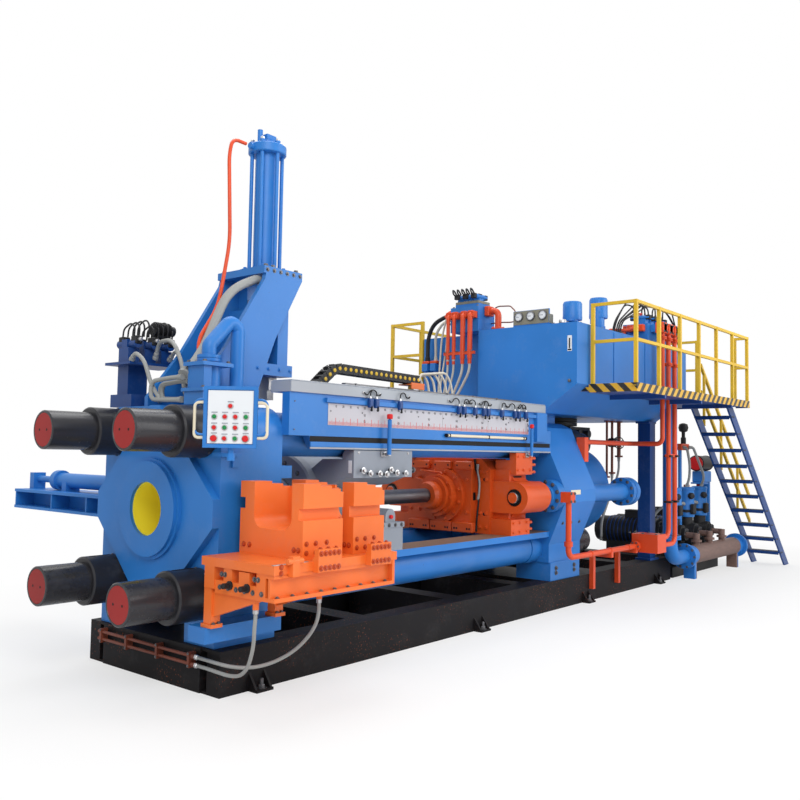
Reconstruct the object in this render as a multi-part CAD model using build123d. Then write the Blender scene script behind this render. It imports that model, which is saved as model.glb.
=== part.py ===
from build123d import *
import math
import os

# Hot extrusion press on its base frame, in millimetres.
# X runs from the front end of the base to the rear, Y away from the operator's side, Z up from the floor.
# The press axis is the line y = 0, z = AXIS_Z.

# Fits between pieces
SEAT_GAP = 0.3
ROD_GAP = 0.4
ROD_HOLE_GAP = 0.5
RAM_CLEARANCE = 0.5
GUIDE_GAP = 6.0
FUSE = 1.0

# Press axis, platens and tie rods
AXIS_Z = 1456.0
PLATEN_FRONT = -40.0
PLATEN_LENGTH = 740.0
PLATEN_REAR = PLATEN_FRONT + PLATEN_LENGTH
PRESS_OPENING = 4550.0
REAR_FRONT = PLATEN_REAR + PRESS_OPENING
REAR_LENGTH = 830.0
REAR_BACK = REAR_FRONT + REAR_LENGTH
ROD_Y = 622.0
ROD_RISE = 670.0
ROD_RADIUS = 170.0
ROD_FRONT_REACH = 688.0
ROD_REAR_REACH = 560.0
ROD_FRONT = PLATEN_FRONT - ROD_FRONT_REACH
ROD_REAR = REAR_BACK + ROD_REAR_REACH
NUT_RADIUS = 216.0
FRONT_NUT_LENGTH = 340.0
REAR_NUT_LENGTH = 300.0
ROD_CHAMFER = 8.0
NUT_CHAMFER = 14.0
NUT_SLOT_WIDTH = 44.0
NUT_SLOT_DEPTH = 14.0
SLEEVE_RADIUS = 200.0
SLEEVE_COLLAR_RADIUS = 207.0
SLEEVE_COLLAR_LENGTH = 240.0
SLEEVE_GROOVE = 14.0

# Front platen
PLATEN_MARGIN = 235.0
PLATEN_SIDE = ROD_Y + PLATEN_MARGIN
PLATEN_TOP = AXIS_Z + ROD_RISE + PLATEN_MARGIN
PLATEN_BOTTOM = AXIS_Z - ROD_RISE - PLATEN_MARGIN
CORNER_RECESS = 70.0
NUT_SEAT_GAP = 10.0
BOSS_RADIUS = 440.0
BOSS_HEIGHT = 60.0
BOSS_STEP = 26.0
EXIT_RADIUS = 222.0
LINER_WALL = 12.0
CLAMP_BLOCK = 120.0
CLAMP_BLOCK_WIDTH = 140.0
CLAMP_BLOCK_BOTTOM = 282.0
CLAMP_BLOCK_HEIGHT = 110.0
FOOT_INSET = 20.0
FOOT_WIDTH = 400.0

# Rear platen and its cylinders
REAR_CROWN = 40.0
REAR_MID_Y = 1150.0
REAR_MID_HALF = 80.0
REAR_FOOT_Y = 920.0
REAR_FOOT_TOP = AXIS_Z - 626.0
REAR_FOOT_BOTTOM = AXIS_Z - 856.0
PEDESTAL_INSET = 30.0
PEDESTAL_REACH = 10.0
PEDESTAL_WIDTH = 500.0
MAIN_CYLINDER_RADIUS = 650.0
MAIN_CYLINDER_LENGTH = 1520.0
MAIN_CYLINDER_BACK = REAR_BACK + MAIN_CYLINDER_LENGTH
MAIN_CYLINDER_CHAMFER = 90.0
END_COVER_RADIUS = 200.0
END_COVER_LENGTH = 120.0
MAIN_RAM_RADIUS = 420.0
MAIN_RAM_BACK = REAR_BACK + 920.0
SIDE_CYLINDER_Y = ROD_Y + 338.0
SIDE_CYLINDER_RADIUS = 123.0
SIDE_FLANGE_RADIUS = 205.0
SIDE_GLAND_FRONT = REAR_FRONT - 230.0
SIDE_GLAND_NECK = 70.0
SIDE_TUBE_BACK = REAR_BACK + 1180.0
SIDE_CAP_BACK = SIDE_TUBE_BACK + 340.0
SIDE_ROD_RADIUS = 62.0
SIDE_ROD_BACK = SIDE_TUBE_BACK - 360.0

# Guides
GUIDE_Y_OUT = ROD_Y + 308.0
GUIDE_Y_IN = ROD_Y + 220.0
LOWER_RAIL_Y_IN = ROD_Y - 62.0
LOWER_RAIL_TOP = AXIS_Z - 456.0
LOWER_RAIL_BOTTOM = LOWER_RAIL_TOP - 70.0
UPPER_RAIL_BOTTOM = AXIS_Z + 544.0
UPPER_RAIL_LEAD = 250.0

# Scale beam along the operator's side
BEAM_FRONT = PLATEN_REAR + SEAT_GAP
BEAM_BACK = REAR_FRONT - 160.0
BEAM_Y_OUT = GUIDE_Y_OUT + 6.0
BEAM_Y_IN = GUIDE_Y_IN
BEAM_BOTTOM = UPPER_RAIL_BOTTOM + 118.0
BEAM_CAP_BOTTOM = BEAM_BOTTOM + 382.0
BEAM_CAP_TOP = BEAM_CAP_BOTTOM + 100.0
BEAM_CAP_Y_IN = GUIDE_Y_IN - 152.0
BEAM_CAP_LIP = 14.0
SWITCH_RAIL_REACH = 16.0
SWITCH_RAIL_HEIGHT = 40.0
SWITCH_RAIL_DROP = 30.0
END_BOX_LENGTH = 240.0
END_BOX_REACH = 26.0
BEAM_SHOE_HEIGHT = 160.0

# Crosshead and stem
CROSSHEAD_BACK = REAR_FRONT - 400.0
CROSSHEAD_FRONT = CROSSHEAD_BACK - 700.0
CROSSHEAD_HALF = 640.0
CROSSHEAD_TOP = AXIS_Z + 459.0
CROSSHEAD_BEVEL = 130.0
HEAD_PLATE = 160.0
HEAD_PLATE_HALF = 430.0
HEAD_BOSS = 60.0
CLEAT_Y = 300.0
CLEAT_HALF = 70.0
CLEAT_REACH = 90.0
HOLDER_FRONT = CROSSHEAD_FRONT - 300.0
HOLDER_RADIUS = 260.0
STEM_FRONT = HOLDER_FRONT - 1150.0
STEM_RADIUS = 85.0
LUG_BACK = CROSSHEAD_BACK + 50.0
LUG_FRONT = LUG_BACK - 550.0
LUG_RADIUS = 190.0
LUG_RECESS = 120.0
SHOE_REACH = 6.0
LOWER_SHOE_TOP = LOWER_RAIL_TOP + 190.0
UPPER_SHOE_BOTTOM = UPPER_RAIL_BOTTOM - 270.0

# Container
CONTAINER_FRONT = PLATEN_REAR + 750.0
CONTAINER_BACK = CONTAINER_FRONT + 900.0
CONTAINER_RADIUS = 500.0
CONTAINER_LINER_RADIUS = 240.0
CONTAINER_BORE = 95.0
DRUM_STEP = 35.0
DRUM_RIM = 110.0
DRUM_CHAMFER = 20.0
ARM_DEPTH = 330.0
UPPER_BLOCK_HEIGHT = 264.0
UPPER_BLOCK_BACK = 980.0
LOWER_BLOCK_HEIGHT = 280.0
LOWER_BLOCK_FRONT = 500.0
LOWER_BLOCK_LENGTH = 350.0
HOOD_RADIUS = 75.0
HOOD_RISE = 60.0

# Butt shear
SHEAR_X = PLATEN_REAR + 480.0
SHEAR_HALF_Y = 300.0
SHEAR_PLATE = 50.0
SHEAR_TOP = PLATEN_TOP + 1369.0
SHEAR_HEAD_THICKNESS = 70.0
SHEAR_TUBE_RADIUS = 115.0
SHEAR_CYLINDER_TOP = SHEAR_TOP + 1210.0
SHEAR_FOOT_HALF = 170.0
SHEAR_FLANGE_RADIUS = 190.0
SHEAR_FLANGE = 90.0
SHEAR_ROD_RADIUS = 45.0
SHEAR_POST_SIZE = 130.0
SHEAR_POST_BOTTOM = PLATEN_TOP + 329.0
HEAD_REAR = 190.0
TOWER_FRONT = PLATEN_FRONT + 130.0
TOWER_REAR = PLATEN_REAR + 100.0
SLIDE_TOP = SHEAR_TOP - 250.0
SLIDE_BOTTOM = SLIDE_TOP - 920.0
SLIDE_HALF = 60.0
BLADE_HEIGHT = 90.0

# Tank columns and base frame
COLUMN_X = SIDE_CAP_BACK + 850.0
COLUMN_SIZE = 200.0
BASE_LENGTH = COLUMN_X + 630.0
BASE_HALF_WIDTH = 958.0
BASE_HEIGHT = 364.0
BASE_BEAM_WIDTH = 240.0
BASE_FLANGE = 22.0
BASE_WEB = 90.0
BASE_LIP = 12.0
CROSS_BEAM_LENGTH = 260.0
CROSS_BEAM_PLACES = [0.187, 0.363, 0.518, 0.716, 0.848]
ANCHOR_PLACES = [0.033, 0.39, 0.67, 0.93]
ANCHOR_WIDTH = 180.0
ANCHOR_REACH = 110.0
ANCHOR_HEIGHT = 150.0

# Pipes along the front end of the base, and the hoses that go on from them to the die changer
BASE_PIPE_RADIUS = 13.5
BASE_PIPE_REACH = 48.0
BASE_PIPE_HALF = 720.0
BASE_PIPE_LOW = 235.0
BASE_PIPE_HIGH = 300.0
BASE_CLIP_PLACES = [0.05, 0.36, 0.68, 0.96]
BASE_CLIP_REACH = 21.5
BASE_CLIP_HALF = 14.0
BASE_CLIP_MARGIN = 30.0
HOSE_RADIUS = 15.0
HOSE_COLLAR_RADIUS = 20.0
HOSE_COLLAR_LENGTH = 36.0
HOSE_GLAND_RADIUS = 24.0
HOSE_GLAND_Y = -1550.0
HOSE_GLAND_Z = 800.0

# Oil tank, platform and stairs
TANK_FRONT = REAR_FRONT - 80.0
TANK_STEP_FRONT = TANK_FRONT + 330.0
TANK_STEP_Y = 150.0
TANK_BACK = COLUMN_X + 300.0
TANK_HALF_Y = 1350.0
TANK_KEEL_BOTTOM = AXIS_Z + 1064.0
TANK_KEEL_Y = 850.0
TANK_SIDE_BOTTOM = TANK_KEEL_BOTTOM + 360.0
TANK_TOP = TANK_SIDE_BOTTOM + 780.0
TANK_WALL = 12.0
COLUMN_Y = TANK_KEEL_Y - 20.0
SADDLE_HALF = 560.0
SADDLE_INSET = 60.0
DECK_FRONT = TANK_FRONT + 310.0
DECK_BACK = TANK_BACK + 1000.0
DECK_HALF_Y = TANK_HALF_Y + 660.0
DECK_BOTTOM = TANK_KEEL_BOTTOM + 260.0
DECK_LIFT = 20.0
DECK_THICKNESS = 50.0
TOE_TOP = DECK_BOTTOM + 110.0
TOE_THICKNESS = 8.0
RAIL_TOP = DECK_BOTTOM + 1150.0
RAIL_MID = DECK_BOTTOM + 650.0
RAIL_SIZE = 44.0
RAIL_BAYS = 6
HANDRAIL_HEIGHT = 1130.0
STAIR_OPENING = 40.0
STAIR_TOP_X = DECK_BACK - 350.0
STAIR_FOOT_X = STAIR_TOP_X + 3030.0
STAIR_NEAR_Y = -DECK_HALF_Y + 262.0
STAIR_FAR_Y = STAIR_NEAR_Y + 546.0
STRINGER_DEPTH = 170.0
STRINGER_THICKNESS = 30.0
TREAD_COUNT = 10
TREAD_DEPTH = 180.0
TREAD_THICKNESS = 30.0

# Filters and gauge panel on the tank
FILTER_FRONT = 330.0
FILTER_PITCH = 750.0
FILTER_INSET = 270.0
FILTER_RADIUS = 85.0
FILTER_HEIGHT = 250.0
GAUGE_INSET = 420.0
GAUGE_WIDTH = 540.0
GAUGE_HEIGHT = 190.0

# Manifolds, valves and pipes at the tank
PREFILL_X = REAR_BACK + 870.0
PREFILL_RADIUS = 280.0
PREFILL_SADDLE = 80.0
PREFILL_FLANGE = 80.0
PREFILL_PORT = 230.0
MANIFOLD_FRONT = TANK_STEP_FRONT - 310.0
CLAMP_BAR_Z = TANK_TOP - 330.0
SUPPLY_Z = 700.0
SUPPLY_RADIUS = 36.0
SIDE_MANIFOLD_LENGTH = 770.0
SIDE_MANIFOLD_BACK = TANK_BACK - 600.0
DROP_PIPE_RADIUS = 34.0
LOW_MANIFOLD_BACK = SIDE_TUBE_BACK + 240.0
LOW_MANIFOLD_LENGTH = 300.0

# Suction line and pumps
SUCTION_X = TANK_BACK - 150.0
SUCTION_RADIUS = 110.0
SUCTION_FLANGE = 55.0
HEADER_Z = 380.0
HEADER_RADIUS = 150.0
PUMP_COUNT = 3
PUMP_START = 620.0
PUMP_PITCH = 600.0
PUMP_FRONT_Y = -985.0
PUMP_Z = 680.0
PUMP_NOSE = 60.0
PUMP_BODY = 420.0
PUMP_COUPLING = 50.0
PUMP_RADIUS = 150.0
PUMP_HEAD = 560.0
PUMP_SKID_WIDTH = 1600.0
PUMP_SKID_HEIGHT = 170.0
MOTOR_RADIUS = 230.0
MOTOR_LENGTH = 1030.0
MOTOR_COWL = 80.0

# Die changer on the operator's side
CHANGER_FAR_Y = -PLATEN_SIDE - 103.0
CHANGER_NEAR_Y = CHANGER_FAR_Y - 840.0
CHANGER_DEPTH = 200.0
CHANGER_FLANGE = 30.0
CHANGER_RAIL_WIDTH = 150.0
CROSS_MEMBER = 90.0
PLATE_FRONT = PLATEN_FRONT - 170.0
PLATE_BACK = PLATEN_REAR + 470.0
PLATE_BOTTOM = AXIS_Z - 376.0
PLATE_TOP = PLATE_BOTTOM + 68.0
SLAB_FRONT = PLATEN_FRONT - 190.0
SLAB_BACK = PLATEN_REAR - 140.0
SLAB_Y_OUT = -CHANGER_FAR_Y + 90.0
SLAB_TOP = AXIS_Z - 856.0
SLAB_BOTTOM = SLAB_TOP - 125.0
CRADLE_TOP = AXIS_Z + 274.0
CRADLE_FRONT_X = PLATEN_FRONT + 200.0
CRADLE_REAR_X = PLATEN_REAR + 25.0
CRADLE_LENGTH = 440.0
CRADLE_SHORT = 60.0
CRADLE_LIP = 50.0
FAR_ARM = 170.0
NEAR_ARM = 130.0
KEEPER_REACH = 60.0
KEEPER_LENGTH = 250.0
DIE_BRIDGE_BACK = 420.0
CHANNEL_HALF = 220.0
CHANNEL_CORNER = 100.0
CHANNEL_BOTTOM = AXIS_Z - 96.0

# Control panel
PANEL_X = PLATEN_FRONT - 60.0
PANEL_Y = -PLATEN_SIDE - 263.0
PANEL_Z = AXIS_Z + 784.0
PANEL_WIDTH = 428.0
PANEL_HEIGHT = 490.0
PANEL_DEPTH = 110.0
PANEL_TURN = 50.2
PANEL_PIVOT_DEPTH = 70.0

# Cross cylinder on the far side
PUSH_TROUGH_HALF = 230.0
PUSH_LENGTH = 2200.0
PUSH_BOTTOM = -170.0
PUSH_DEPTH = 210.0
PUSH_RADIUS = 80.5

# Valves on the front platen
VALVE_X = PLATEN_FRONT + 190.0
VALVE_Y = -500.0
VALVE_PIPE_SPAN = 310.0
VALVE_PIPE_RADIUS = 62.0
FAR_STAND_X = PLATEN_FRONT + 100.0


def block(x0, x1, y0, y1, z0, z1):
    """Box between two corners."""
    return Pos((x0 + x1) / 2, (y0 + y1) / 2, (z0 + z1) / 2) * Box(x1 - x0, y1 - y0, z1 - z0)


def bar_x(x0, x1, y, z, radius):
    """Round bar along X."""
    return Pos((x0 + x1) / 2, y, z) * Rot(0, 90, 0) * Cylinder(radius, x1 - x0)


def bar_y(x, y0, y1, z, radius):
    """Round bar along Y."""
    return Pos(x, (y0 + y1) / 2, z) * Rot(90, 0, 0) * Cylinder(radius, y1 - y0)


def bar_z(x, y, z0, z1, radius):
    """Round bar along Z."""
    return Pos(x, y, (z0 + z1) / 2) * Cylinder(radius, z1 - z0)


def prism_x(points, x0, x1):
    """Outline in the Y-Z plane, run along X."""
    face = make_face(Polyline(*[(x0, y, z) for y, z in points], close=True))
    return extrude(face, amount=x1 - x0, dir=(1, 0, 0))


def prism_y(points, y0, y1):
    """Outline in the X-Z plane, run along Y."""
    face = make_face(Polyline(*[(x, y0, z) for x, z in points], close=True))
    return extrude(face, amount=y1 - y0, dir=(0, 1, 0))


def prism_z(points, z0, z1):
    """Outline in the X-Y plane, run along Z."""
    face = make_face(Polyline(*[(x, y, z0) for x, y in points], close=True))
    return extrude(face, amount=z1 - z0, dir=(0, 0, 1))


def tube(points, bends, radius):
    """Round pipe along straight runs joined by arcs."""
    path = FilletPolyline(*points, radius=bends) if len(points) > 2 else Line(*points)
    section = Plane(origin=points[0], z_dir=path % 0) * Circle(radius)
    return sweep(section, path)


def solids(*shapes):
    """Loose solids kept side by side in one node."""
    return Compound(children=[piece for shape in shapes for piece in shape.solids()])


def mirrored(shape):
    """The same shape on the other side of the press axis."""
    return mirror(shape, Plane.XZ)


def rod_places():
    """Y and Z of the four tie rods."""
    return [(y, AXIS_Z + rise) for rise in (ROD_RISE, -ROD_RISE) for y in (-ROD_Y, ROD_Y)]


def side_beam():
    """Side beam of the base on the operator's side: closed outside, flanged inside, with anchor brackets."""
    beam_in = BASE_HALF_WIDTH - BASE_BEAM_WIDTH
    mid = (BASE_HALF_WIDTH + beam_in) / 2
    section = [
        (-BASE_HALF_WIDTH, 0), (-beam_in, 0), (-beam_in, BASE_FLANGE),
        (-mid + BASE_WEB / 2, BASE_FLANGE), (-mid + BASE_WEB / 2, BASE_HEIGHT - BASE_FLANGE),
        (-beam_in, BASE_HEIGHT - BASE_FLANGE), (-beam_in, BASE_HEIGHT),
        (-BASE_HALF_WIDTH, BASE_HEIGHT),
    ]
    beam = prism_x(section, 0, BASE_LENGTH)
    for place in ANCHOR_PLACES:
        beam += anchor_bracket(place * BASE_LENGTH)
    return beam


def cross_beams():
    """End and cross beams between the side beams, with the wide bearers under both platens."""
    y = BASE_HALF_WIDTH - BASE_BEAM_WIDTH - SEAT_GAP
    lengths = [(-BASE_LIP, PLATEN_REAR), (REAR_FRONT, REAR_BACK)]
    lengths.append((BASE_LENGTH - CROSS_BEAM_LENGTH, BASE_LENGTH))
    for place in CROSS_BEAM_PLACES:
        x = place * BASE_LENGTH
        lengths.append((x, x + CROSS_BEAM_LENGTH))
    beams = []
    for x0, x1 in lengths:
        if all(x1 < a or x0 > b for a, b in beams):
            beams.append((x0, x1))
    return solids(*[block(x0, x1, -y, y, 0, BASE_HEIGHT) for x0, x1 in beams])


def anchor_bracket(x):
    """Foot plate with two triangular gussets on the side of the base."""
    y = -BASE_HALF_WIDTH
    bracket = block(x, x + ANCHOR_WIDTH, y - ANCHOR_REACH, y, 0, BASE_FLANGE)
    for x_rib in (x, x + ANCHOR_WIDTH - BASE_FLANGE):
        rib = [(y, 0), (y - ANCHOR_REACH, 0), (y, ANCHOR_HEIGHT)]
        bracket += prism_x(rib, x_rib, x_rib + BASE_FLANGE)
    return bracket


def base_pipes():
    """Two pipes held by clips along the front end of the base, each with a collar where its hose goes on."""
    x = -BASE_LIP - BASE_PIPE_REACH
    half = BASE_PIPE_HALF
    z0 = BASE_PIPE_LOW - BASE_CLIP_MARGIN
    z1 = BASE_PIPE_HIGH + BASE_CLIP_MARGIN
    body = None
    for place in BASE_CLIP_PLACES:
        y0 = -half + place * 2 * half - BASE_CLIP_HALF
        clip = block(x - BASE_CLIP_REACH, -BASE_LIP - SEAT_GAP, y0, y0 + 2 * BASE_CLIP_HALF, z0, z1)
        body = clip if body is None else body + clip
    for z in (BASE_PIPE_LOW, BASE_PIPE_HIGH):
        body += bar_y(x, -half + FUSE, half, z, BASE_PIPE_RADIUS)
        body += bar_y(x, -half, -half + HOSE_COLLAR_LENGTH, z, HOSE_COLLAR_RADIUS)
    return body


def cross_member_places():
    """X of the fronts of the die changer's two cross members."""
    return [PLATE_FRONT + 10, SLAB_BACK - 100]


def hose_routes():
    """Routes of the two hoses that hang in loose bows from the base pipes to the die changer."""
    x = -BASE_LIP - BASE_PIPE_REACH
    y = -BASE_PIPE_HALF
    x_front, x_rear = [place + CROSS_MEMBER / 2 for place in cross_member_places()]
    front = [
        (x, y, BASE_PIPE_LOW), (x, y - 130, BASE_PIPE_LOW), (x + 12, y - 262, 224), (x + 46, y - 378, 206),
        (x + 56, y - 490, 224), (x + 32, y - 600, 300), (x - 8, y - 690, 412), (x - 48, y - 764, 538),
        (x_front + 8, y - 810, 660), (x_front, HOSE_GLAND_Y, HOSE_GLAND_Z - 60),
        (x_front, HOSE_GLAND_Y, HOSE_GLAND_Z),
    ]
    rear = [
        (x, y, BASE_PIPE_HIGH), (x, y - 130, BASE_PIPE_HIGH), (x + 8, y - 264, 292), (x + 78, y - 368, 268),
        (x + 200, y - 422, 250), (x + 335, y - 454, 250), (x + 470, y - 498, 284), (x + 560, y - 582, 360),
        (x + 606, y - 678, 470), (x + 608, y - 764, 590), (x_rear + 16, y - 816, 698),
        (x_rear, HOSE_GLAND_Y, HOSE_GLAND_Z - 44), (x_rear, HOSE_GLAND_Y, HOSE_GLAND_Z),
    ]
    return {"changer_hose_front": front, "changer_hose_rear": rear}


def cord_bends(points):
    """Radius at each corner of a cord's route, as large as the shorter of its two runs allows."""
    corners = [Vector(*point) for point in points]
    bends = []
    for before, here, after in zip(corners, corners[1:], corners[2:]):
        first = here - before
        second = after - here
        turn = math.radians(first.get_angle(second))
        bends.append(0.45 * min(first.length, second.length) / math.tan(turn / 2))
    return bends


def hose(name):
    """Hose along its route, with its radii and its length printed."""
    points = hose_routes()[name]
    bends = cord_bends(points)
    body = tube(points, bends, HOSE_RADIUS)
    length = body.volume / (math.pi * HOSE_RADIUS ** 2)
    print(name, "radii", [round(bend) for bend in bends], "length", round(length))
    return body


def rounded_plate(half_y, z0, z1, radius, x0, x1):
    """Rectangular plate across the press with rounded corners."""
    face = Plane((x0, 0, (z0 + z1) / 2), x_dir=(0, 1, 0), z_dir=(1, 0, 0))
    outline = face * RectangleRounded(2 * half_y, z1 - z0, radius)
    return extrude(outline, amount=x1 - x0, dir=(1, 0, 0))


def front_platen():
    """Front platen: rounded plate with corner seats for the nuts, a stepped boss and the exit bore."""
    body = rounded_plate(PLATEN_SIDE, PLATEN_BOTTOM, PLATEN_TOP, PLATEN_MARGIN - 1, PLATEN_FRONT, PLATEN_REAR)
    leg = 2 * PLATEN_MARGIN + (NUT_RADIUS + NUT_SEAT_GAP) * 2 ** 0.5
    for side_y in (-1, 1):
        for side_z in (-1, 1):
            y = side_y * PLATEN_SIDE
            z = AXIS_Z + side_z * (ROD_RISE + PLATEN_MARGIN)
            seat = [(y, z), (y - side_y * leg, z), (y, z - side_z * leg)]
            body -= prism_x(seat, PLATEN_FRONT - 1, PLATEN_FRONT + CORNER_RECESS)
    body += bar_x(PLATEN_FRONT - BOSS_HEIGHT, PLATEN_FRONT, 0, AXIS_Z, BOSS_RADIUS - BOSS_STEP)
    body += bar_x(PLATEN_FRONT - BOSS_HEIGHT / 2, PLATEN_FRONT, 0, AXIS_Z, BOSS_RADIUS)
    y_foot = PLATEN_SIDE - FOOT_INSET
    foot_top = PLATEN_BOTTOM + PLATEN_MARGIN
    foot = block(PLATEN_FRONT + CORNER_RECESS, PLATEN_REAR - FOOT_INSET, -y_foot, -y_foot + FOOT_WIDTH,
                 BASE_HEIGHT, foot_top)
    body += foot
    body += mirrored(foot)
    body -= bar_x(PLATEN_FRONT - BOSS_HEIGHT - FUSE, PLATEN_REAR + FUSE, 0, AXIS_Z, EXIT_RADIUS + LINER_WALL)
    for y, z in rod_places():
        body -= bar_x(PLATEN_FRONT - FUSE, PLATEN_REAR + FUSE, y, z, ROD_RADIUS + ROD_HOLE_GAP)
    return solids(body, clamp_block(), mirrored(clamp_block()))


def clamp_block():
    """Block on the rear face of the front platen that holds the die stack in line, on the operator's side."""
    x = PLATEN_REAR + SEAT_GAP
    z = AXIS_Z + CLAMP_BLOCK_BOTTOM
    y = -PLATEN_SIDE
    return block(x, x + CLAMP_BLOCK, y, y + CLAMP_BLOCK_WIDTH, z, z + CLAMP_BLOCK_HEIGHT)


def exit_liner():
    """Thin liner of the exit bore."""
    x0 = PLATEN_FRONT - BOSS_HEIGHT + 30
    outer = bar_x(x0, PLATEN_REAR, 0, AXIS_Z, EXIT_RADIUS + LINER_WALL - SEAT_GAP)
    return outer - bar_x(x0 - 5, PLATEN_REAR + 5, 0, AXIS_Z, EXIT_RADIUS)


def tie_rods():
    """Four tie rods with chamfered ends."""
    rods = []
    for y, z in rod_places():
        rod = bar_x(ROD_FRONT, ROD_REAR, y, z, ROD_RADIUS)
        rods.append(chamfer(rod.edges().filter_by(GeomType.CIRCLE), ROD_CHAMFER))
    return solids(*rods)


def nut(x0, x1, y, z):
    """Round nut on a tie rod, with a wrench slot in its rim."""
    ring = bar_x(x0, x1, y, z, NUT_RADIUS)
    ring = chamfer(ring.edges().filter_by(GeomType.CIRCLE), NUT_CHAMFER)
    ring -= bar_x(x0 - FUSE, x1 + FUSE, y, z, ROD_RADIUS + ROD_HOLE_GAP)
    inset = 0.2 * (x1 - x0)
    half = NUT_SLOT_WIDTH / 2
    depth = NUT_SLOT_DEPTH
    for z_rim in (z - NUT_RADIUS, z + NUT_RADIUS):
        ring -= block(x0 + inset, x1 - inset, y - half, y + half, z_rim - depth, z_rim + depth)
    return ring


def rod_nuts():
    """Nuts outside both platens on every tie rod."""
    front = PLATEN_FRONT + CORNER_RECESS - SEAT_GAP
    back = REAR_BACK + SEAT_GAP
    nuts = []
    for y, z in rod_places():
        nuts.append(nut(front - FRONT_NUT_LENGTH, front, y, z))
        nuts.append(nut(back, back + REAR_NUT_LENGTH, y, z))
    return solids(*nuts)


def rod_sleeves():
    """Spacer tubes round the tie rods between the platens, each with a stepped collar at its rear end."""
    x0 = PLATEN_REAR + SEAT_GAP
    x1 = REAR_FRONT - SEAT_GAP
    x_collar = x1 - SLEEVE_COLLAR_LENGTH
    bore = ROD_RADIUS + ROD_HOLE_GAP
    x_groove = x_collar - SLEEVE_GROOVE
    groove = SLEEVE_RADIUS - 10
    profile = Polyline(
        (x0, bore), (x0, SLEEVE_RADIUS), (x_groove, SLEEVE_RADIUS), (x_groove, groove), (x_collar, groove),
        (x_collar, SLEEVE_COLLAR_RADIUS), (x1, SLEEVE_COLLAR_RADIUS), (x1, bore), close=True)
    sleeve = revolve(Plane.XY * make_face(profile), axis=Axis.X)
    return solids(*[Pos(0, y, z) * sleeve for y, z in rod_places()])


def rear_outline():
    """Half outline of the rear platen, from its foot up to its top."""
    top = PLATEN_TOP + REAR_CROWN
    bevel = 0.3 * PLATEN_MARGIN
    return [
        (REAR_FOOT_Y, REAR_FOOT_BOTTOM), (REAR_FOOT_Y, REAR_FOOT_TOP),
        (REAR_MID_Y, AXIS_Z - REAR_MID_HALF), (REAR_MID_Y, AXIS_Z + REAR_MID_HALF),
        (PLATEN_SIDE, top - PLATEN_MARGIN), (PLATEN_SIDE - bevel, top - bevel),
        (PLATEN_SIDE - PLATEN_MARGIN, top),
    ]


def rear_platen():
    """Rear platen with its sloping flanks, feet and pedestals, bored for ram, rods and side cylinders."""
    half = rear_outline()
    outline = [(-y, z) for y, z in half] + [(y, z) for y, z in reversed(half)]
    body = prism_x(outline, REAR_FRONT, REAR_BACK)
    x0 = REAR_FRONT + PEDESTAL_INSET
    x1 = REAR_BACK - PEDESTAL_INSET
    y0 = -REAR_FOOT_Y - PEDESTAL_REACH
    pedestal = block(x0, x1, y0, y0 + PEDESTAL_REACH + PEDESTAL_WIDTH, BASE_HEIGHT, REAR_FOOT_BOTTOM)
    body += pedestal
    body += mirrored(pedestal)
    bores = [(0, AXIS_Z, MAIN_RAM_RADIUS + RAM_CLEARANCE)]
    bores += [(side * SIDE_CYLINDER_Y, AXIS_Z, SIDE_CYLINDER_RADIUS + SEAT_GAP) for side in (-1, 1)]
    bores += [(y, z, ROD_RADIUS + ROD_HOLE_GAP) for y, z in rod_places()]
    for y, z, radius in bores:
        body -= bar_x(REAR_FRONT - FUSE, REAR_BACK + FUSE, y, z, radius)
    return body


def main_cylinder():
    """Main cylinder behind the rear platen, with its blind bore and end cover."""
    x0 = REAR_BACK + SEAT_GAP
    x1 = MAIN_CYLINDER_BACK
    radius = MAIN_CYLINDER_RADIUS
    bore = MAIN_RAM_RADIUS + RAM_CLEARANCE
    x_bore = x1 - END_COVER_RADIUS
    profile = Polyline(
        (x0, bore), (x0, radius), (x1 - MAIN_CYLINDER_CHAMFER, radius), (x1, radius - MAIN_CYLINDER_CHAMFER),
        (x1, END_COVER_RADIUS), (x1 + END_COVER_LENGTH, END_COVER_RADIUS), (x1 + END_COVER_LENGTH, 0),
        (x_bore, 0), (x_bore, bore), close=True)
    body = Pos(0, 0, AXIS_Z) * revolve(Plane.XY * make_face(profile), axis=Axis.X)
    x_rod = ROD_REAR + NUT_RADIUS - SEAT_GAP
    for y, z in rod_places():
        body -= bar_x(REAR_BACK - FUSE, x_rod, y, z, NUT_RADIUS + 2 * NUT_SEAT_GAP)
    return body


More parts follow.
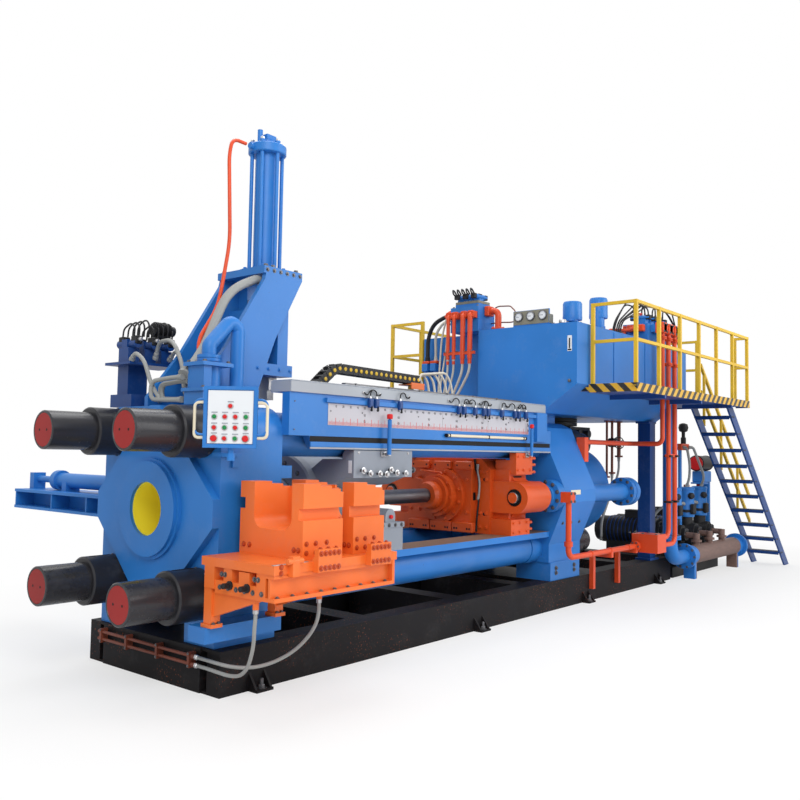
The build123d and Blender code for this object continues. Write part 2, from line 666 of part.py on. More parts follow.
def side_cylinder():
    """Side cylinder on the operator's side: gland flange, tube through the platen and end cap."""
    bore = SIDE_ROD_RADIUS + ROD_GAP
    x_gland = REAR_FRONT - SEAT_GAP
    x_neck = SIDE_GLAND_FRONT + SIDE_GLAND_NECK
    neck = SIDE_CYLINDER_RADIUS + 22
    profile = Polyline(
        (SIDE_GLAND_FRONT, bore), (SIDE_GLAND_FRONT, neck), (x_neck, neck), (x_neck, SIDE_FLANGE_RADIUS),
        (x_gland, SIDE_FLANGE_RADIUS), (x_gland, SIDE_CYLINDER_RADIUS),
        (SIDE_TUBE_BACK, SIDE_CYLINDER_RADIUS), (SIDE_TUBE_BACK, SIDE_FLANGE_RADIUS),
        (SIDE_TUBE_BACK + 90, SIDE_FLANGE_RADIUS), (SIDE_TUBE_BACK + 90, SIDE_FLANGE_RADIUS - 12),
        (SIDE_TUBE_BACK + 110, SIDE_FLANGE_RADIUS - 12), (SIDE_TUBE_BACK + 110, SIDE_FLANGE_RADIUS),
        (SIDE_CAP_BACK - 120, SIDE_FLANGE_RADIUS), (SIDE_CAP_BACK, SIDE_FLANGE_RADIUS - 70),
        (SIDE_CAP_BACK, 0), (SIDE_TUBE_BACK, 0), (SIDE_TUBE_BACK, bore), close=True)
    body = revolve(Plane.XY * make_face(profile), axis=Axis.X)
    return Pos(0, -SIDE_CYLINDER_Y, AXIS_Z) * body


def lower_guide_rail():
    """Flat guide bar lying along the lower sleeve on the operator's side."""
    x0 = PLATEN_REAR + SEAT_GAP
    x1 = REAR_FRONT - SEAT_GAP
    bar = block(x0, x1, -GUIDE_Y_OUT, -LOWER_RAIL_Y_IN, LOWER_RAIL_BOTTOM, LOWER_RAIL_TOP)
    z = AXIS_Z - ROD_RISE
    bar -= bar_x(x0 - 5, x1 - SLEEVE_COLLAR_LENGTH, -ROD_Y, z, SLEEVE_RADIUS + SEAT_GAP)
    return bar - bar_x(x1 - SLEEVE_COLLAR_LENGTH - 1, x1 + 5, -ROD_Y, z, SLEEVE_COLLAR_RADIUS + SEAT_GAP)


def upper_guide_rail():
    """Guide bar hung under the scale beam, with a bevelled front end."""
    x0 = PLATEN_REAR + UPPER_RAIL_LEAD
    x1 = REAR_FRONT - SEAT_GAP
    z0 = UPPER_RAIL_BOTTOM
    z1 = BEAM_BOTTOM - SEAT_GAP
    outline = [(x0, z1), (x0 + 0.6 * (z1 - z0), z0), (x1, z0), (x1, z1)]
    return prism_y(outline, -GUIDE_Y_OUT, -GUIDE_Y_IN)


def scale_beam():
    """Beam that carries the position scale: web plate, cap, switch rail, end box and rear shoe."""
    out = BEAM_Y_OUT
    lip = out + BEAM_CAP_LIP
    section = [
        (-out, BEAM_BOTTOM), (-BEAM_Y_IN, BEAM_BOTTOM), (-BEAM_Y_IN, BEAM_CAP_BOTTOM),
        (-BEAM_CAP_Y_IN, BEAM_CAP_BOTTOM), (-BEAM_CAP_Y_IN, BEAM_CAP_TOP), (-lip, BEAM_CAP_TOP),
        (-lip, BEAM_CAP_BOTTOM), (-out, BEAM_CAP_BOTTOM),
    ]
    body = prism_x(section, BEAM_FRONT, BEAM_BACK)
    x_rail = BEAM_FRONT + 0.1 * (BEAM_BACK - BEAM_FRONT)
    x_box = BEAM_BACK - END_BOX_LENGTH
    z_rail = BEAM_CAP_BOTTOM - SWITCH_RAIL_DROP
    body += block(x_rail, x_box, -lip - SWITCH_RAIL_REACH, -out + FUSE, z_rail - SWITCH_RAIL_HEIGHT, z_rail)
    body += block(x_box, BEAM_BACK, -lip - END_BOX_REACH, -out, BEAM_BOTTOM + 20, BEAM_CAP_BOTTOM)
    x_shoe = REAR_FRONT - SEAT_GAP
    return body + block(BEAM_BACK, x_shoe, -out, -BEAM_Y_IN, BEAM_BOTTOM, BEAM_BOTTOM + BEAM_SHOE_HEIGHT)


def crosshead():
    """Moving crosshead: casting with a stepped front plate, guide arms at its corners and two rod lugs."""
    z0 = LOWER_RAIL_TOP + SEAT_GAP
    z1 = CROSSHEAD_TOP
    x_body = CROSSHEAD_FRONT + HEAD_PLATE
    cut = CROSSHEAD_BEVEL
    h = CROSSHEAD_HALF
    outline = [(-h, z0), (h, z0), (h, z1 - cut), (h - cut, z1), (-h + cut, z1), (-h, z1 - cut)]
    body = prism_x(outline, x_body, CROSSHEAD_BACK)
    half = HEAD_PLATE_HALF
    x_plate = CROSSHEAD_FRONT + HEAD_BOSS
    body += rounded_plate(half, AXIS_Z - half, AXIS_Z + half, 0.2 * half, x_plate, x_body + FUSE)
    body += bar_x(CROSSHEAD_FRONT, x_plate + FUSE, 0, AXIS_Z, HOLDER_RADIUS + 80)
    for y in (-CLEAT_Y, 0, CLEAT_Y):
        for z in (z0 + 20, z1 - CROSSHEAD_BEVEL):
            body += block(x_body - CLEAT_REACH, x_body + FUSE, y - CLEAT_HALF, y + CLEAT_HALF, z, z + 105)
    arms = crosshead_arms()
    body += arms
    body += mirrored(arms)
    for side in (-1, 1):
        y = side * SIDE_CYLINDER_Y
        body -= bar_x(LUG_FRONT - FUSE, LUG_BACK + FUSE, y, AXIS_Z, SIDE_ROD_RADIUS + ROD_GAP)
        body -= bar_x(LUG_FRONT - FUSE, LUG_FRONT + LUG_RECESS, y, AXIS_Z, SIDE_ROD_RADIUS + 42)
    return body


def crosshead_arms():
    """Guide blocks, side plate and lug on the operator's side, joined by curved webs."""
    z_low = LOWER_RAIL_TOP + SEAT_GAP
    z_high = UPPER_RAIL_BOTTOM - GUIDE_GAP
    x0 = LUG_FRONT
    x_upper = x0 + 80
    x_upper_end = x0 + 450
    y_shoe = -GUIDE_Y_OUT - SHOE_REACH
    lower = block(x0 - 20, x0 + 400, y_shoe, -CROSSHEAD_HALF, z_low, LOWER_SHOE_TOP)
    upper = block(x_upper, x_upper_end, y_shoe, -GUIDE_Y_IN, UPPER_SHOE_BOTTOM, z_high)
    z_wing = z_high - 90
    upper += block(x_upper, x_upper_end, -GUIDE_Y_OUT, -CROSSHEAD_HALF, UPPER_SHOE_BOTTOM, z_wing)
    y_web = SIDE_CYLINDER_Y - 110
    web = block(x0 + 60, CROSSHEAD_BACK - 60, -y_web, -CROSSHEAD_HALF, z_low, CROSSHEAD_TOP - CROSSHEAD_BEVEL)
    lug = bar_x(x0, LUG_BACK, -SIDE_CYLINDER_Y, AXIS_Z, LUG_RADIUS)
    z0 = AXIS_Z - LUG_RADIUS
    z1 = AXIS_Z + LUG_RADIUS
    lug += block(x0, LUG_BACK - 60, -SIDE_CYLINDER_Y, -CROSSHEAD_HALF, z0, z1)
    for z_lug, z_end in ((z1, UPPER_SHOE_BOTTOM), (z0, LOWER_SHOE_TOP)):
        radius = abs(z_end - z_lug)
        y_centre = -y_web - radius
        z_corner = min(z_end, z_lug)
        corner = block(x0 + 120, LUG_BACK - 140, y_centre, -y_web + FUSE, z_corner, z_corner + radius)
        lug += corner - bar_x(x0, LUG_BACK, y_centre, z_end, radius)
    return lower + upper + web + lug


def stem_holder():
    """Stepped and coned holder bolted on the crosshead, clamping the stem."""
    bore = STEM_RADIUS + SEAT_GAP
    x1 = CROSSHEAD_FRONT - SEAT_GAP
    profile = Polyline(
        (HOLDER_FRONT, bore), (HOLDER_FRONT, HOLDER_RADIUS - 110), (HOLDER_FRONT + 60, HOLDER_RADIUS - 90),
        (HOLDER_FRONT + 130, HOLDER_RADIUS - 90), (HOLDER_FRONT + 130, HOLDER_RADIUS - 40),
        (HOLDER_FRONT + 190, HOLDER_RADIUS - 40), (HOLDER_FRONT + 190, HOLDER_RADIUS),
        (x1, HOLDER_RADIUS), (x1, bore), close=True)
    return Pos(0, 0, AXIS_Z) * revolve(Plane.XY * make_face(profile), axis=Axis.X)


def extrusion_stem():
    """Stem with its pressing tip."""
    stem = bar_x(STEM_FRONT, CROSSHEAD_FRONT - SEAT_GAP, 0, AXIS_Z, STEM_RADIUS)
    neck = bar_x(STEM_FRONT + 60, STEM_FRONT + 90, 0, AXIS_Z, STEM_RADIUS + 5)
    return stem - (neck - bar_x(STEM_FRONT, CROSSHEAD_FRONT, 0, AXIS_Z, STEM_RADIUS - 8))


def main_ram():
    """Main ram between crosshead and main cylinder."""
    return bar_x(CROSSHEAD_BACK + SEAT_GAP, MAIN_RAM_BACK, 0, AXIS_Z, MAIN_RAM_RADIUS)


def side_rod():
    """Rod of the side cylinder with its nut in the lug."""
    y = -SIDE_CYLINDER_Y
    rod = bar_x(LUG_FRONT + 10, SIDE_ROD_BACK, y, AXIS_Z, SIDE_ROD_RADIUS)
    return rod + bar_x(LUG_FRONT + 30, LUG_FRONT + LUG_RECESS - SEAT_GAP, y, AXIS_Z, SIDE_ROD_RADIUS + 24)


def container_housing():
    """Container housing: drum with rims and a groove, on four guide arms."""
    low = CONTAINER_RADIUS - DRUM_STEP
    x0 = CONTAINER_FRONT
    x1 = CONTAINER_BACK
    bore = CONTAINER_LINER_RADIUS
    profile = Polyline(
        (x0, bore), (x0, CONTAINER_RADIUS - DRUM_CHAMFER), (x0 + DRUM_CHAMFER, CONTAINER_RADIUS),
        (x0 + DRUM_RIM, CONTAINER_RADIUS), (x0 + DRUM_RIM, low), (x1 - DRUM_RIM, low),
        (x1 - DRUM_RIM, CONTAINER_RADIUS), (x1 - DRUM_CHAMFER, CONTAINER_RADIUS),
        (x1, CONTAINER_RADIUS - DRUM_CHAMFER), (x1, bore), close=True)
    body = Pos(0, 0, AXIS_Z) * revolve(Plane.XY * make_face(profile), axis=Axis.X)
    arms = container_arms()
    body += arms
    body += mirrored(arms)
    return body


def container_arms():
    """Upper and lower guide blocks on the operator's side, with the arms that join them to the drum."""
    x0 = CONTAINER_FRONT
    z_high = UPPER_RAIL_BOTTOM - GUIDE_GAP
    z_low = LOWER_RAIL_TOP + SEAT_GAP
    y_in = GUIDE_Y_IN - ARM_DEPTH
    block_z = z_high - UPPER_BLOCK_HEIGHT
    section = [
        (-GUIDE_Y_OUT, block_z), (-GUIDE_Y_OUT, z_high), (-GUIDE_Y_IN + 30, z_high),
        (-GUIDE_Y_IN + 60, z_high - 40), (-GUIDE_Y_IN + 60, z_high - 90), (-y_in, z_high - 90),
        (-330, AXIS_Z + 330), (-280, AXIS_Z + 150), (-620, AXIS_Z + 190), (-GUIDE_Y_IN, block_z),
    ]
    upper = prism_x(section, x0 + 100, x0 + UPPER_BLOCK_BACK)
    x1 = x0 + LOWER_BLOCK_FRONT
    x2 = x1 + LOWER_BLOCK_LENGTH
    z_top = z_low + LOWER_BLOCK_HEIGHT
    section = [
        (-GUIDE_Y_OUT, z_low), (-GUIDE_Y_OUT, z_top), (-640, z_top),
        (-330, AXIS_Z - 100), (-280, AXIS_Z - 250), (-560, z_low),
    ]
    lower = prism_x(section, x1, x2)
    lip = block(x1 - 15, x2 + 15, -GUIDE_Y_OUT - 8, -640, z_top - 50, z_top)
    x_hood = (x1 + x2) / 2
    y0 = -GUIDE_Y_OUT + 20
    y1 = -700
    hood = bar_y(x_hood, y0, y1, z_top, HOOD_RADIUS)
    hood += block(x_hood - HOOD_RADIUS, x_hood + HOOD_RADIUS, y0, y1, z_top - 5, z_top + HOOD_RISE)
    hood += bar_y(x_hood, y0, y1, z_top + HOOD_RISE, HOOD_RADIUS)
    return upper + lower + lip + hood


def container_liner():
    """Liner of the container with the billet bore."""
    body = bar_x(CONTAINER_FRONT - 30, CONTAINER_BACK, 0, AXIS_Z, CONTAINER_LINER_RADIUS - SEAT_GAP)
    return body - bar_x(CONTAINER_FRONT - 40, CONTAINER_BACK + 5, 0, AXIS_Z, CONTAINER_BORE)


def shear_frame():
    """Shear tower: two inclined side plates with a rear web, a head plate, guide posts and brackets."""
    z0 = PLATEN_TOP
    x_edge = SHEAR_X + HEAD_REAR
    head_bottom = SHEAR_TOP - SHEAR_HEAD_THICKNESS
    outline = [
        (TOWER_FRONT, z0), (TOWER_REAR, z0), (TOWER_REAR + 60, z0 + 230), (x_edge - 330, z0 + 680),
        (x_edge, head_bottom - 10), (x_edge, SHEAR_TOP), (x_edge - 450, SHEAR_TOP),
        (x_edge - 480, head_bottom - 60), (TOWER_FRONT + 360, z0 + 540), (TOWER_FRONT, z0 + 90),
    ]
    near = prism_y(outline, -SHEAR_HALF_Y - SHEAR_PLATE, -SHEAR_HALF_Y)
    body = near + mirrored(near)
    web = [
        (TOWER_REAR - 90, z0), (TOWER_REAR - 60, z0), (TOWER_REAR, z0 + 240), (x_edge - 390, z0 + 690),
        (x_edge - 330, head_bottom - 300), (x_edge - 360, head_bottom - 300), (x_edge - 430, z0 + 700),
        (TOWER_REAR - 40, z0 + 250),
    ]
    body += prism_y(web, -SHEAR_HALF_Y, SHEAR_HALF_Y)
    reach = SHEAR_HALF_Y + SHEAR_PLATE
    body += block(x_edge - 490, x_edge, -reach, reach, head_bottom, SHEAR_TOP)
    half = SHEAR_POST_SIZE / 2
    z_post = SHEAR_POST_BOTTOM
    y_post = SHEAR_HALF_Y - half
    post = block(SHEAR_X - half, SHEAR_X + half, -y_post - half, -y_post + half, z_post, head_bottom)
    y_bracket = -SHEAR_HALF_Y + SHEAR_POST_SIZE
    post += block(TOWER_REAR - 20, SHEAR_X + half + 20, -reach, y_bracket, z_post, z_post + 110)
    body += post
    body += mirrored(post)
    body -= bar_z(SHEAR_X, 0, head_bottom - 10, SHEAR_TOP + 10, SHEAR_ROD_RADIUS + ROD_GAP)
    return body


def shear_cylinder():
    """Upright cylinder: tube between a foot and a head flange, held by tie bars, with its port fittings."""
    z0 = SHEAR_TOP + SEAT_GAP
    z1 = SHEAR_CYLINDER_TOP
    z2 = z1 + SHEAR_FLANGE
    foot = SHEAR_FOOT_HALF
    body = bar_z(SHEAR_X, 0, z0, z1, SHEAR_TUBE_RADIUS)
    body += block(SHEAR_X - foot, SHEAR_X + foot, -foot, foot, z0, z0 + 45)
    head = bar_z(SHEAR_X, 0, z1, z2, SHEAR_FLANGE_RADIUS)
    body += chamfer(head.edges().filter_by(GeomType.CIRCLE), 8)
    for spot in PolarLocations(SHEAR_FLANGE_RADIUS - 38, 6, start_angle=30):
        bar = Cylinder(19, z2 - z0 - 5)
        body += Pos(SHEAR_X, 0, (z0 + z2 + 55) / 2) * spot * bar
        cap = Cylinder(27, 28)
        body += Pos(SHEAR_X, 0, z2 + 14) * spot * cap
    body += bar_z(SHEAR_X, 0, z2, z2 + 60, 80)
    body += block(SHEAR_X - 60, SHEAR_X + 60, -60, 60, z2 + 59, z2 + 110)
    body += bar_z(SHEAR_X - 100, 0, z2 - 10, z2 + 145, 26)
    body += bar_x(SHEAR_X - SHEAR_FLANGE_RADIUS - 40, SHEAR_X, 0, (z1 + z2) / 2, 30)
    body -= bar_z(SHEAR_X, 0, z0 - 5, z1 - 60, SHEAR_ROD_RADIUS + ROD_GAP)
    return body


def shear_slide():
    """Shear slide with its blade, hung from the cylinder's rod between the guide posts."""
    half = SHEAR_HALF_Y - SHEAR_POST_SIZE - SEAT_GAP
    x0 = SHEAR_X - SLIDE_HALF
    x1 = SHEAR_X + SLIDE_HALF
    body = block(x0 + 10, x1 - 10, -half, half, SLIDE_BOTTOM, SLIDE_TOP)
    strip = block(x0, x1, -half, -half + 45, SLIDE_BOTTOM + 140, SLIDE_TOP)
    body += strip
    body += mirrored(strip)
    body += block(x0, SHEAR_X + 20, -half + 10, half - 10, SLIDE_BOTTOM - BLADE_HEIGHT, SLIDE_BOTTOM + FUSE)
    body += bar_z(SHEAR_X, 0, SLIDE_TOP - FUSE, SHEAR_CYLINDER_TOP - 70, SHEAR_ROD_RADIUS)
    return body


def platen_valve():
    """Valve body on the front platen: stand, block, round neck between square flanges."""
    z = PLATEN_TOP + SEAT_GAP
    x, y = VALVE_X, VALVE_Y
    body = block(x - 150, x + 150, y - 130, y + 130, z, z + 110)
    body += block(x - 170, x + 170, y - 150, y + 150, z + 110, z + 140)
    body += bar_z(x + 20, y, z + 139, z + 330, 85)
    body += block(x - 130, x - 50, y - 110, y + 110, z + 139, z + 330)
    body += block(x - 160, x + 160, y - 140, y + 140, z + 330, z + 362)
    body += bar_z(x, y, z + 361, z + 430, 85)
    return body


def valve_pipe():
    """Thick bent pipe from the valve body up and down again to its flange on the platen."""
    z = PLATEN_TOP + SEAT_GAP
    x, y = VALVE_X, VALVE_Y
    x1 = x + VALVE_PIPE_SPAN
    radius = VALVE_PIPE_RADIUS
    z_neck = z + 430 + SEAT_GAP
    route = [(x, y, z_neck), (x, y, z + 520), (x1 - 80, y, z + 760), (x1, y, z + 690), (x1, y, z + 20)]
    return tube(route, [60, 60, 40], radius) + bar_z(x1, y, z, z + 45, radius + 60)


def far_valve_stand():
    """Valve stand on the far side of the front platen: pillar, tray and three valves with their pilots."""
    z = PLATEN_TOP + SEAT_GAP
    x0 = FAR_STAND_X
    y = ROD_Y
    z_tray = z + 400
    body = block(x0, x0 + 340, y - 100, y + 250, z, z + 120)
    body += block(x0 + 60, x0 + 270, y + 60, y + 235, z + 119, z_tray)
    body += block(x0 - 40, x0 + 560, y - 120, y + 300, z_tray, z_tray + 25)
    for step in range(3):
        x = x0 + 50 + 180 * step
        body += block(x - 60, x + 60, y - 40, y + 120, z_tray + 24, z_tray + 160)
        body += bar_y(x, y - 110, y + 190, z_tray + 200, 42)
        body += block(x - 50, x + 50, y, y + 90, z_tray + 159, z_tray + 240)
    return body


def die_push_cylinder():
    """Cross cylinder on the far side in its trough, in line with the die space."""
    half = PUSH_TROUGH_HALF
    x = PLATEN_REAR + SEAT_GAP - half
    y0 = PLATEN_SIDE + SEAT_GAP
    y1 = y0 + PUSH_LENGTH
    low = AXIS_Z + PUSH_BOTTOM
    high = low + PUSH_DEPTH
    z = high + PUSH_RADIUS + 30
    body = block(x - half, x + half, y0, y1, low, low + 30)
    body += block(x - half, x + half, y0, y1, high - 30, high)
    body += block(x - 15, x + 15, y0, y1, low + 29, high - 29)
    for place in (0.0, 0.32, 0.64, 1.0):
        y = y0 + place * (PUSH_LENGTH - 20)
        body += block(x - half + 10, x + half - 10, y, y + 20, low + 29, high - 29)
    for place in (0.12, 0.62):
        y = y0 + place * PUSH_LENGTH
        body += block(x - PUSH_RADIUS, x + PUSH_RADIUS, y, y + 90, high - 1, z)
    body += bar_y(x, y0 + 0.06 * PUSH_LENGTH, y0 + 0.76 * PUSH_LENGTH, z, PUSH_RADIUS)
    for place in (0.06, 0.72):
        y = y0 + place * PUSH_LENGTH
        body += bar_y(x, y, y + 90, z, PUSH_RADIUS + 28)
    body += bar_y(x, y0 + 0.75 * PUSH_LENGTH, y1 - 90, z, 0.45 * PUSH_RADIUS)
    body += block(x - 70, x + 70, y1 - 110, y1 - 20, high - 1, z + 70)
    return body


def tank_solid(inset, top):
    """Room of the tank, drawn in from every wall by the inset."""
    half_y = TANK_HALF_Y - inset
    z_side = TANK_SIDE_BOTTOM + inset * 0.5
    z_keel = TANK_KEEL_BOTTOM + inset
    section = [
        (-half_y, z_side), (-TANK_KEEL_Y, z_keel), (TANK_KEEL_Y, z_keel), (half_y, z_side),
        (half_y, top), (-half_y, top),
    ]
    body = prism_x(section, TANK_FRONT + inset, TANK_BACK - inset)
    over = 10
    step = block(TANK_FRONT - over, TANK_STEP_FRONT + inset, TANK_STEP_Y - inset, TANK_HALF_Y + over,
                 TANK_KEEL_BOTTOM - over, top + over)
    return body - step


def oil_tank():
    """Oil tank over the rear of the press: welded shell with a stepped front and a keel-shaped underside."""
    top = TANK_TOP - TANK_WALL
    return tank_solid(0, top) - tank_solid(TANK_WALL, top + 1)


def tank_cover():
    """Flat cover plate of the oil tank."""
    z = TANK_TOP - TANK_WALL + SEAT_GAP
    y = TANK_HALF_Y + 10
    below = block(TANK_FRONT - 10, TANK_BACK + 10, -y, y, TANK_KEEL_BOTTOM - 10, z)
    return tank_solid(0, TANK_TOP) - below


def tank_saddle():
    """Saddle between rear platen and tank."""
    x0 = REAR_FRONT + SADDLE_INSET
    x1 = REAR_BACK - SADDLE_INSET
    z0 = PLATEN_TOP + REAR_CROWN + SEAT_GAP
    return block(x0, x1, -SADDLE_HALF, SADDLE_HALF, z0, TANK_KEEL_BOTTOM - SEAT_GAP)


def prefill_valve():
    """Prefill valve between main cylinder and tank: flanged body with a side block and its two ports."""
    x = PREFILL_X
    z0 = AXIS_Z + MAIN_CYLINDER_RADIUS - PREFILL_SADDLE
    z1 = TANK_KEEL_BOTTOM - SEAT_GAP
    radius = PREFILL_RADIUS
    flange = radius + PREFILL_FLANGE
    body = bar_z(x, 0, z0, z1, radius)
    body += bar_z(x, 0, z1 - 50, z1, flange)
    body += bar_z(x, 0, z1 - 110, z1 - 60, flange)
    z_port = z1 - PREFILL_PORT
    y_side = -radius - 0.64 * radius
    body += block(x - 1.1 * radius, x + 1.1 * radius, y_side, -0.5 * radius, z_port - 100, z_port + 100)
    for place in (-0.5, 0.5):
        body += bar_y(x + place * radius, y_side - 80, y_side + 10, z_port, 55)
    return body - bar_x(x - 2 * radius, x + 2 * radius, 0, AXIS_Z, MAIN_CYLINDER_RADIUS + SEAT_GAP)


def tank_fittings():
    """Return filters, breather and gauge panel on the tank top."""
    z = TANK_TOP + SEAT_GAP
    y_edge = -TANK_HALF_Y
    parts = []
    for step, scale in ((0, 1.0), (1, 1.16)):
        x = TANK_FRONT + FILTER_FRONT + step * FILTER_PITCH
        y = y_edge + FILTER_INSET
        radius = FILTER_RADIUS * scale
        can = bar_z(x, y, z, z + 25, radius * 0.9)
        can += bar_z(x, y, z + 24, z + 61, radius * 0.5)
        can += bar_z(x, y, z + 60, z + 85, radius + 12)
        can += bar_z(x, y, z + 84, z + FILTER_HEIGHT * scale, radius)
        parts.append(can)
    x = TANK_FRONT + 30
    y0 = y_edge + GAUGE_INSET
    y1 = y0 + GAUGE_WIDTH
    panel = block(x, x + 20, y0, y1, z + 20, z + 20 + GAUGE_HEIGHT)
    panel += block(x, x + 120, y0, y1, z, z + 21)
    for place in (0.04, 0.5, 0.94):
        y = y0 + place * GAUGE_WIDTH
        brace = [(x + 19, z + 20), (x + 110, z + 20), (x + 19, z + 0.9 * GAUGE_HEIGHT)]
        panel += prism_y(brace, y, y + 10)
    parts.append(panel)
    return solids(*parts)


def front_manifold():
    """Valve manifold at the front of the tank: main block, upper block and pilot valves on top."""
    x0 = MANIFOLD_FRONT
    y0 = TANK_STEP_Y + 20
    z = TANK_TOP + SEAT_GAP
    body = block(x0, x0 + 400, y0, y0 + 470, z, z + 350)
    body += block(x0 + 60, x0 + 340, y0 + 40, y0 + 430, z + 349, z + 400)
    for row in range(3):
        y = y0 + 90 + 140 * row
        body += block(x0 + 90, x0 + 190, y - 45, y + 45, z + 399, z + 470)
        body += bar_x(x0 + 40, x0 + 300, y, z + 500, 38)
    return body


def front_manifold_pipes():
    """Four flanged pipes from the front manifold down to their clamp bar."""
    x0 = MANIFOLD_FRONT - SEAT_GAP
    x_drop = x0 - 110
    y0 = TANK_STEP_Y
    z_port = TANK_TOP + 225
    body = block(x_drop - 20, x_drop + 20, y0, y0 + 510, CLAMP_BAR_Z, CLAMP_BAR_Z + 40)
    for place, radius in ((450, 26), (350, 26), (200, 34), (80, 34)):
        y = y0 + place
        body += block(x0 - 60, x0, y - 44, y + 44, z_port - 45, z_port + 45)
        drop = [(x0 - 40, y, z_port), (x_drop, y, z_port), (x_drop, y, CLAMP_BAR_Z - 60)]
        body += tube(drop, [40], radius)
    return body


def side_manifold():
    """Valve manifold on the operator's side of the tank top, with its pilot valves and outlet flanges."""
    z = TANK_TOP + SEAT_GAP
    y0 = -TANK_HALF_Y
    x1 = SIDE_MANIFOLD_BACK
    x0 = x1 - SIDE_MANIFOLD_LENGTH
    body = block(x0, x1, y0 + 30, y0 + 420, z, z + 260)
    for row in range(4):
        x = x0 + (row + 0.5) / 4 * SIDE_MANIFOLD_LENGTH
        body += block(x - 55, x + 55, y0 + 90, y0 + 230, z + 259, z + 330)
        body += bar_y(x, y0 + 40, y0 + 330, z + 360, 36)
    for x in side_pipe_places():
        body += block(x - 60, x + 60, y0 - 70, y0 + 31, z + 140, z + 250)
    return body


def side_pipe_places():
    """X of the three pipes that leave the side manifold."""
    return [SIDE_MANIFOLD_BACK - place * SIDE_MANIFOLD_LENGTH for place in (0.792, 0.506, 0.208)]


def supply_y():
    """Y of the supply pipe beside the base."""
    return -SIDE_CYLINDER_Y - SIDE_FLANGE_RADIUS - 80


def side_pipe_y():
    """Y of the pipes that hang from the side manifold."""
    return -TANK_HALF_Y - 120 - SEAT_GAP


def side_drop_pipes():
    """Three pipes from the side manifold through the platform to the rear platen and a low manifold."""
    y = side_pipe_y()
    z_flange = TANK_TOP + 195
    radius = DROP_PIPE_RADIUS
    x_front, x_mid, x_back = side_pipe_places()
    z_run = DECK_BOTTOM - 620
    y_press = -PLATEN_SIDE - 80
    x_press = REAR_BACK + SEAT_GAP
    route = [
        (x_front, y, z_flange), (x_front, y, z_run), (x_front, y_press, z_run),
        (x_press + 40, y_press, z_run),
    ]
    body = tube(route, [90, 90], radius)
    body += block(x_press, x_press + 110, y_press - 50, y_press + 70, z_run - 270, z_run + 60)
    x1 = LOW_MANIFOLD_BACK
    for x, z_end in ((x_mid, SUPPLY_Z + 110), (x_back, SUPPLY_Z)):
        body += tube([(x, y, z_flange), (x, y, z_end), (x1 - 20, y, z_end)], [130], radius)
    body += block(x1 - LOW_MANIFOLD_LENGTH, x1, y - 70, supply_y() + 90, SUPPLY_Z - 90, SUPPLY_Z + 170)
    for x in (x_front, x_mid, x_back):
        body += block(x - 50, x + 50, y - 50, y + 50, z_flange - 60, z_flange + 60)
        body += bar_z(x, y, DECK_BOTTOM + 160, DECK_BOTTOM + 220, radius + 14)
    body += block(x_front - 60, x_back + 60, y - 50, y + 50, DECK_BOTTOM + 175, DECK_BOTTOM + 205)
    body += block(x_mid - 60, x_back + 60, y - 25, y + 25, z_run - 190, z_run - 150)
    return body


def deck():
    """Platform deck round the operator's side and rear of the tank, with its toe boards."""
    y_in = -TANK_HALF_Y + 120
    y_mid = -SEAT_GAP / 2
    x_behind = TANK_BACK - 20
    outline = [
        (DECK_FRONT, -DECK_HALF_Y), (DECK_BACK, -DECK_HALF_Y), (DECK_BACK, y_mid), (x_behind, y_mid),
        (x_behind, y_in), (DECK_FRONT, y_in),
    ]
    z0 = DECK_BOTTOM
    body = prism_z(outline, z0 + DECK_LIFT, z0 + DECK_LIFT + DECK_THICKNESS)
    x_rear = DECK_BACK - TOE_THICKNESS
    body += block(DECK_FRONT, DECK_BACK, -DECK_HALF_Y, -DECK_HALF_Y + TOE_THICKNESS, z0, TOE_TOP)
    body += block(DECK_FRONT, DECK_FRONT + TOE_THICKNESS, -DECK_HALF_Y, -TANK_HALF_Y - 5, z0, TOE_TOP)
    body += block(x_rear, DECK_BACK, STAIR_FAR_Y + STAIR_OPENING, y_mid, z0, TOE_TOP)
    body += block(x_rear, DECK_BACK, -DECK_HALF_Y, STAIR_NEAR_Y - STAIR_OPENING, z0, TOE_TOP)
    for place in (0.2, 0.5, 0.8):
        x = DECK_FRONT + place * (DECK_BACK - DECK_FRONT)
        body += block(x, x + 40, -DECK_HALF_Y + FUSE, y_in, z0 - 40, z0 + DECK_LIFT + FUSE)
    places = side_pipe_places()
    y_pipe = side_pipe_y()
    body -= block(places[0] - 75, places[-1] + 75, y_pipe - 75, y_pipe + 75, z0 - 50, TOE_TOP)
    body -= bar_z(SUCTION_X, suction_y(), z0 - 50, TOE_TOP, SUCTION_RADIUS + 10)
    return body - tank_solid(-SEAT_GAP, TANK_TOP)


def square_bar_x(x0, x1, y, z, size):
    """Square tube along X."""
    return block(x0, x1, y - size / 2, y + size / 2, z - size / 2, z + size / 2)


def square_bar_y(x, y0, y1, z, size):
    """Square tube along Y."""
    return block(x - size / 2, x + size / 2, y0, y1, z - size / 2, z + size / 2)


def square_bar_z(x, y, z0, z1, size):
    """Square tube along Z."""
    return block(x - size / 2, x + size / 2, y - size / 2, y + size / 2, z0, z1)


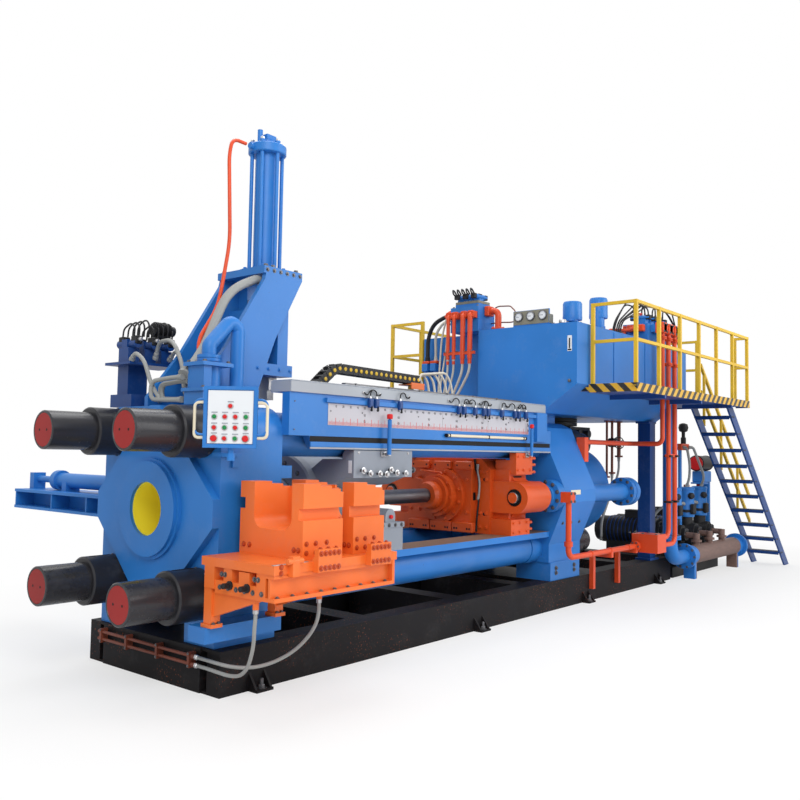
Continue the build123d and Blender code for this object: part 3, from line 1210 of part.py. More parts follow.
def railing(gate):
    """Square-tube railing along one side, the front end and half of the rear end of the deck."""
    size = RAIL_SIZE
    edge = TOE_THICKNESS + size / 2 + 2
    y = -DECK_HALF_Y + edge
    y_in = -TANK_HALF_Y - 45
    x_front = DECK_FRONT + edge
    x_end = DECK_BACK - edge
    z0 = DECK_BOTTOM + DECK_LIFT + DECK_THICKNESS
    body = square_bar_z(x_front, y_in, z0, RAIL_TOP, size)
    for step in range(RAIL_BAYS + 1):
        x = x_front + (x_end - x_front) * step / RAIL_BAYS
        body += square_bar_z(x, y, z0, RAIL_TOP, size)
    spans = [(y, -2)]
    if gate:
        gate_near = STAIR_NEAR_Y - STAIR_OPENING
        gate_far = STAIR_FAR_Y + STAIR_OPENING
        spans = [(y, gate_near), (gate_far, -2)]
        body += square_bar_z(x_end, gate_near, z0, RAIL_TOP, size)
        body += square_bar_z(x_end, gate_far, z0, RAIL_TOP, size)
    body += square_bar_z(x_end, 0.45 * y_in, z0, RAIL_TOP, size)
    for z in (RAIL_TOP - size / 2, RAIL_MID):
        body += square_bar_x(x_front, x_end, y, z, size - 4)
        body += square_bar_y(x_front, y, y_in, z, size - 4)
        for y0, y1 in spans:
            body += square_bar_y(x_end, y0, y1, z, size - 4)
    return body


def stair_slope():
    """Rise of the stairs for each millimetre of run."""
    return DECK_BOTTOM / (STAIR_FOOT_X - STAIR_TOP_X)


def stair_z(x):
    """Height of the stringers' lower edge over the floor."""
    return (STAIR_FOOT_X - x) * stair_slope()


def stairs():
    """Stairs: two stringers with flat treads between them."""
    slope = stair_slope()
    top_z = DECK_BOTTOM + DECK_LIFT - SEAT_GAP
    reach = STRINGER_DEPTH * (1 + slope ** 2) ** 0.5 / slope
    outline = [
        (STAIR_FOOT_X, 0), (STAIR_FOOT_X + reach, 0),
        (STAIR_FOOT_X + reach - top_z / slope, top_z), (STAIR_FOOT_X - top_z / slope, top_z),
    ]
    body = prism_y(outline, STAIR_NEAR_Y - STRINGER_THICKNESS, STAIR_NEAR_Y)
    body += prism_y(outline, STAIR_FAR_Y, STAIR_FAR_Y + STRINGER_THICKNESS)
    rise = DECK_BOTTOM / (TREAD_COUNT + 0.5)
    for step in range(1, TREAD_COUNT + 1):
        z = step * rise
        z_under = z - TREAD_THICKNESS
        x = STAIR_FOOT_X - z / slope
        body += block(x, x + TREAD_DEPTH, STAIR_NEAR_Y - FUSE, STAIR_FAR_Y + FUSE, z_under, z)
        body += block(x, x + 12, STAIR_NEAR_Y - FUSE, STAIR_FAR_Y + FUSE, z_under - 25, z_under + FUSE)
    return body


def stair_handrail():
    """Handrail on the far stringer: three posts, a sloping top rail and a knee rail."""
    slope = stair_slope()
    y = STAIR_FAR_Y + STRINGER_THICKNESS / 2
    over = STRINGER_DEPTH * (1 + slope ** 2) ** 0.5
    run = STAIR_FOOT_X - STAIR_TOP_X
    size = RAIL_SIZE
    body = None
    for place in (0.19, 0.46, 0.74):
        x = STAIR_TOP_X + place * run
        foot = stair_z(x) + over + (size - 6) * slope / 2 + SEAT_GAP
        post = square_bar_z(x, y, foot, stair_z(x) + HANDRAIL_HEIGHT, size - 6)
        body = post if body is None else body + post
    for height in (HANDRAIL_HEIGHT, 0.6 * HANDRAIL_HEIGHT):
        x0 = STAIR_TOP_X + 0.14 * run
        x1 = STAIR_TOP_X + 0.96 * run
        outline = [
            (x0, stair_z(x0) + height - size * 0.7), (x0, stair_z(x0) + height + size * 0.7),
            (x1, stair_z(x1) + height + size * 0.7), (x1, stair_z(x1) + height - size * 0.7),
        ]
        body += prism_y(outline, y - size / 2, y + size / 2)
    return body


def tank_legs():
    """Square columns under the rear of the tank, one on each side, with foot and head plates."""
    half = COLUMN_SIZE / 2
    x = COLUMN_X
    y = -COLUMN_Y
    z0 = BASE_HEIGHT
    z1 = TANK_KEEL_BOTTOM - SEAT_GAP
    column = block(x - half, x + half, y - half, y + half, z0, z1)
    column += block(x - half - 60, x + half + 60, y - half - 30, y + half + 20, z0, z0 + 30)
    column += block(x - half - 40, x + half + 40, y - half, y + half + 20, z1 - 30, z1)
    return solids(column, mirrored(column))


def suction_y():
    """Y of the suction pipe, under the sloping side of the tank."""
    return -(TANK_KEEL_Y + TANK_HALF_Y) / 2 - 50


def pump_places():
    """X of the three pumps behind the base."""
    return [BASE_LENGTH + PUMP_START + PUMP_PITCH * k for k in range(PUMP_COUNT)]


def suction_line():
    """Suction pipe from the tank down to the header beside the pumps, with its branches and feet."""
    y = suction_y()
    z = HEADER_Z
    x = SUCTION_X
    radius = SUCTION_RADIUS
    flange = radius + SUCTION_FLANGE
    slope = (TANK_SIDE_BOTTOM - TANK_KEEL_BOTTOM) / (TANK_HALF_Y - TANK_KEEL_Y)
    half = radius + 20
    low = TANK_KEEL_BOTTOM + (-TANK_KEEL_Y - y - half) * slope - SEAT_GAP
    high = low + 2 * half * slope
    joint_z = HEADER_Z + 340
    section = [(y - half, joint_z), (y + half, joint_z), (y + half, low), (y - half, high)]
    room = prism_x(section, x - half, x + half)
    body = room & bar_z(x, y, joint_z - 5, high, radius)
    body += bar_z(x, y, joint_z + 4, joint_z + 30, flange)
    body += bar_z(x, y, joint_z - 30, joint_z - 4, flange)
    body += bar_z(x, y, joint_z - 5, joint_z + 5, radius + 10)
    x_header = BASE_LENGTH + 100
    body += tube([(x, y, joint_z), (x, y, z), (x_header, y, z)], [0.75 * (joint_z - z)], radius)
    body += bar_x(x_header - 30, x_header + 30, y, z, HEADER_RADIUS + 50)
    places = pump_places()
    x_end = places[-1] + 700
    body += bar_x(x_header + 29, x_end, y, z, HEADER_RADIUS)
    body += bar_x(x_end - FUSE, x_end + 60, y, z, HEADER_RADIUS + 60)
    for x_branch in places:
        body += bar_z(x_branch, y, z + 0.6 * HEADER_RADIUS, PUMP_Z + 30, 55)
        body += bar_y(x_branch, y, PUMP_FRONT_Y - SEAT_GAP, PUMP_Z - 10, 48)
        body += bar_z(x_branch, y, z + HEADER_RADIUS + 40, z + HEADER_RADIUS + 75, 85)
    for x_foot in (x_header + 200, x_end - 200):
        body += block(x_foot, x_foot + 100, y - 90, y + 90, 0, z - 0.6 * HEADER_RADIUS)
    return body


def pump_skid():
    """Skid of the pumps: two long rails, cross members and a top plate."""
    places = pump_places()
    x0 = places[0] - 450
    x1 = places[-1] + 450
    y0 = PUMP_FRONT_Y + 60
    y1 = PUMP_FRONT_Y + PUMP_SKID_WIDTH
    top = PUMP_SKID_HEIGHT
    skid = block(x0, x1, y0, y0 + 80, 0, top - 20)
    skid += block(x0, x1, y1 - 80, y1, 0, top - 20)
    for place in (0, 0.5, 1):
        x = x0 + place * (x1 - x0 - 80)
        skid += block(x, x + 80, y0, y1, 0, top - 20)
    return skid + block(x0, x1, y0, y1, top - 21, top)


def pump_sets():
    """Three pumps, each with its foot, coupling housing, valve head and motor."""
    sets = []
    floor = PUMP_SKID_HEIGHT + SEAT_GAP
    z = PUMP_Z
    y0 = PUMP_FRONT_Y
    y_body = y0 + PUMP_NOSE
    y_coupling = y0 + PUMP_BODY
    y_motor = y_coupling + PUMP_COUPLING
    y_cowl = y_motor + MOTOR_LENGTH
    y_head = (y0 + y_coupling) / 2 + 20
    z_flange = z + 0.6 * PUMP_HEAD
    for x in pump_places():
        pump = bar_y(x, y0, y_body, z, 0.7 * PUMP_RADIUS)
        pump += bar_y(x, y_body - FUSE, y_coupling, z, PUMP_RADIUS)
        pump += bar_y(x, y_coupling - FUSE, y_motor, z, PUMP_RADIUS + 40)
        pump += block(x - 110, x + 110, y_body + 50, y_coupling - 20, floor, z)
        pump += bar_z(x, y_head, z, z_flange, 0.7 * PUMP_RADIUS)
        pump += bar_z(x, y_head, z_flange - FUSE, z_flange + 45, 0.9 * PUMP_RADIUS)
        pump += block(x - 90, x + 90, y_head - 90, y_head + 90, z_flange + 44, z + PUMP_HEAD)
        pump += bar_y(x, y_motor - FUSE, y_cowl, z, MOTOR_RADIUS)
        pump += bar_y(x, y_cowl - FUSE, y_cowl + MOTOR_COWL, z, MOTOR_RADIUS - 25)
        pump += block(x - 190, x + 190, y_motor + 130, y_cowl - 80, floor, floor + 40)
        pump += block(x - 150, x + 150, y_motor + 170, y_cowl - 120, floor + 39, z)
        pump += block(x - 90, x + 90, y_motor + 330, y_motor + 590, z, z + MOTOR_RADIUS + 90)
        sets.append(pump)
    return solids(*sets)


def supply_pipes():
    """Supply pipes from the near side cylinder's gland down and along the base to the low manifold."""
    y = supply_y()
    x0 = (SIDE_GLAND_FRONT + SIDE_GLAND_NECK + REAR_FRONT) / 2
    x1 = LOW_MANIFOLD_BACK - LOW_MANIFOLD_LENGTH - SEAT_GAP
    z = SUPPLY_Z
    y_gland = -SIDE_CYLINDER_Y - SIDE_FLANGE_RADIUS - SEAT_GAP
    body = block(x0 - 60, x0 + 60, y - 60, y_gland, AXIS_Z - 70, AXIS_Z + 60)
    body += tube([(x0, y, AXIS_Z - 60), (x0, y, z), (x1 - 60, y, z)], [110], SUPPLY_RADIUS)
    body += bar_x(x1 - 110, x1 - 60, y, z, 2 * SUPPLY_RADIUS)
    body += bar_x(x1 - 61, x1, y, z, 1.5 * SUPPLY_RADIUS)
    body += bar_z(x0, y, z + 140, z + 200, 1.5 * SUPPLY_RADIUS)
    y_base = -BASE_HALF_WIDTH - SEAT_GAP
    for place in (0.55, 0.93):
        x = x0 + place * (x1 - x0)
        body += block(x, x + 60, y - 40, y_base, z - 90, z - 50)
        body += block(x, x + 60, y_base - 60, y_base, 0.45 * BASE_HEIGHT, z - 50)
        body += block(x, x + 60, y - 40, y + 40, z - 60, z)
    return body


def changer_frame():
    """Fixed frame of the die changer: near rail, cross members, guide blocks, feet and hose glands."""
    top = PLATE_BOTTOM - SEAT_GAP
    low = top - CHANGER_DEPTH
    outer = CHANGER_NEAR_Y
    back = outer + CHANGER_RAIL_WIDTH
    web = outer + 50
    lip = CHANGER_FLANGE
    section = [
        (outer, low), (back, low), (back, low + lip), (web + 20, low + lip), (web + 20, top - lip),
        (back, top - lip), (back, top), (outer + 10, top), (outer + 10, top - lip), (web, top - lip),
        (web, low + lip), (outer, low + lip),
    ]
    body = prism_x(section, PLATE_FRONT + 10, PLATE_BACK - 50)
    body += block(PLATE_BACK - 51, PLATE_BACK - 20, outer + 5, back, low, top)
    inner = -SLAB_Y_OUT - 70
    body += block(PLATE_FRONT, SLAB_BACK + 40, inner, inner + 120, low + lip, top)
    z_foot = SLAB_TOP + SEAT_GAP
    for x in cross_member_places():
        body += block(x, x + CROSS_MEMBER, outer + 100, inner + FUSE, low, low + 100)
        gusset = [(back - FUSE, low + FUSE), (inner + 120, low + FUSE), (inner + 120, low - 220)]
        body += prism_x(gusset, x + 20, x + 70)
        body += block(x, x + CROSS_MEMBER, inner + 40, inner + 130, z_foot, low + 100)
        body += block(x - 10, x + CROSS_MEMBER + 10, inner + 20, inner + 150, z_foot, SLAB_TOP + 30)
        body += bar_z(x + CROSS_MEMBER / 2, HOSE_GLAND_Y, HOSE_GLAND_Z, low + FUSE, HOSE_GLAND_RADIUS)
    mid = (outer + inner) / 2
    for y in (mid - 190, mid + 190):
        body += block(PLATE_FRONT + 10, PLATE_FRONT + 120, y - 50, y + 50, low + 99, top)
    body += bar_x(PLATE_FRONT + 20, SLAB_BACK + 140, mid, low + 130, 42)
    body += block(PLATE_FRONT + 10, PLATE_FRONT + 60, mid - 60, mid + 60, low + 40, low + 190)
    return body


def changer_slab():
    """Slab on the side of the front platen that carries the die changer."""
    y_in = -PLATEN_SIDE + FOOT_INSET - SEAT_GAP
    return block(SLAB_FRONT, SLAB_BACK, -SLAB_Y_OUT, y_in, SLAB_BOTTOM, SLAB_TOP)


def carriage_plate():
    """Sliding plate of the die changer with a bolted keeper beside each cradle and a pin bracket."""
    near = CHANGER_NEAR_Y
    body = block(PLATE_FRONT, PLATE_BACK, near, CHANGER_FAR_Y, PLATE_BOTTOM, PLATE_TOP)
    out = near - KEEPER_REACH
    section = [
        (out, PLATE_BOTTOM - 10), (out, PLATE_TOP + 95), (out + 45, PLATE_TOP + 95),
        (out + 45, PLATE_TOP + 30), (near + FUSE, PLATE_TOP + 30), (near + FUSE, PLATE_BOTTOM - 10),
    ]
    for x in (CRADLE_FRONT_X + 20, CRADLE_REAR_X + 50):
        body += prism_x(section, x, x + KEEPER_LENGTH)
    x = PLATE_FRONT + 140
    body += block(x, x + 70, out + 10, near + FUSE, PLATE_BOTTOM - 20, PLATE_TOP + 60)
    body += bar_x(x - 40, x + 110, out + 30, PLATE_TOP + 25, 22)
    return body


def die_bridge():
    """Two bars behind the front platen that carry a die cradle in the die space."""
    z0 = PLATE_BOTTOM
    y0 = CHANGER_FAR_Y + 10
    x1 = CRADLE_REAR_X + CRADLE_LENGTH - CRADLE_SHORT
    bars = block(PLATEN_REAR + SEAT_GAP, CRADLE_REAR_X + 60, y0, DIE_BRIDGE_BACK, z0, PLATE_TOP)
    bars += block(x1 - 60, x1, y0, DIE_BRIDGE_BACK, z0, PLATE_TOP)
    for place in (0.39, 0.7, 0.96):
        y = y0 + place * (DIE_BRIDGE_BACK - y0 - 60)
        bars += block(CRADLE_REAR_X + 59, x1 - 59, y, y + 60, z0, PLATE_TOP - 20)
    return bars


def cradle(x0, length):
    """Die cradle: U-shaped channel with stepped arms, rounded lower corners and a rear lip."""
    y_far = CHANGER_FAR_Y - 5
    y_in_far = y_far - FAR_ARM
    y_in_near = y_in_far - 2 * CHANNEL_HALF
    y_near = y_in_near - NEAR_ARM
    z0 = PLATE_TOP + SEAT_GAP
    top = CRADLE_TOP
    x1 = x0 + length
    outline = [(x0, z0), (x1, z0)]
    for place, drop in ((1.0, 70), (0.93, 70), (0.93, 45), (0.7, 45), (0.7, 22), (0.42, 22), (0.42, 0)):
        outline.append((x0 + place * length, top - drop))
    outline.append((x0, top))
    body = prism_y(outline, y_near, y_far)
    depth = top - CHANNEL_BOTTOM
    middle = Vector(x0 - 5, (y_in_near + y_in_far) / 2, CHANNEL_BOTTOM + depth / 2 + 100)
    room = Plane(middle, x_dir=(0, 1, 0), z_dir=(1, 0, 0))
    channel = room * RectangleRounded(2 * CHANNEL_HALF, depth + 200, CHANNEL_CORNER)
    body -= extrude(channel, amount=length - CRADLE_LIP + 5, dir=(1, 0, 0))
    lip = room * RectangleRounded(2 * CHANNEL_HALF - 70, depth + 130, CHANNEL_CORNER)
    body -= extrude(lip, amount=length + 10, dir=(1, 0, 0))
    notch_z = CHANNEL_BOTTOM + 0.4 * depth
    body -= block(x0 - 5, x1 + 5, y_far - 60, y_far + 5, notch_z, notch_z + 90)
    body -= block(x0 - 5, x1 + 5, y_near - 5, y_near + 50, notch_z - 60, notch_z + 30)
    return body


def panel_pivot():
    """Place of the panel's swivel, behind the middle of its face."""
    return Pos(PANEL_X, PANEL_Y, 0) * Rot(0, 0, -PANEL_TURN) * Pos(0, PANEL_PIVOT_DEPTH, 0)


def control_arm():
    """Arm from the side of the front platen to the swivel of the control panel."""
    z = PANEL_Z - PANEL_HEIGHT / 2 - 40
    y = -PLATEN_SIDE - SEAT_GAP
    pivot = panel_pivot().position
    x_foot = PLATEN_FRONT + 180
    body = block(x_foot, x_foot + 80, y - 20, y, z - 120, z + 40)
    body += block(pivot.X - 30, x_foot + 60, y - 60, y - 19, z - 30, z)
    body += block(pivot.X - 30, pivot.X + 30, pivot.Y, y - 59, z - 30, z)
    return body + bar_z(pivot.X, pivot.Y, z - 60, z, 32)


def control_panel():
    """Control panel with its frame, back box and two handles, turned towards the operator."""
    half = PANEL_WIDTH / 2
    body = block(-half, half, 0, 40, -PANEL_HEIGHT / 2, PANEL_HEIGHT / 2)
    body -= block(-half + 30, half - 30, -5, 12, -PANEL_HEIGHT / 2 + 30, PANEL_HEIGHT / 2 - 30)
    body += block(-half + 30, half - 30, 40, PANEL_DEPTH, -PANEL_HEIGHT / 2 + 40, PANEL_HEIGHT / 2 - 40)
    for side in (-1, 1):
        x0 = side * (half - 4)
        x1 = side * (half + 75)
        route = [(x0, 30, -140), (x1, 30, -140), (x1, 30, 140), (x0, 30, 140)]
        body += tube(route, [50, 50], 10)
    body += bar_z(0, PANEL_PIVOT_DEPTH, -PANEL_HEIGHT / 2 - 40 + SEAT_GAP, -PANEL_HEIGHT / 2 + 41, 26)
    return Pos(0, 0, PANEL_Z) * panel_pivot() * Pos(0, -PANEL_PIVOT_DEPTH, 0) * body


def all_nodes():
    """Every node of the press by name."""
    return {
        "base_beam_near": side_beam(),
        "base_beam_far": mirrored(side_beam()),
        "base_cross_beams": cross_beams(),
        "base_pipes": base_pipes(),
        "changer_hose_front": hose("changer_hose_front"),
        "changer_hose_rear": hose("changer_hose_rear"),
        "front_platen": front_platen(),
        "exit_liner": exit_liner(),
        "changer_slab": changer_slab(),
        "rear_platen": rear_platen(),
        "tie_rods": tie_rods(),
        "rod_nuts": rod_nuts(),
        "rod_sleeves": rod_sleeves(),
        "main_cylinder": main_cylinder(),
        "side_cylinder_near": side_cylinder(),
        "side_cylinder_far": mirrored(side_cylinder()),
        "upper_rails": solids(upper_guide_rail(), mirrored(upper_guide_rail())),
        "lower_rails": solids(lower_guide_rail(), mirrored(lower_guide_rail())),
        "scale_beam": scale_beam(),
        "shear_frame": shear_frame(),
        "shear_cylinder": shear_cylinder(),
        "platen_valve": platen_valve(),
        "valve_pipe": valve_pipe(),
        "far_valve_stand": far_valve_stand(),
        "die_push_cylinder": die_push_cylinder(),
        "oil_tank": oil_tank(),
        "tank_cover": tank_cover(),
        "tank_saddle": tank_saddle(),
        "prefill_valve": prefill_valve(),
        "tank_fittings": tank_fittings(),
        "front_manifold": front_manifold(),
        "front_manifold_pipes": front_manifold_pipes(),
        "side_manifold": side_manifold(),
        "side_drop_pipes": side_drop_pipes(),
        "deck_near": deck(),
        "deck_far": mirrored(deck()),
        "railing_near": railing(True),
        "railing_far": mirrored(railing(False)),
        "stairs": stairs(),
        "stair_handrail": stair_handrail(),
        "tank_legs": tank_legs(),
        "suction_line": suction_line(),
        "pump_skid": pump_skid(),
        "pump_sets": pump_sets(),
        "supply_pipes": supply_pipes(),
        "changer_frame": changer_frame(),
        "die_bridge": die_bridge(),
        "control_arm": control_arm(),
        "control_panel": control_panel(),
        "crosshead": crosshead(),
        "stem_holder": stem_holder(),
        "extrusion_stem": extrusion_stem(),
        "main_ram": main_ram(),
        "side_rods": solids(side_rod(), mirrored(side_rod())),
        "container_housing": container_housing(),
        "container_liner": container_liner(),
        "shear_slide": shear_slide(),
        "carriage_plate": carriage_plate(),
        "cradle_front": cradle(CRADLE_FRONT_X, CRADLE_LENGTH),
        "cradle_rear": cradle(CRADLE_REAR_X, CRADLE_LENGTH - CRADLE_SHORT),
    }


os.makedirs("parts", exist_ok=True)
for node_name, shape in all_nodes().items():
    export_step(shape, os.path.join("parts", node_name + ".step"))
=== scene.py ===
"""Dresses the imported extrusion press: paints, bright metal, bolts, scale, panel, stripes and hoses."""

import logging
import math
from dataclasses import dataclass, field
from enum import Enum
from typing import Iterable, Sequence

import bpy
import numpy as np
from mathutils import Matrix, Vector


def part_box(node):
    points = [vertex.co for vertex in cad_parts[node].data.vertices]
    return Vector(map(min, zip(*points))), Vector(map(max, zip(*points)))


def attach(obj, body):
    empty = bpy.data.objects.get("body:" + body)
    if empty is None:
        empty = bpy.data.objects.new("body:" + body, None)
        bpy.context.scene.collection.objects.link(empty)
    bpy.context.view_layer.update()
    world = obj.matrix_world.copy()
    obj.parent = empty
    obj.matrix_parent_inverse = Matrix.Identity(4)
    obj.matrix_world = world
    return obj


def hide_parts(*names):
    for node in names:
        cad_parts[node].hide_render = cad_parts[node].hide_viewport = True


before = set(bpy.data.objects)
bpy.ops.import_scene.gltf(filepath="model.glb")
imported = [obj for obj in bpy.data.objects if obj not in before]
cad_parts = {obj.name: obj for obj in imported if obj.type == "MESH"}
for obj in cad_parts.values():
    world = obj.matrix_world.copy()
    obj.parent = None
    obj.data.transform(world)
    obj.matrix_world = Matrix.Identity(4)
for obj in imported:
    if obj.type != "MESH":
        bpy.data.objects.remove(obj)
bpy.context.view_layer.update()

LOG = logging.getLogger("extrusion_press")
PRESS, CONTAINER, CROSSHEAD = "press_frame", "container", "crosshead"
CARRIAGE, CASSETTE = "die_carriage", "die_cassette"
UP, DOWN = (0, 0, 1), (0, 0, -1)
TO_FRONT, TO_REAR = (-1, 0, 0), (1, 0, 0)
TO_NEAR, TO_FAR = (0, -1, 0), (0, 1, 0)
SIDES = (-1, 1)
AXIS_Z = 1.456
ROD_Y, ROD_RISE = 0.622, 0.670


# Shader maths

class Sock:
    """One output socket of a shader tree, with arithmetic that adds Math nodes."""

    def __init__(self, tree: bpy.types.ShaderNodeTree, socket: bpy.types.NodeSocket) -> None:
        """Keeps the tree and the socket."""
        self.tree = tree
        self.socket = socket

    def math(self, operation: str, *others: "Sock | float", clamp: bool = False) -> "Sock":
        """Adds one Math node.

        Args:
            operation: The Math node's operation.
            others: The other operands, sockets or numbers.
            clamp: Whether the result is held between 0 and 1.

        Returns:
            The node's result.
        """
        node = self.tree.nodes.new("ShaderNodeMath")
        node.operation = operation
        node.use_clamp = clamp
        for index, value in enumerate((self, *others)):
            if isinstance(value, Sock):
                self.tree.links.new(value.socket, node.inputs[index])
            else:
                node.inputs[index].default_value = value
        return Sock(self.tree, node.outputs[0])

    def __add__(self, other: "Sock | float") -> "Sock":
        """Sum."""
        return self.math("ADD", other)

    def __sub__(self, other: "Sock | float") -> "Sock":
        """Difference."""
        return self.math("SUBTRACT", other)

    def __mul__(self, other: "Sock | float") -> "Sock":
        """Product."""
        return self.math("MULTIPLY", other)

    def __truediv__(self, other: "Sock | float") -> "Sock":
        """Quotient."""
        return self.math("DIVIDE", other)

    def __gt__(self, other: "Sock | float") -> "Sock":
        """1 where this is greater."""
        return self.math("GREATER_THAN", other)

    def __lt__(self, other: "Sock | float") -> "Sock":
        """1 where this is less."""
        return self.math("LESS_THAN", other)

    def ramp(self, low: float, high: float) -> "Sock":
        """Straight ramp from 0 at low to 1 at high, held between 0 and 1."""
        scale = 1.0 / (high - low)
        return self.math("MULTIPLY_ADD", scale, -low * scale, clamp=True)

    def wrap(self) -> "Sock":
        """Fraction above the whole number below."""
        return self.math("FRACT")

    def absolute(self) -> "Sock":
        """Size without sign."""
        return self.math("ABSOLUTE")


class Shade:
    """One material's node tree, with a method that adds any node."""

    def __init__(self, name: str) -> None:
        """Starts a material of one Principled shader."""
        self.material = bpy.data.materials.new(name)
        self.material.use_nodes = True
        self.tree = self.material.node_tree
        self.shader = next(n for n in self.tree.nodes if n.type == "BSDF_PRINCIPLED")

    def node(self, kind: str, settings: dict | None = None, inputs: dict | None = None,
             output: int | str = 0) -> Sock:
        """Adds one node.

        Args:
            kind: The node's type.
            settings: Properties set first, by name.
            inputs: Values or sockets by input name or index.
            output: Which output is returned.

        Returns:
            The chosen output.
        """
        made = self.tree.nodes.new(kind)
        for key, value in (settings or {}).items():
            setattr(made, key, value)
        for key, value in (inputs or {}).items():
            if isinstance(value, Sock):
                self.tree.links.new(value.socket, made.inputs[key])
            else:
                made.inputs[key].default_value = value
        return Sock(self.tree, made.outputs[output])

    def position(self) -> Sock:
        """Object coordinates, which are the part's own metres."""
        return self.node("ShaderNodeTexCoord", output="Object")

    def axes(self) -> tuple[Sock, Sock, Sock]:
        """The three object coordinates as numbers."""
        place = self.position()
        made = self.tree.nodes.new("ShaderNodeSeparateXYZ")
        self.tree.links.new(place.socket, made.inputs[0])
        return tuple(Sock(self.tree, out) for out in made.outputs)

    def noise(self, scale: float, detail: float = 2.0,
              stretch: tuple[float, float, float] | None = None) -> Sock:
        """Noise from 0 to 1.

        Args:
            scale: Waves for each metre.
            detail: Octaves.
            stretch: Factors on the coordinates, for streaks.

        Returns:
            The noise value.
        """
        place = self.position()
        if stretch:
            place = self.node("ShaderNodeVectorMath", {"operation": "MULTIPLY"}, {0: place, 1: stretch})
        return self.node("ShaderNodeTexNoise", None, {"Vector": place, "Scale": scale, "Detail": detail})

    def mix(self, factor: "Sock | float", first: "Sock | tuple", second: "Sock | tuple") -> Sock:
        """Colour between two colours."""
        made = self.tree.nodes.new("ShaderNodeMix")
        made.data_type = "RGBA"
        names = [s for s in made.inputs if s.enabled]
        for slot, value in zip(names, (factor, first, second)):
            if isinstance(value, Sock):
                self.tree.links.new(value.socket, slot)
            elif isinstance(value, (tuple, list)):
                slot.default_value = (*value[:3], 1.0)
            else:
                slot.default_value = value
        return Sock(self.tree, next(o for o in made.outputs if o.enabled))

    def feed(self, name: str, value: "Sock | float | tuple") -> None:
        """Sets or links one input of the shader."""
        slot = self.shader.inputs[name]
        if isinstance(value, Sock):
            self.tree.links.new(value.socket, slot)
        elif isinstance(value, (tuple, list)):
            slot.default_value = (*value[:3], 1.0)
        else:
            slot.default_value = value

    def bump(self, height: Sock, strength: float, distance: float) -> None:
        """Feeds a height to the shader's normal."""
        made = self.node("ShaderNodeBump", None,
                         {"Strength": strength, "Distance": distance, "Height": height})
        self.feed("Normal", made)


def srgb(red: float, green: float, blue: float) -> tuple[float, float, float]:
    """Linear colour from screen values of 0 to 255."""
    values = np.array([red, green, blue]) / 255.0
    linear = np.where(values <= 0.04045, values / 12.92, ((values + 0.055) / 1.055) ** 2.4)
    return tuple(float(v) for v in linear)


def darker(colour: Sequence[float], factor: float) -> tuple[float, float, float]:
    """A colour with its light scaled."""
    return tuple(min(1.0, c * factor) for c in colour)


WORN = (0.2, 0.2, 0.18)
DUST = 0.42


class Finish:
    """A look whose material is built at its first use and shared afterwards."""

    name: str

    def material(self) -> bpy.types.Material:
        """The finish's material."""
        known = bpy.data.materials.get(self.name)
        if known:
            return known
        shade = Shade(self.name)
        self.dress(shade)
        return shade.material

    def dress(self, shade: Shade) -> None:
        """Sets up the shader of a new material."""
        raise NotImplementedError


@dataclass(frozen=True)
class Paint(Finish):
    """Sprayed machine paint: slight mottling, dust that dulls it and small chips at random spots."""

    name: str
    colour: tuple[float, float, float]
    roughness: float = 0.38
    mottle: float = 0.10
    dust: float = 0.12
    chips: float = 0.62
    under: tuple[float, float, float] = (0.05, 0.045, 0.04)
    specular: float = 0.30

    def dress(self, shade: Shade) -> None:
        """Sets up mottled colour, dust, chips and a fine orange peel."""
        broad = shade.noise(1.1, 3.0)
        fine = shade.noise(26.0, 4.0)
        tone = shade.mix(broad.ramp(0.3, 0.7), darker(self.colour, 1.0 - self.mottle),
                         darker(self.colour, 1.0 + self.mottle))
        dusty = (shade.noise(3.3, 6.0) * 0.7 + fine * 0.3).ramp(0.52, 0.78)
        pale = tuple(0.75 * c + 0.25 * DUST for c in self.colour)
        tone = shade.mix(dusty * self.dust * 3.0, tone, pale)
        spots = shade.noise(48.0, 2.0).ramp(self.chips + 0.13, self.chips + 0.145)
        zone = shade.noise(1.7, 2.0).ramp(0.5, 0.62)
        chip = spots * zone
        shade.feed("Base Color", shade.mix(chip, tone, self.under))
        shade.feed("Roughness", dusty * 0.18 + self.roughness + fine * 0.05)
        shade.feed("Specular IOR Level", self.specular)
        shade.feed("Coat Weight", 0.08)
        shade.feed("Coat Roughness", 0.25)
        shade.bump(shade.noise(190.0, 2.0) * 0.3 + broad, 0.12, 0.002)


@dataclass(frozen=True)
class Metal(Finish):
    """Turned or ground steel with fine lines along one axis and faint stains."""

    name: str
    colour: tuple[float, float, float]
    roughness: float = 0.3
    stretch: tuple[float, float, float] = (90.0, 4.0, 4.0)
    metallic: float = 1.0

    def dress(self, shade: Shade) -> None:
        """Sets up the fine lines and the stains."""
        lines = shade.noise(3.0, 3.0, self.stretch)
        stain = shade.noise(2.6, 4.0).ramp(0.42, 0.72)
        tone = shade.mix(lines, darker(self.colour, 0.82), darker(self.colour, 1.12))
        shade.feed("Base Color", shade.mix(stain * 0.4, tone, darker(self.colour, 0.55)))
        shade.feed("Metallic", self.metallic)
        shade.feed("Roughness", stain * 0.15 + lines * 0.12 + self.roughness)
        shade.bump(lines, 0.08, 0.001)


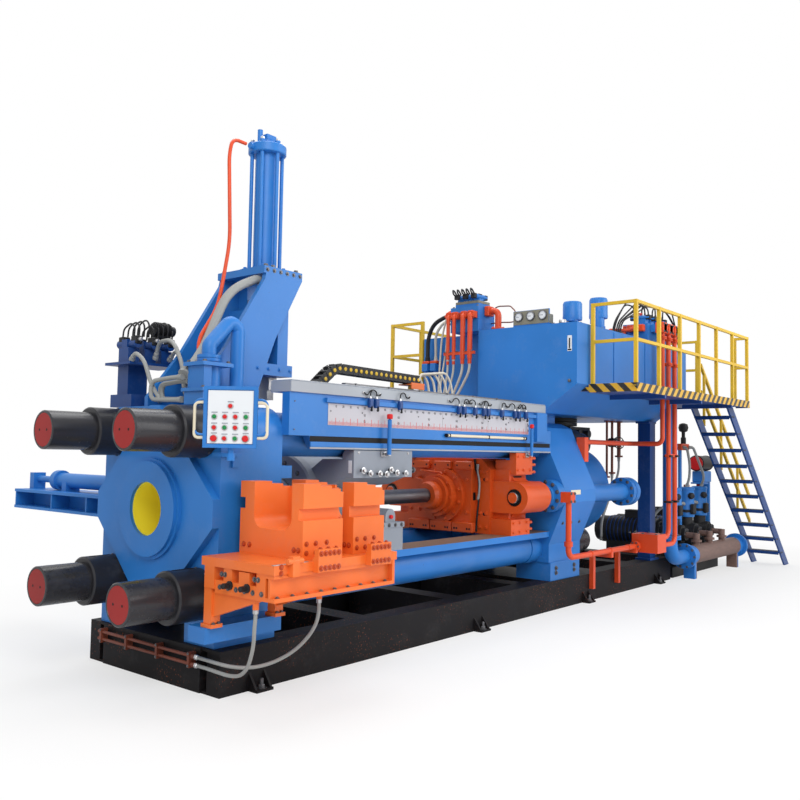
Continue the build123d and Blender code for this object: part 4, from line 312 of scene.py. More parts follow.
@dataclass(frozen=True)
class TwoTone(Finish):
    """Paint with a second, rubbed or primed tone between two values of one coordinate."""

    name: str
    base: Paint
    other: tuple[float, float, float]
    axis: int
    low: float
    high: float
    stretch: tuple[float, float, float]

    def dress(self, shade: Shade) -> None:
        """Sets up both tones: the coordinate past the low value and before the high one picks the second."""
        place = shade.axes()[self.axis]
        zone = (place > self.low) * (place < self.high)
        lines = shade.noise(3.0, 4.0, self.stretch)
        second = shade.mix(lines, darker(self.other, 0.65), darker(self.other, 1.3))
        broad = shade.noise(1.1, 3.0).ramp(0.3, 0.7)
        first = shade.mix(broad, darker(self.base.colour, 0.9), darker(self.base.colour, 1.1))
        shade.feed("Base Color", shade.mix(zone, first, second))
        shade.feed("Roughness", zone * 0.1 + lines * 0.1 + 0.36)
        shade.feed("Specular IOR Level", self.base.specular)
        shade.bump(lines, 0.1, 0.001)


@dataclass(frozen=True)
class Stripes:
    """Colours of warning stripes, their pitch along an edge and their slant with the height."""

    first: tuple[float, float, float]
    second: tuple[float, float, float]
    pitch: float
    slant: float = 1.0


@dataclass(frozen=True)
class DeckPaint(Finish):
    """Deck paint with warning stripes on the outer faces of the toe boards."""

    name: str
    base: Paint
    stripes: Stripes
    side: float
    front: float
    low: float
    high: float

    def dress(self, shade: Shade) -> None:
        """Sets up the deck's paint: stripes show where the distance from the middle plane is past the side
        or x is before the front face, between the board's two heights."""
        x, y, z = shade.axes()
        outer = (y.absolute() > self.side).math("MAXIMUM", x < self.front)
        board = outer * (z > self.low) * (z < self.high)
        bands = self.stripes
        phase = ((x - y.absolute() + z * bands.slant) / bands.pitch).wrap()
        worn = shade.noise(22.0, 4.0).ramp(0.58, 0.66)
        tone = shade.mix(worn * 0.3, shade.mix(phase > 0.5, bands.first, bands.second), WORN)
        broad = shade.noise(1.6, 4.0).ramp(0.35, 0.7)
        plain = shade.mix(broad, self.base.colour, darker(self.base.colour, 1.25))
        shade.feed("Base Color", shade.mix(board, plain, tone))
        shade.feed("Roughness", worn * 0.2 + 0.42)
        shade.bump(shade.noise(160.0, 2.0), 0.1, 0.002)


BLUE = Paint("blue_paint", srgb(40, 116, 192))
DEEP_BLUE = Paint("deep_blue", srgb(20, 62, 124))
ORANGE = Paint("orange_paint", srgb(230, 112, 46))
# Darker copy of the orange paint for the crosshead, which stands in shade: painted shade.
SHADED_CROSSHEAD_ORANGE = Paint("crosshead_orange_painted_shade", srgb(206, 80, 26))
PIPE_ORANGE = Paint("pipe_orange", srgb(214, 74, 34))
BLACK = Paint("soft_black", srgb(34, 34, 36), roughness=0.5, dust=0.10, under=(0.10, 0.08, 0.07),
              specular=0.2)
BASE_BLACK = Paint("base_paint", srgb(24, 22, 24), roughness=0.6, dust=0.07, chips=0.50,
                   under=srgb(104, 56, 36), specular=0.12)
ROD_BLACK = Paint("rod_black", srgb(46, 46, 50), roughness=0.24, dust=0.08, under=(0.10, 0.10, 0.10))
NUT_BLACK = Paint("nut_black", srgb(36, 36, 40), roughness=0.32, dust=0.10, under=(0.10, 0.10, 0.10))
GREY = Paint("grey_paint", srgb(158, 164, 172), roughness=0.42)
# Darker copy of the grey paint for the container housing, set against the key lamp on its sides: painted
# shade.
SHADED_CONTAINER_GREY = Paint("container_grey_painted_shade", srgb(134, 141, 152), roughness=0.42)
SCALE_GREY = Paint("scale_plate", srgb(186, 185, 192), roughness=0.45, mottle=0.05, dust=0.10, chips=0.7,
                   specular=0.2)
KHAKI = Paint("gauge_panel", srgb(126, 124, 110), roughness=0.45)
WHITE = Paint("panel_white", srgb(222, 226, 230), roughness=0.35, mottle=0.03, dust=0.06, chips=0.8)
CREAM = Paint("handle_cream", srgb(222, 212, 186), roughness=0.4, mottle=0.04, chips=0.7)
YELLOW = Paint("rail_yellow", srgb(210, 172, 44), roughness=0.4)
BORE_YELLOW = Paint("bore_yellow", srgb(252, 234, 60), roughness=0.5, mottle=0.05, dust=0.0, chips=0.8)
RED = Paint("end_red", srgb(150, 34, 32), roughness=0.42, mottle=0.14, dust=0.06, specular=0.15)
DARK_ORANGE = Paint("bolt_orange", srgb(176, 66, 24), roughness=0.42)
PIPE_BROWN = Paint("pipe_brown", srgb(112, 56, 40), roughness=0.5, mottle=0.2)
SIGNAL_RED = Paint("signal_red", srgb(205, 28, 30), roughness=0.3, mottle=0.04, dust=0.03, chips=0.9)
SIGNAL_GREEN = Paint("signal_green", srgb(24, 132, 70), roughness=0.3, mottle=0.04, dust=0.03, chips=0.9)
# Flat black for black parts and print, and for the dark strips and discs of painted shade in gaps, holes and
# openings.
BLACK_AND_SHADE = Paint("black_and_painted_shade", srgb(20, 20, 22), roughness=0.6, mottle=0.05, dust=0.05, chips=0.9, specular=0.15)
RUBBER = Paint("hose_black", srgb(30, 30, 33), roughness=0.55, mottle=0.1, dust=0.12, chips=0.9, specular=0.2)
HOSE_GREY = Paint("grey_rubber", srgb(150, 152, 150), roughness=0.5, mottle=0.12, dust=0.2, chips=0.9)
HOSE_PALE = Paint("hose_pale", srgb(196, 190, 176), roughness=0.5, mottle=0.1, dust=0.1, chips=0.9)
STEEL = Metal("turned_steel", (0.55, 0.55, 0.56))
DARK_STEEL = Metal("dark_steel", (0.16, 0.16, 0.17), roughness=0.38)
RAIL_PAINT = TwoTone("lower_rail_paint", BLUE, srgb(122, 98, 82), axis=2, low=0.9993, high=2.0,
                     stretch=(1.0, 30.0, 4.0))
SUCTION_PAINT = TwoTone("suction_paint", BLUE, srgb(116, 92, 84), axis=0, low=9.46, high=11.46,
                        stretch=(2.0, 9.0, 9.0))
DECK_BLUE = DeckPaint("deck_blue", DEEP_BLUE,
                      Stripes(srgb(28, 27, 26), srgb(206, 160, 40), pitch=0.19, slant=-1.0), side=2.0085,
                      front=5.4815, low=2.781, high=2.891)


# Numpy surfaces

@dataclass
class Surface:
    """Vertices and faces of one or more patches, joined as arrays."""

    points: np.ndarray
    faces: list = field(default_factory=list)

    def moved(self, matrix: np.ndarray) -> "Surface":
        """The surface under a 4 by 4 matrix."""
        turned = self.points @ matrix[:3, :3].T + matrix[:3, 3]
        return Surface(turned, self.faces)

    def facing(self, axis: Sequence[float], place: Sequence[float], spin: float = 0.0) -> "Surface":
        """The surface spun about Z, then with its Z turned to an axis and its origin at a place."""
        return self.moved(turned_to(axis, place, spin))

    def at(self, x: float, y: float, z: float) -> "Surface":
        """The surface shifted by x, y and z."""
        return Surface(self.points + np.array([x, y, z]), self.faces)


def joined(parts: Iterable[Surface]) -> Surface:
    """One surface from several, faces renumbered by the points before them."""
    parts = list(parts)
    faces, start = [], 0
    for part in parts:
        faces.extend(tuple(int(i) + start for i in face) for face in part.faces)
        start += len(part.points)
    return Surface(np.concatenate([part.points for part in parts]), faces)


def rings(grid: np.ndarray, caps: bool = True, loop: bool = False) -> Surface:
    """Skin over a grid of closed rings.

    Ring i and ring i + 1 are joined by quads, point j to point j + 1 with the last back to the first.

    Args:
        grid: Points as (rings, points of a ring, 3).
        caps: Whether the first and last rings are closed by one face each.
        loop: Whether the last ring joins the first.

    Returns:
        The surface.
    """
    count, size = grid.shape[:2]
    rows = np.arange(count if loop else count - 1)
    i, j = np.meshgrid(rows, np.arange(size), indexing="ij")
    ahead, beside = (i + 1) % count, (j + 1) % size
    quads = np.stack([i * size + j, ahead * size + j, ahead * size + beside, i * size + beside], axis=-1)
    faces = [tuple(q) for q in quads.reshape(-1, 4).tolist()]
    if caps and not loop:
        faces.append(tuple(range(size)))
        faces.append(tuple(range(count * size - 1, (count - 1) * size - 1, -1)))
    return Surface(grid.reshape(-1, 3), faces)


def lathe(profile: Sequence[tuple[float, float]], sides: int = 24, hollow: bool = False) -> Surface:
    """Body of revolution about Z: radius r and height z of the profile go to (r cos a, r sin a, z).

    Args:
        profile: Radius and height of each point, upwards on the outside.
        sides: Points on each circle.
        hollow: Whether the profile closes on itself, as on a ring, instead of ending in two flat faces.

    Returns:
        The surface.
    """
    line = np.array(profile, float)
    angles = -np.arange(sides) * 2.0 * np.pi / sides
    x = line[:, None, 0] * np.cos(angles)
    y = line[:, None, 0] * np.sin(angles)
    z = np.broadcast_to(line[:, None, 1], x.shape)
    return rings(np.stack([x, y, z], axis=-1), caps=not hollow, loop=hollow)


def band(inner: float, outer: float, width: float, edge: float, sides: int) -> Surface:
    """Ring about Z whose outer corners are drawn in to the inner radius over the edge."""
    return lathe([(inner, 0.0), (outer, edge), (outer, width - edge), (inner, width)], sides, True)


def slug(radius: float, height: float, sides: int) -> Surface:
    """Plain round body on Z = 0."""
    return lathe([(radius, 0.0), (radius, height)], sides)


def stub(radius: float, height: float, tip: float, end: float, sides: int) -> Surface:
    """Round or hexagon stub on Z = 0, straight up to the height, then drawn in to the tip at its end."""
    return lathe([(radius, 0.0), (radius, height), (tip, end)], sides)


def bevelled(outline: Sequence[tuple[float, float]], height: float, bevel: float) -> Surface:
    """Flat shape run up Z, its end rings drawn in towards the middle by the bevel at the ends.

    Each ring is the outline scaled about its middle, so that it is the bevel smaller at the two ends.
    """
    flat = np.array(outline, float)
    middle = flat.mean(axis=0)
    reach = np.abs(flat - middle).max(axis=0)
    small = middle + (flat - middle) * (1.0 - bevel / np.maximum(reach, 1e-6))
    layers = [(small, 0.0), (flat, bevel), (flat, height - bevel), (small, height)]
    grid = np.stack([np.column_stack([ring, np.full(len(ring), z)]) for ring, z in layers])
    area = np.sum(flat[:, 0] * np.roll(flat[:, 1], -1) - flat[:, 1] * np.roll(flat[:, 0], -1))
    return rings(grid[:, ::-1] if area > 0 else grid)


def box(low: Sequence[float], high: Sequence[float], bevel: float = 0.003) -> Surface:
    """Bevelled block between two corners."""
    low, high = np.array(low, float), np.array(high, float)
    outline = [(low[0], low[1]), (high[0], low[1]), (high[0], high[1]), (low[0], high[1])]
    edge = min(bevel, 0.3 * float((high - low).min()))
    cut = []
    for index, (x, y) in enumerate(outline):
        before, after = outline[index - 1], outline[(index + 1) % 4]
        for other in (before, after):
            step = np.sign([other[0] - x, other[1] - y]) * edge
            cut.append((x + step[0], y + step[1]))
    return bevelled(cut, high[2] - low[2], edge).at(0, 0, low[2])


def turned_to(axis: Sequence[float], origin: Sequence[float], spin: float = 0.0) -> np.ndarray:
    """Matrix that carries Z to an axis through an origin."""
    turn = Vector(UP).rotation_difference(Vector(axis)).to_matrix() @ Matrix.Rotation(spin, 3, "Z")
    whole = np.eye(4)
    whole[:3, :3] = np.array(turn)
    whole[:3, 3] = origin
    return whole


def rounded_path(points: Sequence[Sequence[float]], radius: float, steps: int = 8) -> np.ndarray:
    """Line through corners with arcs.

    Each arc point is B + (1-t)^2 (P-B) + t^2 (N-B), with P and N the arc's ends round the corner B.
    """
    line = [np.array(p, float) for p in points]
    out = [line[0]]
    for before, corner, after in zip(line, line[1:], line[2:]):
        reach = min(radius, 0.49 * np.linalg.norm(corner - before), 0.49 * np.linalg.norm(after - corner))
        start = corner + (before - corner) / np.linalg.norm(before - corner) * reach
        end = corner + (after - corner) / np.linalg.norm(after - corner) * reach
        t = np.linspace(0.0, 1.0, steps)[:, None]
        out.extend(corner + (1 - t) ** 2 * (start - corner) + t ** 2 * (end - corner))
    out.append(line[-1])
    return np.array(out)


def pipe(path: np.ndarray, radius: float, sides: int = 14) -> Surface:
    """Round tube along a line.

    Ring k is the line's point plus radius times (cos a U + sin a V), with U and V square to the line's run.
    """
    run = np.gradient(path, axis=0)
    run /= np.linalg.norm(run, axis=1, keepdims=True)
    helper = np.array([0.0, 0.0, 1.0]) if abs(run[0, 2]) < 0.9 else np.array([1.0, 0.0, 0.0])
    side = np.cross(helper, run[0])
    sides_u = []
    for direction in run:
        side = side - direction * np.dot(side, direction)
        side /= np.linalg.norm(side)
        sides_u.append(side)
    u = np.array(sides_u)
    v = np.cross(run, u)
    angles = -np.arange(sides) * 2.0 * np.pi / sides
    grid = path[:, None] + radius * (np.cos(angles)[None, :, None] * u[:, None]
                                     + np.sin(angles)[None, :, None] * v[:, None])
    return rings(grid)


def tube(points: Sequence[Sequence[float]], bend: float, steps: int, radius: float, sides: int) -> Surface:
    """Round tube along a route whose corners are rounded."""
    return pipe(rounded_path(points, bend, steps), radius, sides)


def placed(name: str, surface: Surface | Iterable[Surface], finish: Finish, body: str = PRESS,
           stands_for: Sequence[str] = (), sharp: float = 32.0) -> bpy.types.Object:
    """Makes one piece of the scene.

    Args:
        name: The piece's name.
        surface: Its shape, in the part's metres, or the surfaces that make it up.
        finish: What it is painted or made of.
        body: The body it moves with.
        stands_for: CAD nodes that it takes the place of.
        sharp: Edge angle in degrees above which the shading breaks.

    Returns:
        The new object.
    """
    surface = surface if isinstance(surface, Surface) else joined(surface)
    mesh = bpy.data.meshes.new(name)
    mesh.from_pydata(surface.points.tolist(), [], surface.faces)
    mesh.update()
    mesh.polygons.foreach_set("use_smooth", np.ones(len(mesh.polygons), bool))
    mesh.set_sharp_from_angle(angle=math.radians(sharp))
    mesh.materials.append(finish.material())
    piece = bpy.data.objects.new(name, mesh)
    bpy.context.scene.collection.objects.link(piece)
    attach(piece, body)
    if stands_for:
        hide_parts(*stands_for)
    LOG.info("%s: %d points", name, len(surface.points))
    return piece


@dataclass
class Studio:
    """Camera at the photograph's angle, soft lamps, a white surrounding and a pale floor."""

    place: tuple[float, float, float] = (-4.406, -6.452, 2.0)
    yaw: float = 39.807
    pitch: float = 3.389
    roll: float = 0.997
    lens: float = 38.29
    lamp_power: float = 900.0

    def camera(self) -> None:
        """Sets up the camera from its three angles."""
        yaw, pitch, roll = (math.radians(v) for v in (self.yaw, self.pitch, self.roll))
        ahead = Vector((math.cos(yaw) * math.cos(pitch), math.sin(yaw) * math.cos(pitch), math.sin(pitch)))
        right = ahead.cross(Vector(UP)).normalized()
        above = right.cross(ahead)
        side = right * math.cos(roll) + above * math.sin(roll)
        up = above * math.cos(roll) - right * math.sin(roll)
        data = bpy.data.cameras.new("photo_camera")
        data.lens = self.lens
        data.sensor_width = 36.0
        data.clip_end = 200.0
        seen = bpy.data.objects.new("photo_camera", data)
        turn = Matrix((side, up, -ahead)).transposed().to_4x4()
        seen.matrix_world = Matrix.Translation(self.place) @ turn
        bpy.context.scene.collection.objects.link(seen)
        bpy.context.scene.camera = seen

    def lamp(self, name: str, place: Sequence[float], aim: Sequence[float], size: float,
             power: float) -> None:
        """Adds one square lamp that looks at a point."""
        data = bpy.data.lights.new(name, "AREA")
        data.size = size
        data.energy = power
        lamp = bpy.data.objects.new(name, data)
        lamp.location = place
        lamp.rotation_euler = (Vector(aim) - Vector(place)).to_track_quat("-Z", "Y").to_euler()
        bpy.context.scene.collection.objects.link(lamp)

    def surround(self) -> None:
        """White to the camera and to mirrors, a plain even light to everything else."""
        world = bpy.data.worlds.new("surround")
        bpy.context.scene.world = world
        world.use_nodes = True
        tree = world.node_tree
        back = next(n for n in tree.nodes if n.type == "BACKGROUND")
        seen = tree.nodes.new("ShaderNodeLightPath")
        either = tree.nodes.new("ShaderNodeMath")
        either.operation = "MAXIMUM"
        tree.links.new(seen.outputs["Is Camera Ray"], either.inputs[0])
        tree.links.new(seen.outputs["Is Glossy Ray"], either.inputs[1])
        strength = tree.nodes.new("ShaderNodeMath")
        strength.operation = "MULTIPLY_ADD"
        tree.links.new(either.outputs[0], strength.inputs[0])
        strength.inputs[1].default_value = 0.45
        strength.inputs[2].default_value = 0.55
        tree.links.new(strength.outputs[0], back.inputs["Strength"])
        back.inputs["Color"].default_value = (1.0, 1.0, 1.0, 1.0)

    def floor(self) -> None:
        """Lays the pale floor under the press."""
        mesh = bpy.data.meshes.new("floor")
        mesh.from_pydata([(-60, -60, 0), (80, -60, 0), (80, 80, 0), (-60, 80, 0)], [], [(0, 1, 2, 3)])
        floor = bpy.data.objects.new("floor", mesh)
        bpy.context.scene.collection.objects.link(floor)
        shade = Shade("floor_paint")
        shade.feed("Base Color", (0.86, 0.86, 0.86))
        shade.feed("Roughness", 0.9)
        path = shade.node("ShaderNodeLightPath", output="Is Camera Ray")
        glow = shade.node("ShaderNodeEmission", None, {"Strength": 1.0}, "Emission")
        x, y, _ = shade.axes()
        beside = ((x - 6.0).absolute() - 6.5).math("MAXIMUM", 0.0)
        across = (y.absolute() - 1.8).math("MAXIMUM", 0.0)
        away = (beside * beside + across * across).math("SQRT").ramp(0.0, 4.0)
        blend = shade.node("ShaderNodeMixShader", None, {0: path * (away * 0.42 + 0.58)}, "Shader")
        mixer = blend.socket.node
        out = next(n for n in shade.tree.nodes if n.type == "OUTPUT_MATERIAL")
        shade.tree.links.new(shade.shader.outputs[0], mixer.inputs[1])
        shade.tree.links.new(glow.socket, mixer.inputs[2])
        shade.tree.links.new(mixer.outputs[0], out.inputs["Surface"])
        floor.data.materials.append(shade.material)

    def build(self) -> None:
        """Sets the whole studio."""
        self.camera()
        self.surround()
        self.floor()
        middle = (4.0, 0.0, 1.6)
        self.lamp("key", (-6.0, -9.0, 9.0), middle, 7.0, self.lamp_power)
        self.lamp("fill", (10.0, -10.0, 6.0), middle, 7.0, self.lamp_power * 0.7)
        self.lamp("top", (4.0, 2.0, 12.0), middle, 9.0, self.lamp_power * 0.8)
        bpy.context.scene.view_settings.view_transform = "Standard"


@dataclass
class ChangerHoses:
    """Two hoses that hang in bows from the pipes along the base to the glands of the die changer."""

    radius: float = 0.015
    nut_length: float = 0.034
    front_length: float = 1.209
    rear_length: float = 1.472
    front: tuple[tuple[float, float, float], ...] = (
        (-0.060, -0.720, 0.235), (-0.060, -0.850, 0.235), (-0.048, -0.982, 0.224), (-0.014, -1.098, 0.206),
        (-0.004, -1.210, 0.224), (-0.028, -1.320, 0.300), (-0.068, -1.410, 0.412), (-0.108, -1.484, 0.538),
        (-0.147, -1.530, 0.660), (-0.155, -1.550, 0.740), (-0.155, -1.550, 0.800),
    )
    rear: tuple[tuple[float, float, float], ...] = (
        (-0.060, -0.720, 0.300), (-0.060, -0.850, 0.300), (-0.052, -0.984, 0.292), (0.018, -1.088, 0.268),
        (0.140, -1.142, 0.250), (0.275, -1.174, 0.250), (0.410, -1.218, 0.284), (0.500, -1.302, 0.360),
        (0.546, -1.398, 0.470), (0.548, -1.484, 0.590), (0.521, -1.536, 0.698), (0.505, -1.550, 0.756),
        (0.505, -1.550, 0.800),
    )

    def nuts(self, name: str, route: Sequence[Sequence[float]]) -> bpy.types.Object:
        """Hexagon nuts where a hose goes on at both ends."""
        r, length = self.radius, self.nut_length
        nut = lathe([(1.08 * r, 0.0), (1.5 * r, 0.002), (1.5 * r, length - 0.004), (1.2 * r, length),
                     (1.08 * r, length)], 6, True)
        start, end = np.array(route[0]), np.array(route[-1])
        pair = [nut.facing(np.array(route[1]) - start, start), nut.facing(np.array(route[-2]) - end, end)]
        return placed(name + "_nuts", pair, STEEL)

    def build(self) -> None:
        """Makes each hose as one smooth spline through its route."""
        for name, route, length in (("changer_hose_front", self.front, self.front_length),
                                    ("changer_hose_rear", self.rear, self.rear_length)):
            data = bpy.data.curves.new(name + "_line", "CURVE")
            data.dimensions = "3D"
            data.bevel_depth = self.radius
            data.bevel_resolution = 5
            data.resolution_u = 10
            data.use_fill_caps = True
            spline = data.splines.new("NURBS")
            spline.points.add(len(route) - 1)
            spline.points.foreach_set("co", np.column_stack([np.array(route), np.ones(len(route))]).ravel())
            spline.order_u = 3
            spline.use_endpoint_u = True
            data.materials.append(HOSE_GREY.material())
            piece = bpy.data.objects.new(name + "_line", data)
            bpy.context.scene.collection.objects.link(piece)
            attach(piece, PRESS)
            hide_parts(name)
            self.nuts(name, route)
            LOG.info("%s: %d route points", name, len(route))


class NodeCoat(Enum):
    """Which finish each group of CAD nodes gets, keyed by the start of the node's name."""

    BASE_PIPES = ("base_pipes", PIPE_BROWN)
    BASE = ("base_", BASE_BLACK)
    RODS = ("tie_rod", ROD_BLACK)
    NUTS = ("rod_nut", NUT_BLACK)
    LINER = ("exit_liner", BORE_YELLOW)
    DIE_SIDE = ("carriage", ORANGE)
    DIE_FRAME = ("changer_frame", ORANGE)
    CRADLES = ("cradle", ORANGE)
    BRIDGE = ("die_bridge", ORANGE)
    MOVER = ("crosshead", SHADED_CROSSHEAD_ORANGE)
    HOLDER = ("stem_holder", SHADED_CROSSHEAD_ORANGE)
    STEM = ("extrusion_stem", DARK_STEEL)
    RAM = ("main_ram", STEEL)
    SIDE_RODS = ("side_rod", STEEL)
    HOUSING = ("container_housing", SHADED_CONTAINER_GREY)
    BILLET_LINER = ("container_liner", STEEL)
    SHEAR_SLIDE = ("shear_slide", STEEL)
    SUPPLY = ("supply", PIPE_ORANGE)
    DROPS = ("side_drop", PIPE_ORANGE)
    FRONT_PIPES = ("front_manifold_pipes", PIPE_ORANGE)
    SUCTION = ("suction_line", SUCTION_PAINT)
    RAILS = ("railing", YELLOW)
    HANDRAIL = ("stair_handrail", YELLOW)
    PUMPS = ("pump_sets", BLACK)
    SKID = ("pump_skid", BLACK)
    PREFILL = ("prefill", BLACK)
    LEGS = ("tank_leg", DEEP_BLUE)
    STEPS = ("stairs", DEEP_BLUE)
    DECKS = ("deck", DECK_BLUE)
    LOWER_RAILS = ("lower_rails", RAIL_PAINT)
    STAND = ("far_valve", DEEP_BLUE)


@dataclass
class PaintedFrame:
    """Gives every CAD node its finish."""

    common: Paint = BLUE

    def build(self) -> None:
        """Assigns the finishes."""
        for name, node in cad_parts.items():
            finish = next((c.value[1] for c in NodeCoat if name.startswith(c.value[0])), self.common)
            node.data.materials.clear()
            node.data.materials.append(finish.material())
        LOG.info("painted %d nodes", len(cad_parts))


# Small hardware

def bolt(size: float = 0.024, washer: bool = True) -> Surface:
    """Hexagon head on a washer, standing on Z = 0, with chamfered corners.

    Args:
        size: Across flats.
        washer: Whether a round washer lies under the head.

    Returns:
        The surface.
    """
    reach = size / 2.0 / math.cos(math.pi / 6.0)
    head = lathe([(reach, 0.003), (reach, 0.55 * size), (0.86 * reach, 0.66 * size),
                  (0.3 * reach, 0.66 * size)], 6)
    if not washer:
        return head
    ring = lathe([(0.95 * size, 0.0), (0.95 * size, 0.003), (0.88 * size, 0.004)], 14)
    return joined([ring, head])


def bolts(places: Iterable[Sequence[float]], axis: Sequence[float], size: float = 0.024,
          washer: bool = True) -> Surface:
    """The same bolt at many places, its head towards the axis and turned a little differently at each."""
    spins = np.random.default_rng(7)
    head = bolt(size, washer)
    return joined(head.facing(axis, place, float(spins.uniform(0, 1.0))) for place in places)


def circle_places(centre: Sequence[float], axis: int, radius: float, count: int,
                  start: float = 0.0) -> list[np.ndarray]:
    """Evenly spread places on a circle square to one coordinate axis."""
    first, second = [(1, 2), (0, 2), (0, 1)][axis]
    spots = []
    for angle in start + np.arange(count) * 2.0 * np.pi / count:
        spot = np.array(centre, float)
        spot[first] += radius * np.cos(angle)
        spot[second] += radius * np.sin(angle)
        spots.append(spot)
    return spots


def hose(points: Sequence[Sequence[float]], radius: float, bend: float = 0.15,
         fitting: bool = True) -> Surface:
    """Hose along a route, with a hexagon ferrule at both ends.

    Args:
        points: The route's corners.
        radius: Outer radius of the hose.
        bend: Reach of each rounded corner.
        fitting: Whether the ends carry ferrules.

    Returns:
        The surface.
    """
    path = rounded_path(points, bend, 9)
    parts = [pipe(path, radius, 12)]
    if fitting:
        for end, beside in ((path[0], path[1]), (path[-1], path[-2])):
            run = (beside - end) / np.linalg.norm(beside - end)
            profile = [(radius * 0.9, -0.004), (radius * 1.45, -0.004), (radius * 1.45, 0.02),
                       (radius * 1.25, 0.024), (radius * 1.25, 0.06), (radius * 1.02, 0.064)]
            parts.append(lathe(profile, 10).facing(run, end))
    return joined(parts)


def flange_pair(centre: Sequence[float], axis: Sequence[float], half: float, depth: float = 0.03) -> Surface:
    """Two square flanges face to face with a thin joint between them, and four bolts."""
    outline = [(half, half * 0.7), (half * 0.7, half), (-half * 0.7, half), (-half, half * 0.7),
               (-half, -half * 0.7), (-half * 0.7, -half), (half * 0.7, -half), (half, -half * 0.7)]
    plate = bevelled(outline, depth, 0.003)
    heads = joined(bolt(half * 0.3).at(x, y, 2 * depth + 0.003) for x in (-0.62 * half, 0.62 * half)
                   for y in (-0.62 * half, 0.62 * half))
    return joined([plate, plate.at(0, 0, depth + 0.003), heads]).facing(axis, centre)


# Sub-assemblies

@dataclass
class TieRods:
    """Ends of the tie rods: recessed red discs with a rim, a centre mark and two tapped holes, drawn as dark
    discs of painted shade.
    """

    front: float = -0.728
    back: float = 6.640
    radius: float = 0.170
    recess: float = 0.003
    face: float = 0.148

    def places(self) -> list[tuple[float, float]]:
        """Y and Z of the four rods."""
        return [(y, AXIS_Z + rise) for rise in (ROD_RISE, -ROD_RISE) for y in (-ROD_Y, ROD_Y)]

    def build(self) -> None:
        """Makes the rods, their discs and the dark discs of painted shade for the holes."""
        length = self.back - self.front
        r, c = self.radius, 0.008
        shaft = lathe([(self.face, self.recess), (self.face + 0.002, 0.0), (r - c, 0.0), (r, c),
                       (r, length - c), (r - c, length), (0.02, length)], 64)
        disc = lathe([(self.face, self.recess + 0.001), (self.face - 0.002, 0.0015), (0.006, 0.0015)], 64)
        # Dark disc of painted shade for a tapped hole.
        hole_shade = slug(0.011, 0.0006, 16)
        shafts, discs, hole_shades = [], [], []
        for y, z in self.places():
            here = turned_to(TO_REAR, (self.front, y, z))
            shafts.append(shaft.moved(here))
            discs.append(disc.moved(here))
            for side in SIDES:
                hole_shades.append(hole_shade.facing(TO_REAR, (self.front + 0.0008, y + side * 0.062, z)))
        placed("rod_shafts", shafts, ROD_BLACK, stands_for=["tie_rods"])
        placed("rod_end_discs", discs, RED)
        placed("rod_end_hole_shades", hole_shades, BLACK_AND_SHADE)


@dataclass
class NutDetail:
    """Set screws round the rims of the rod nuts."""

    front_screws: float = -0.010
    rear_screws: float = 6.1303
    radius: float = 0.216
    screws: int = 10

    def build(self) -> None:
        """Makes the screws of all nuts."""
        cap = lathe([(0.011, -0.002), (0.011, 0.004), (0.009, 0.006), (0.006, 0.006), (0.006, 0.002)], 12)
        parts = []
        for y, z in TieRods().places():
            for x in (self.front_screws, self.rear_screws):
                for angle in np.arange(self.screws) * 2 * np.pi / self.screws + 0.3:
                    out = np.array([0.0, math.cos(angle), math.sin(angle)])
                    parts.append(cap.facing(out, np.array([x, y, z]) + out * self.radius))
        placed("nut_screws", parts, DARK_STEEL)


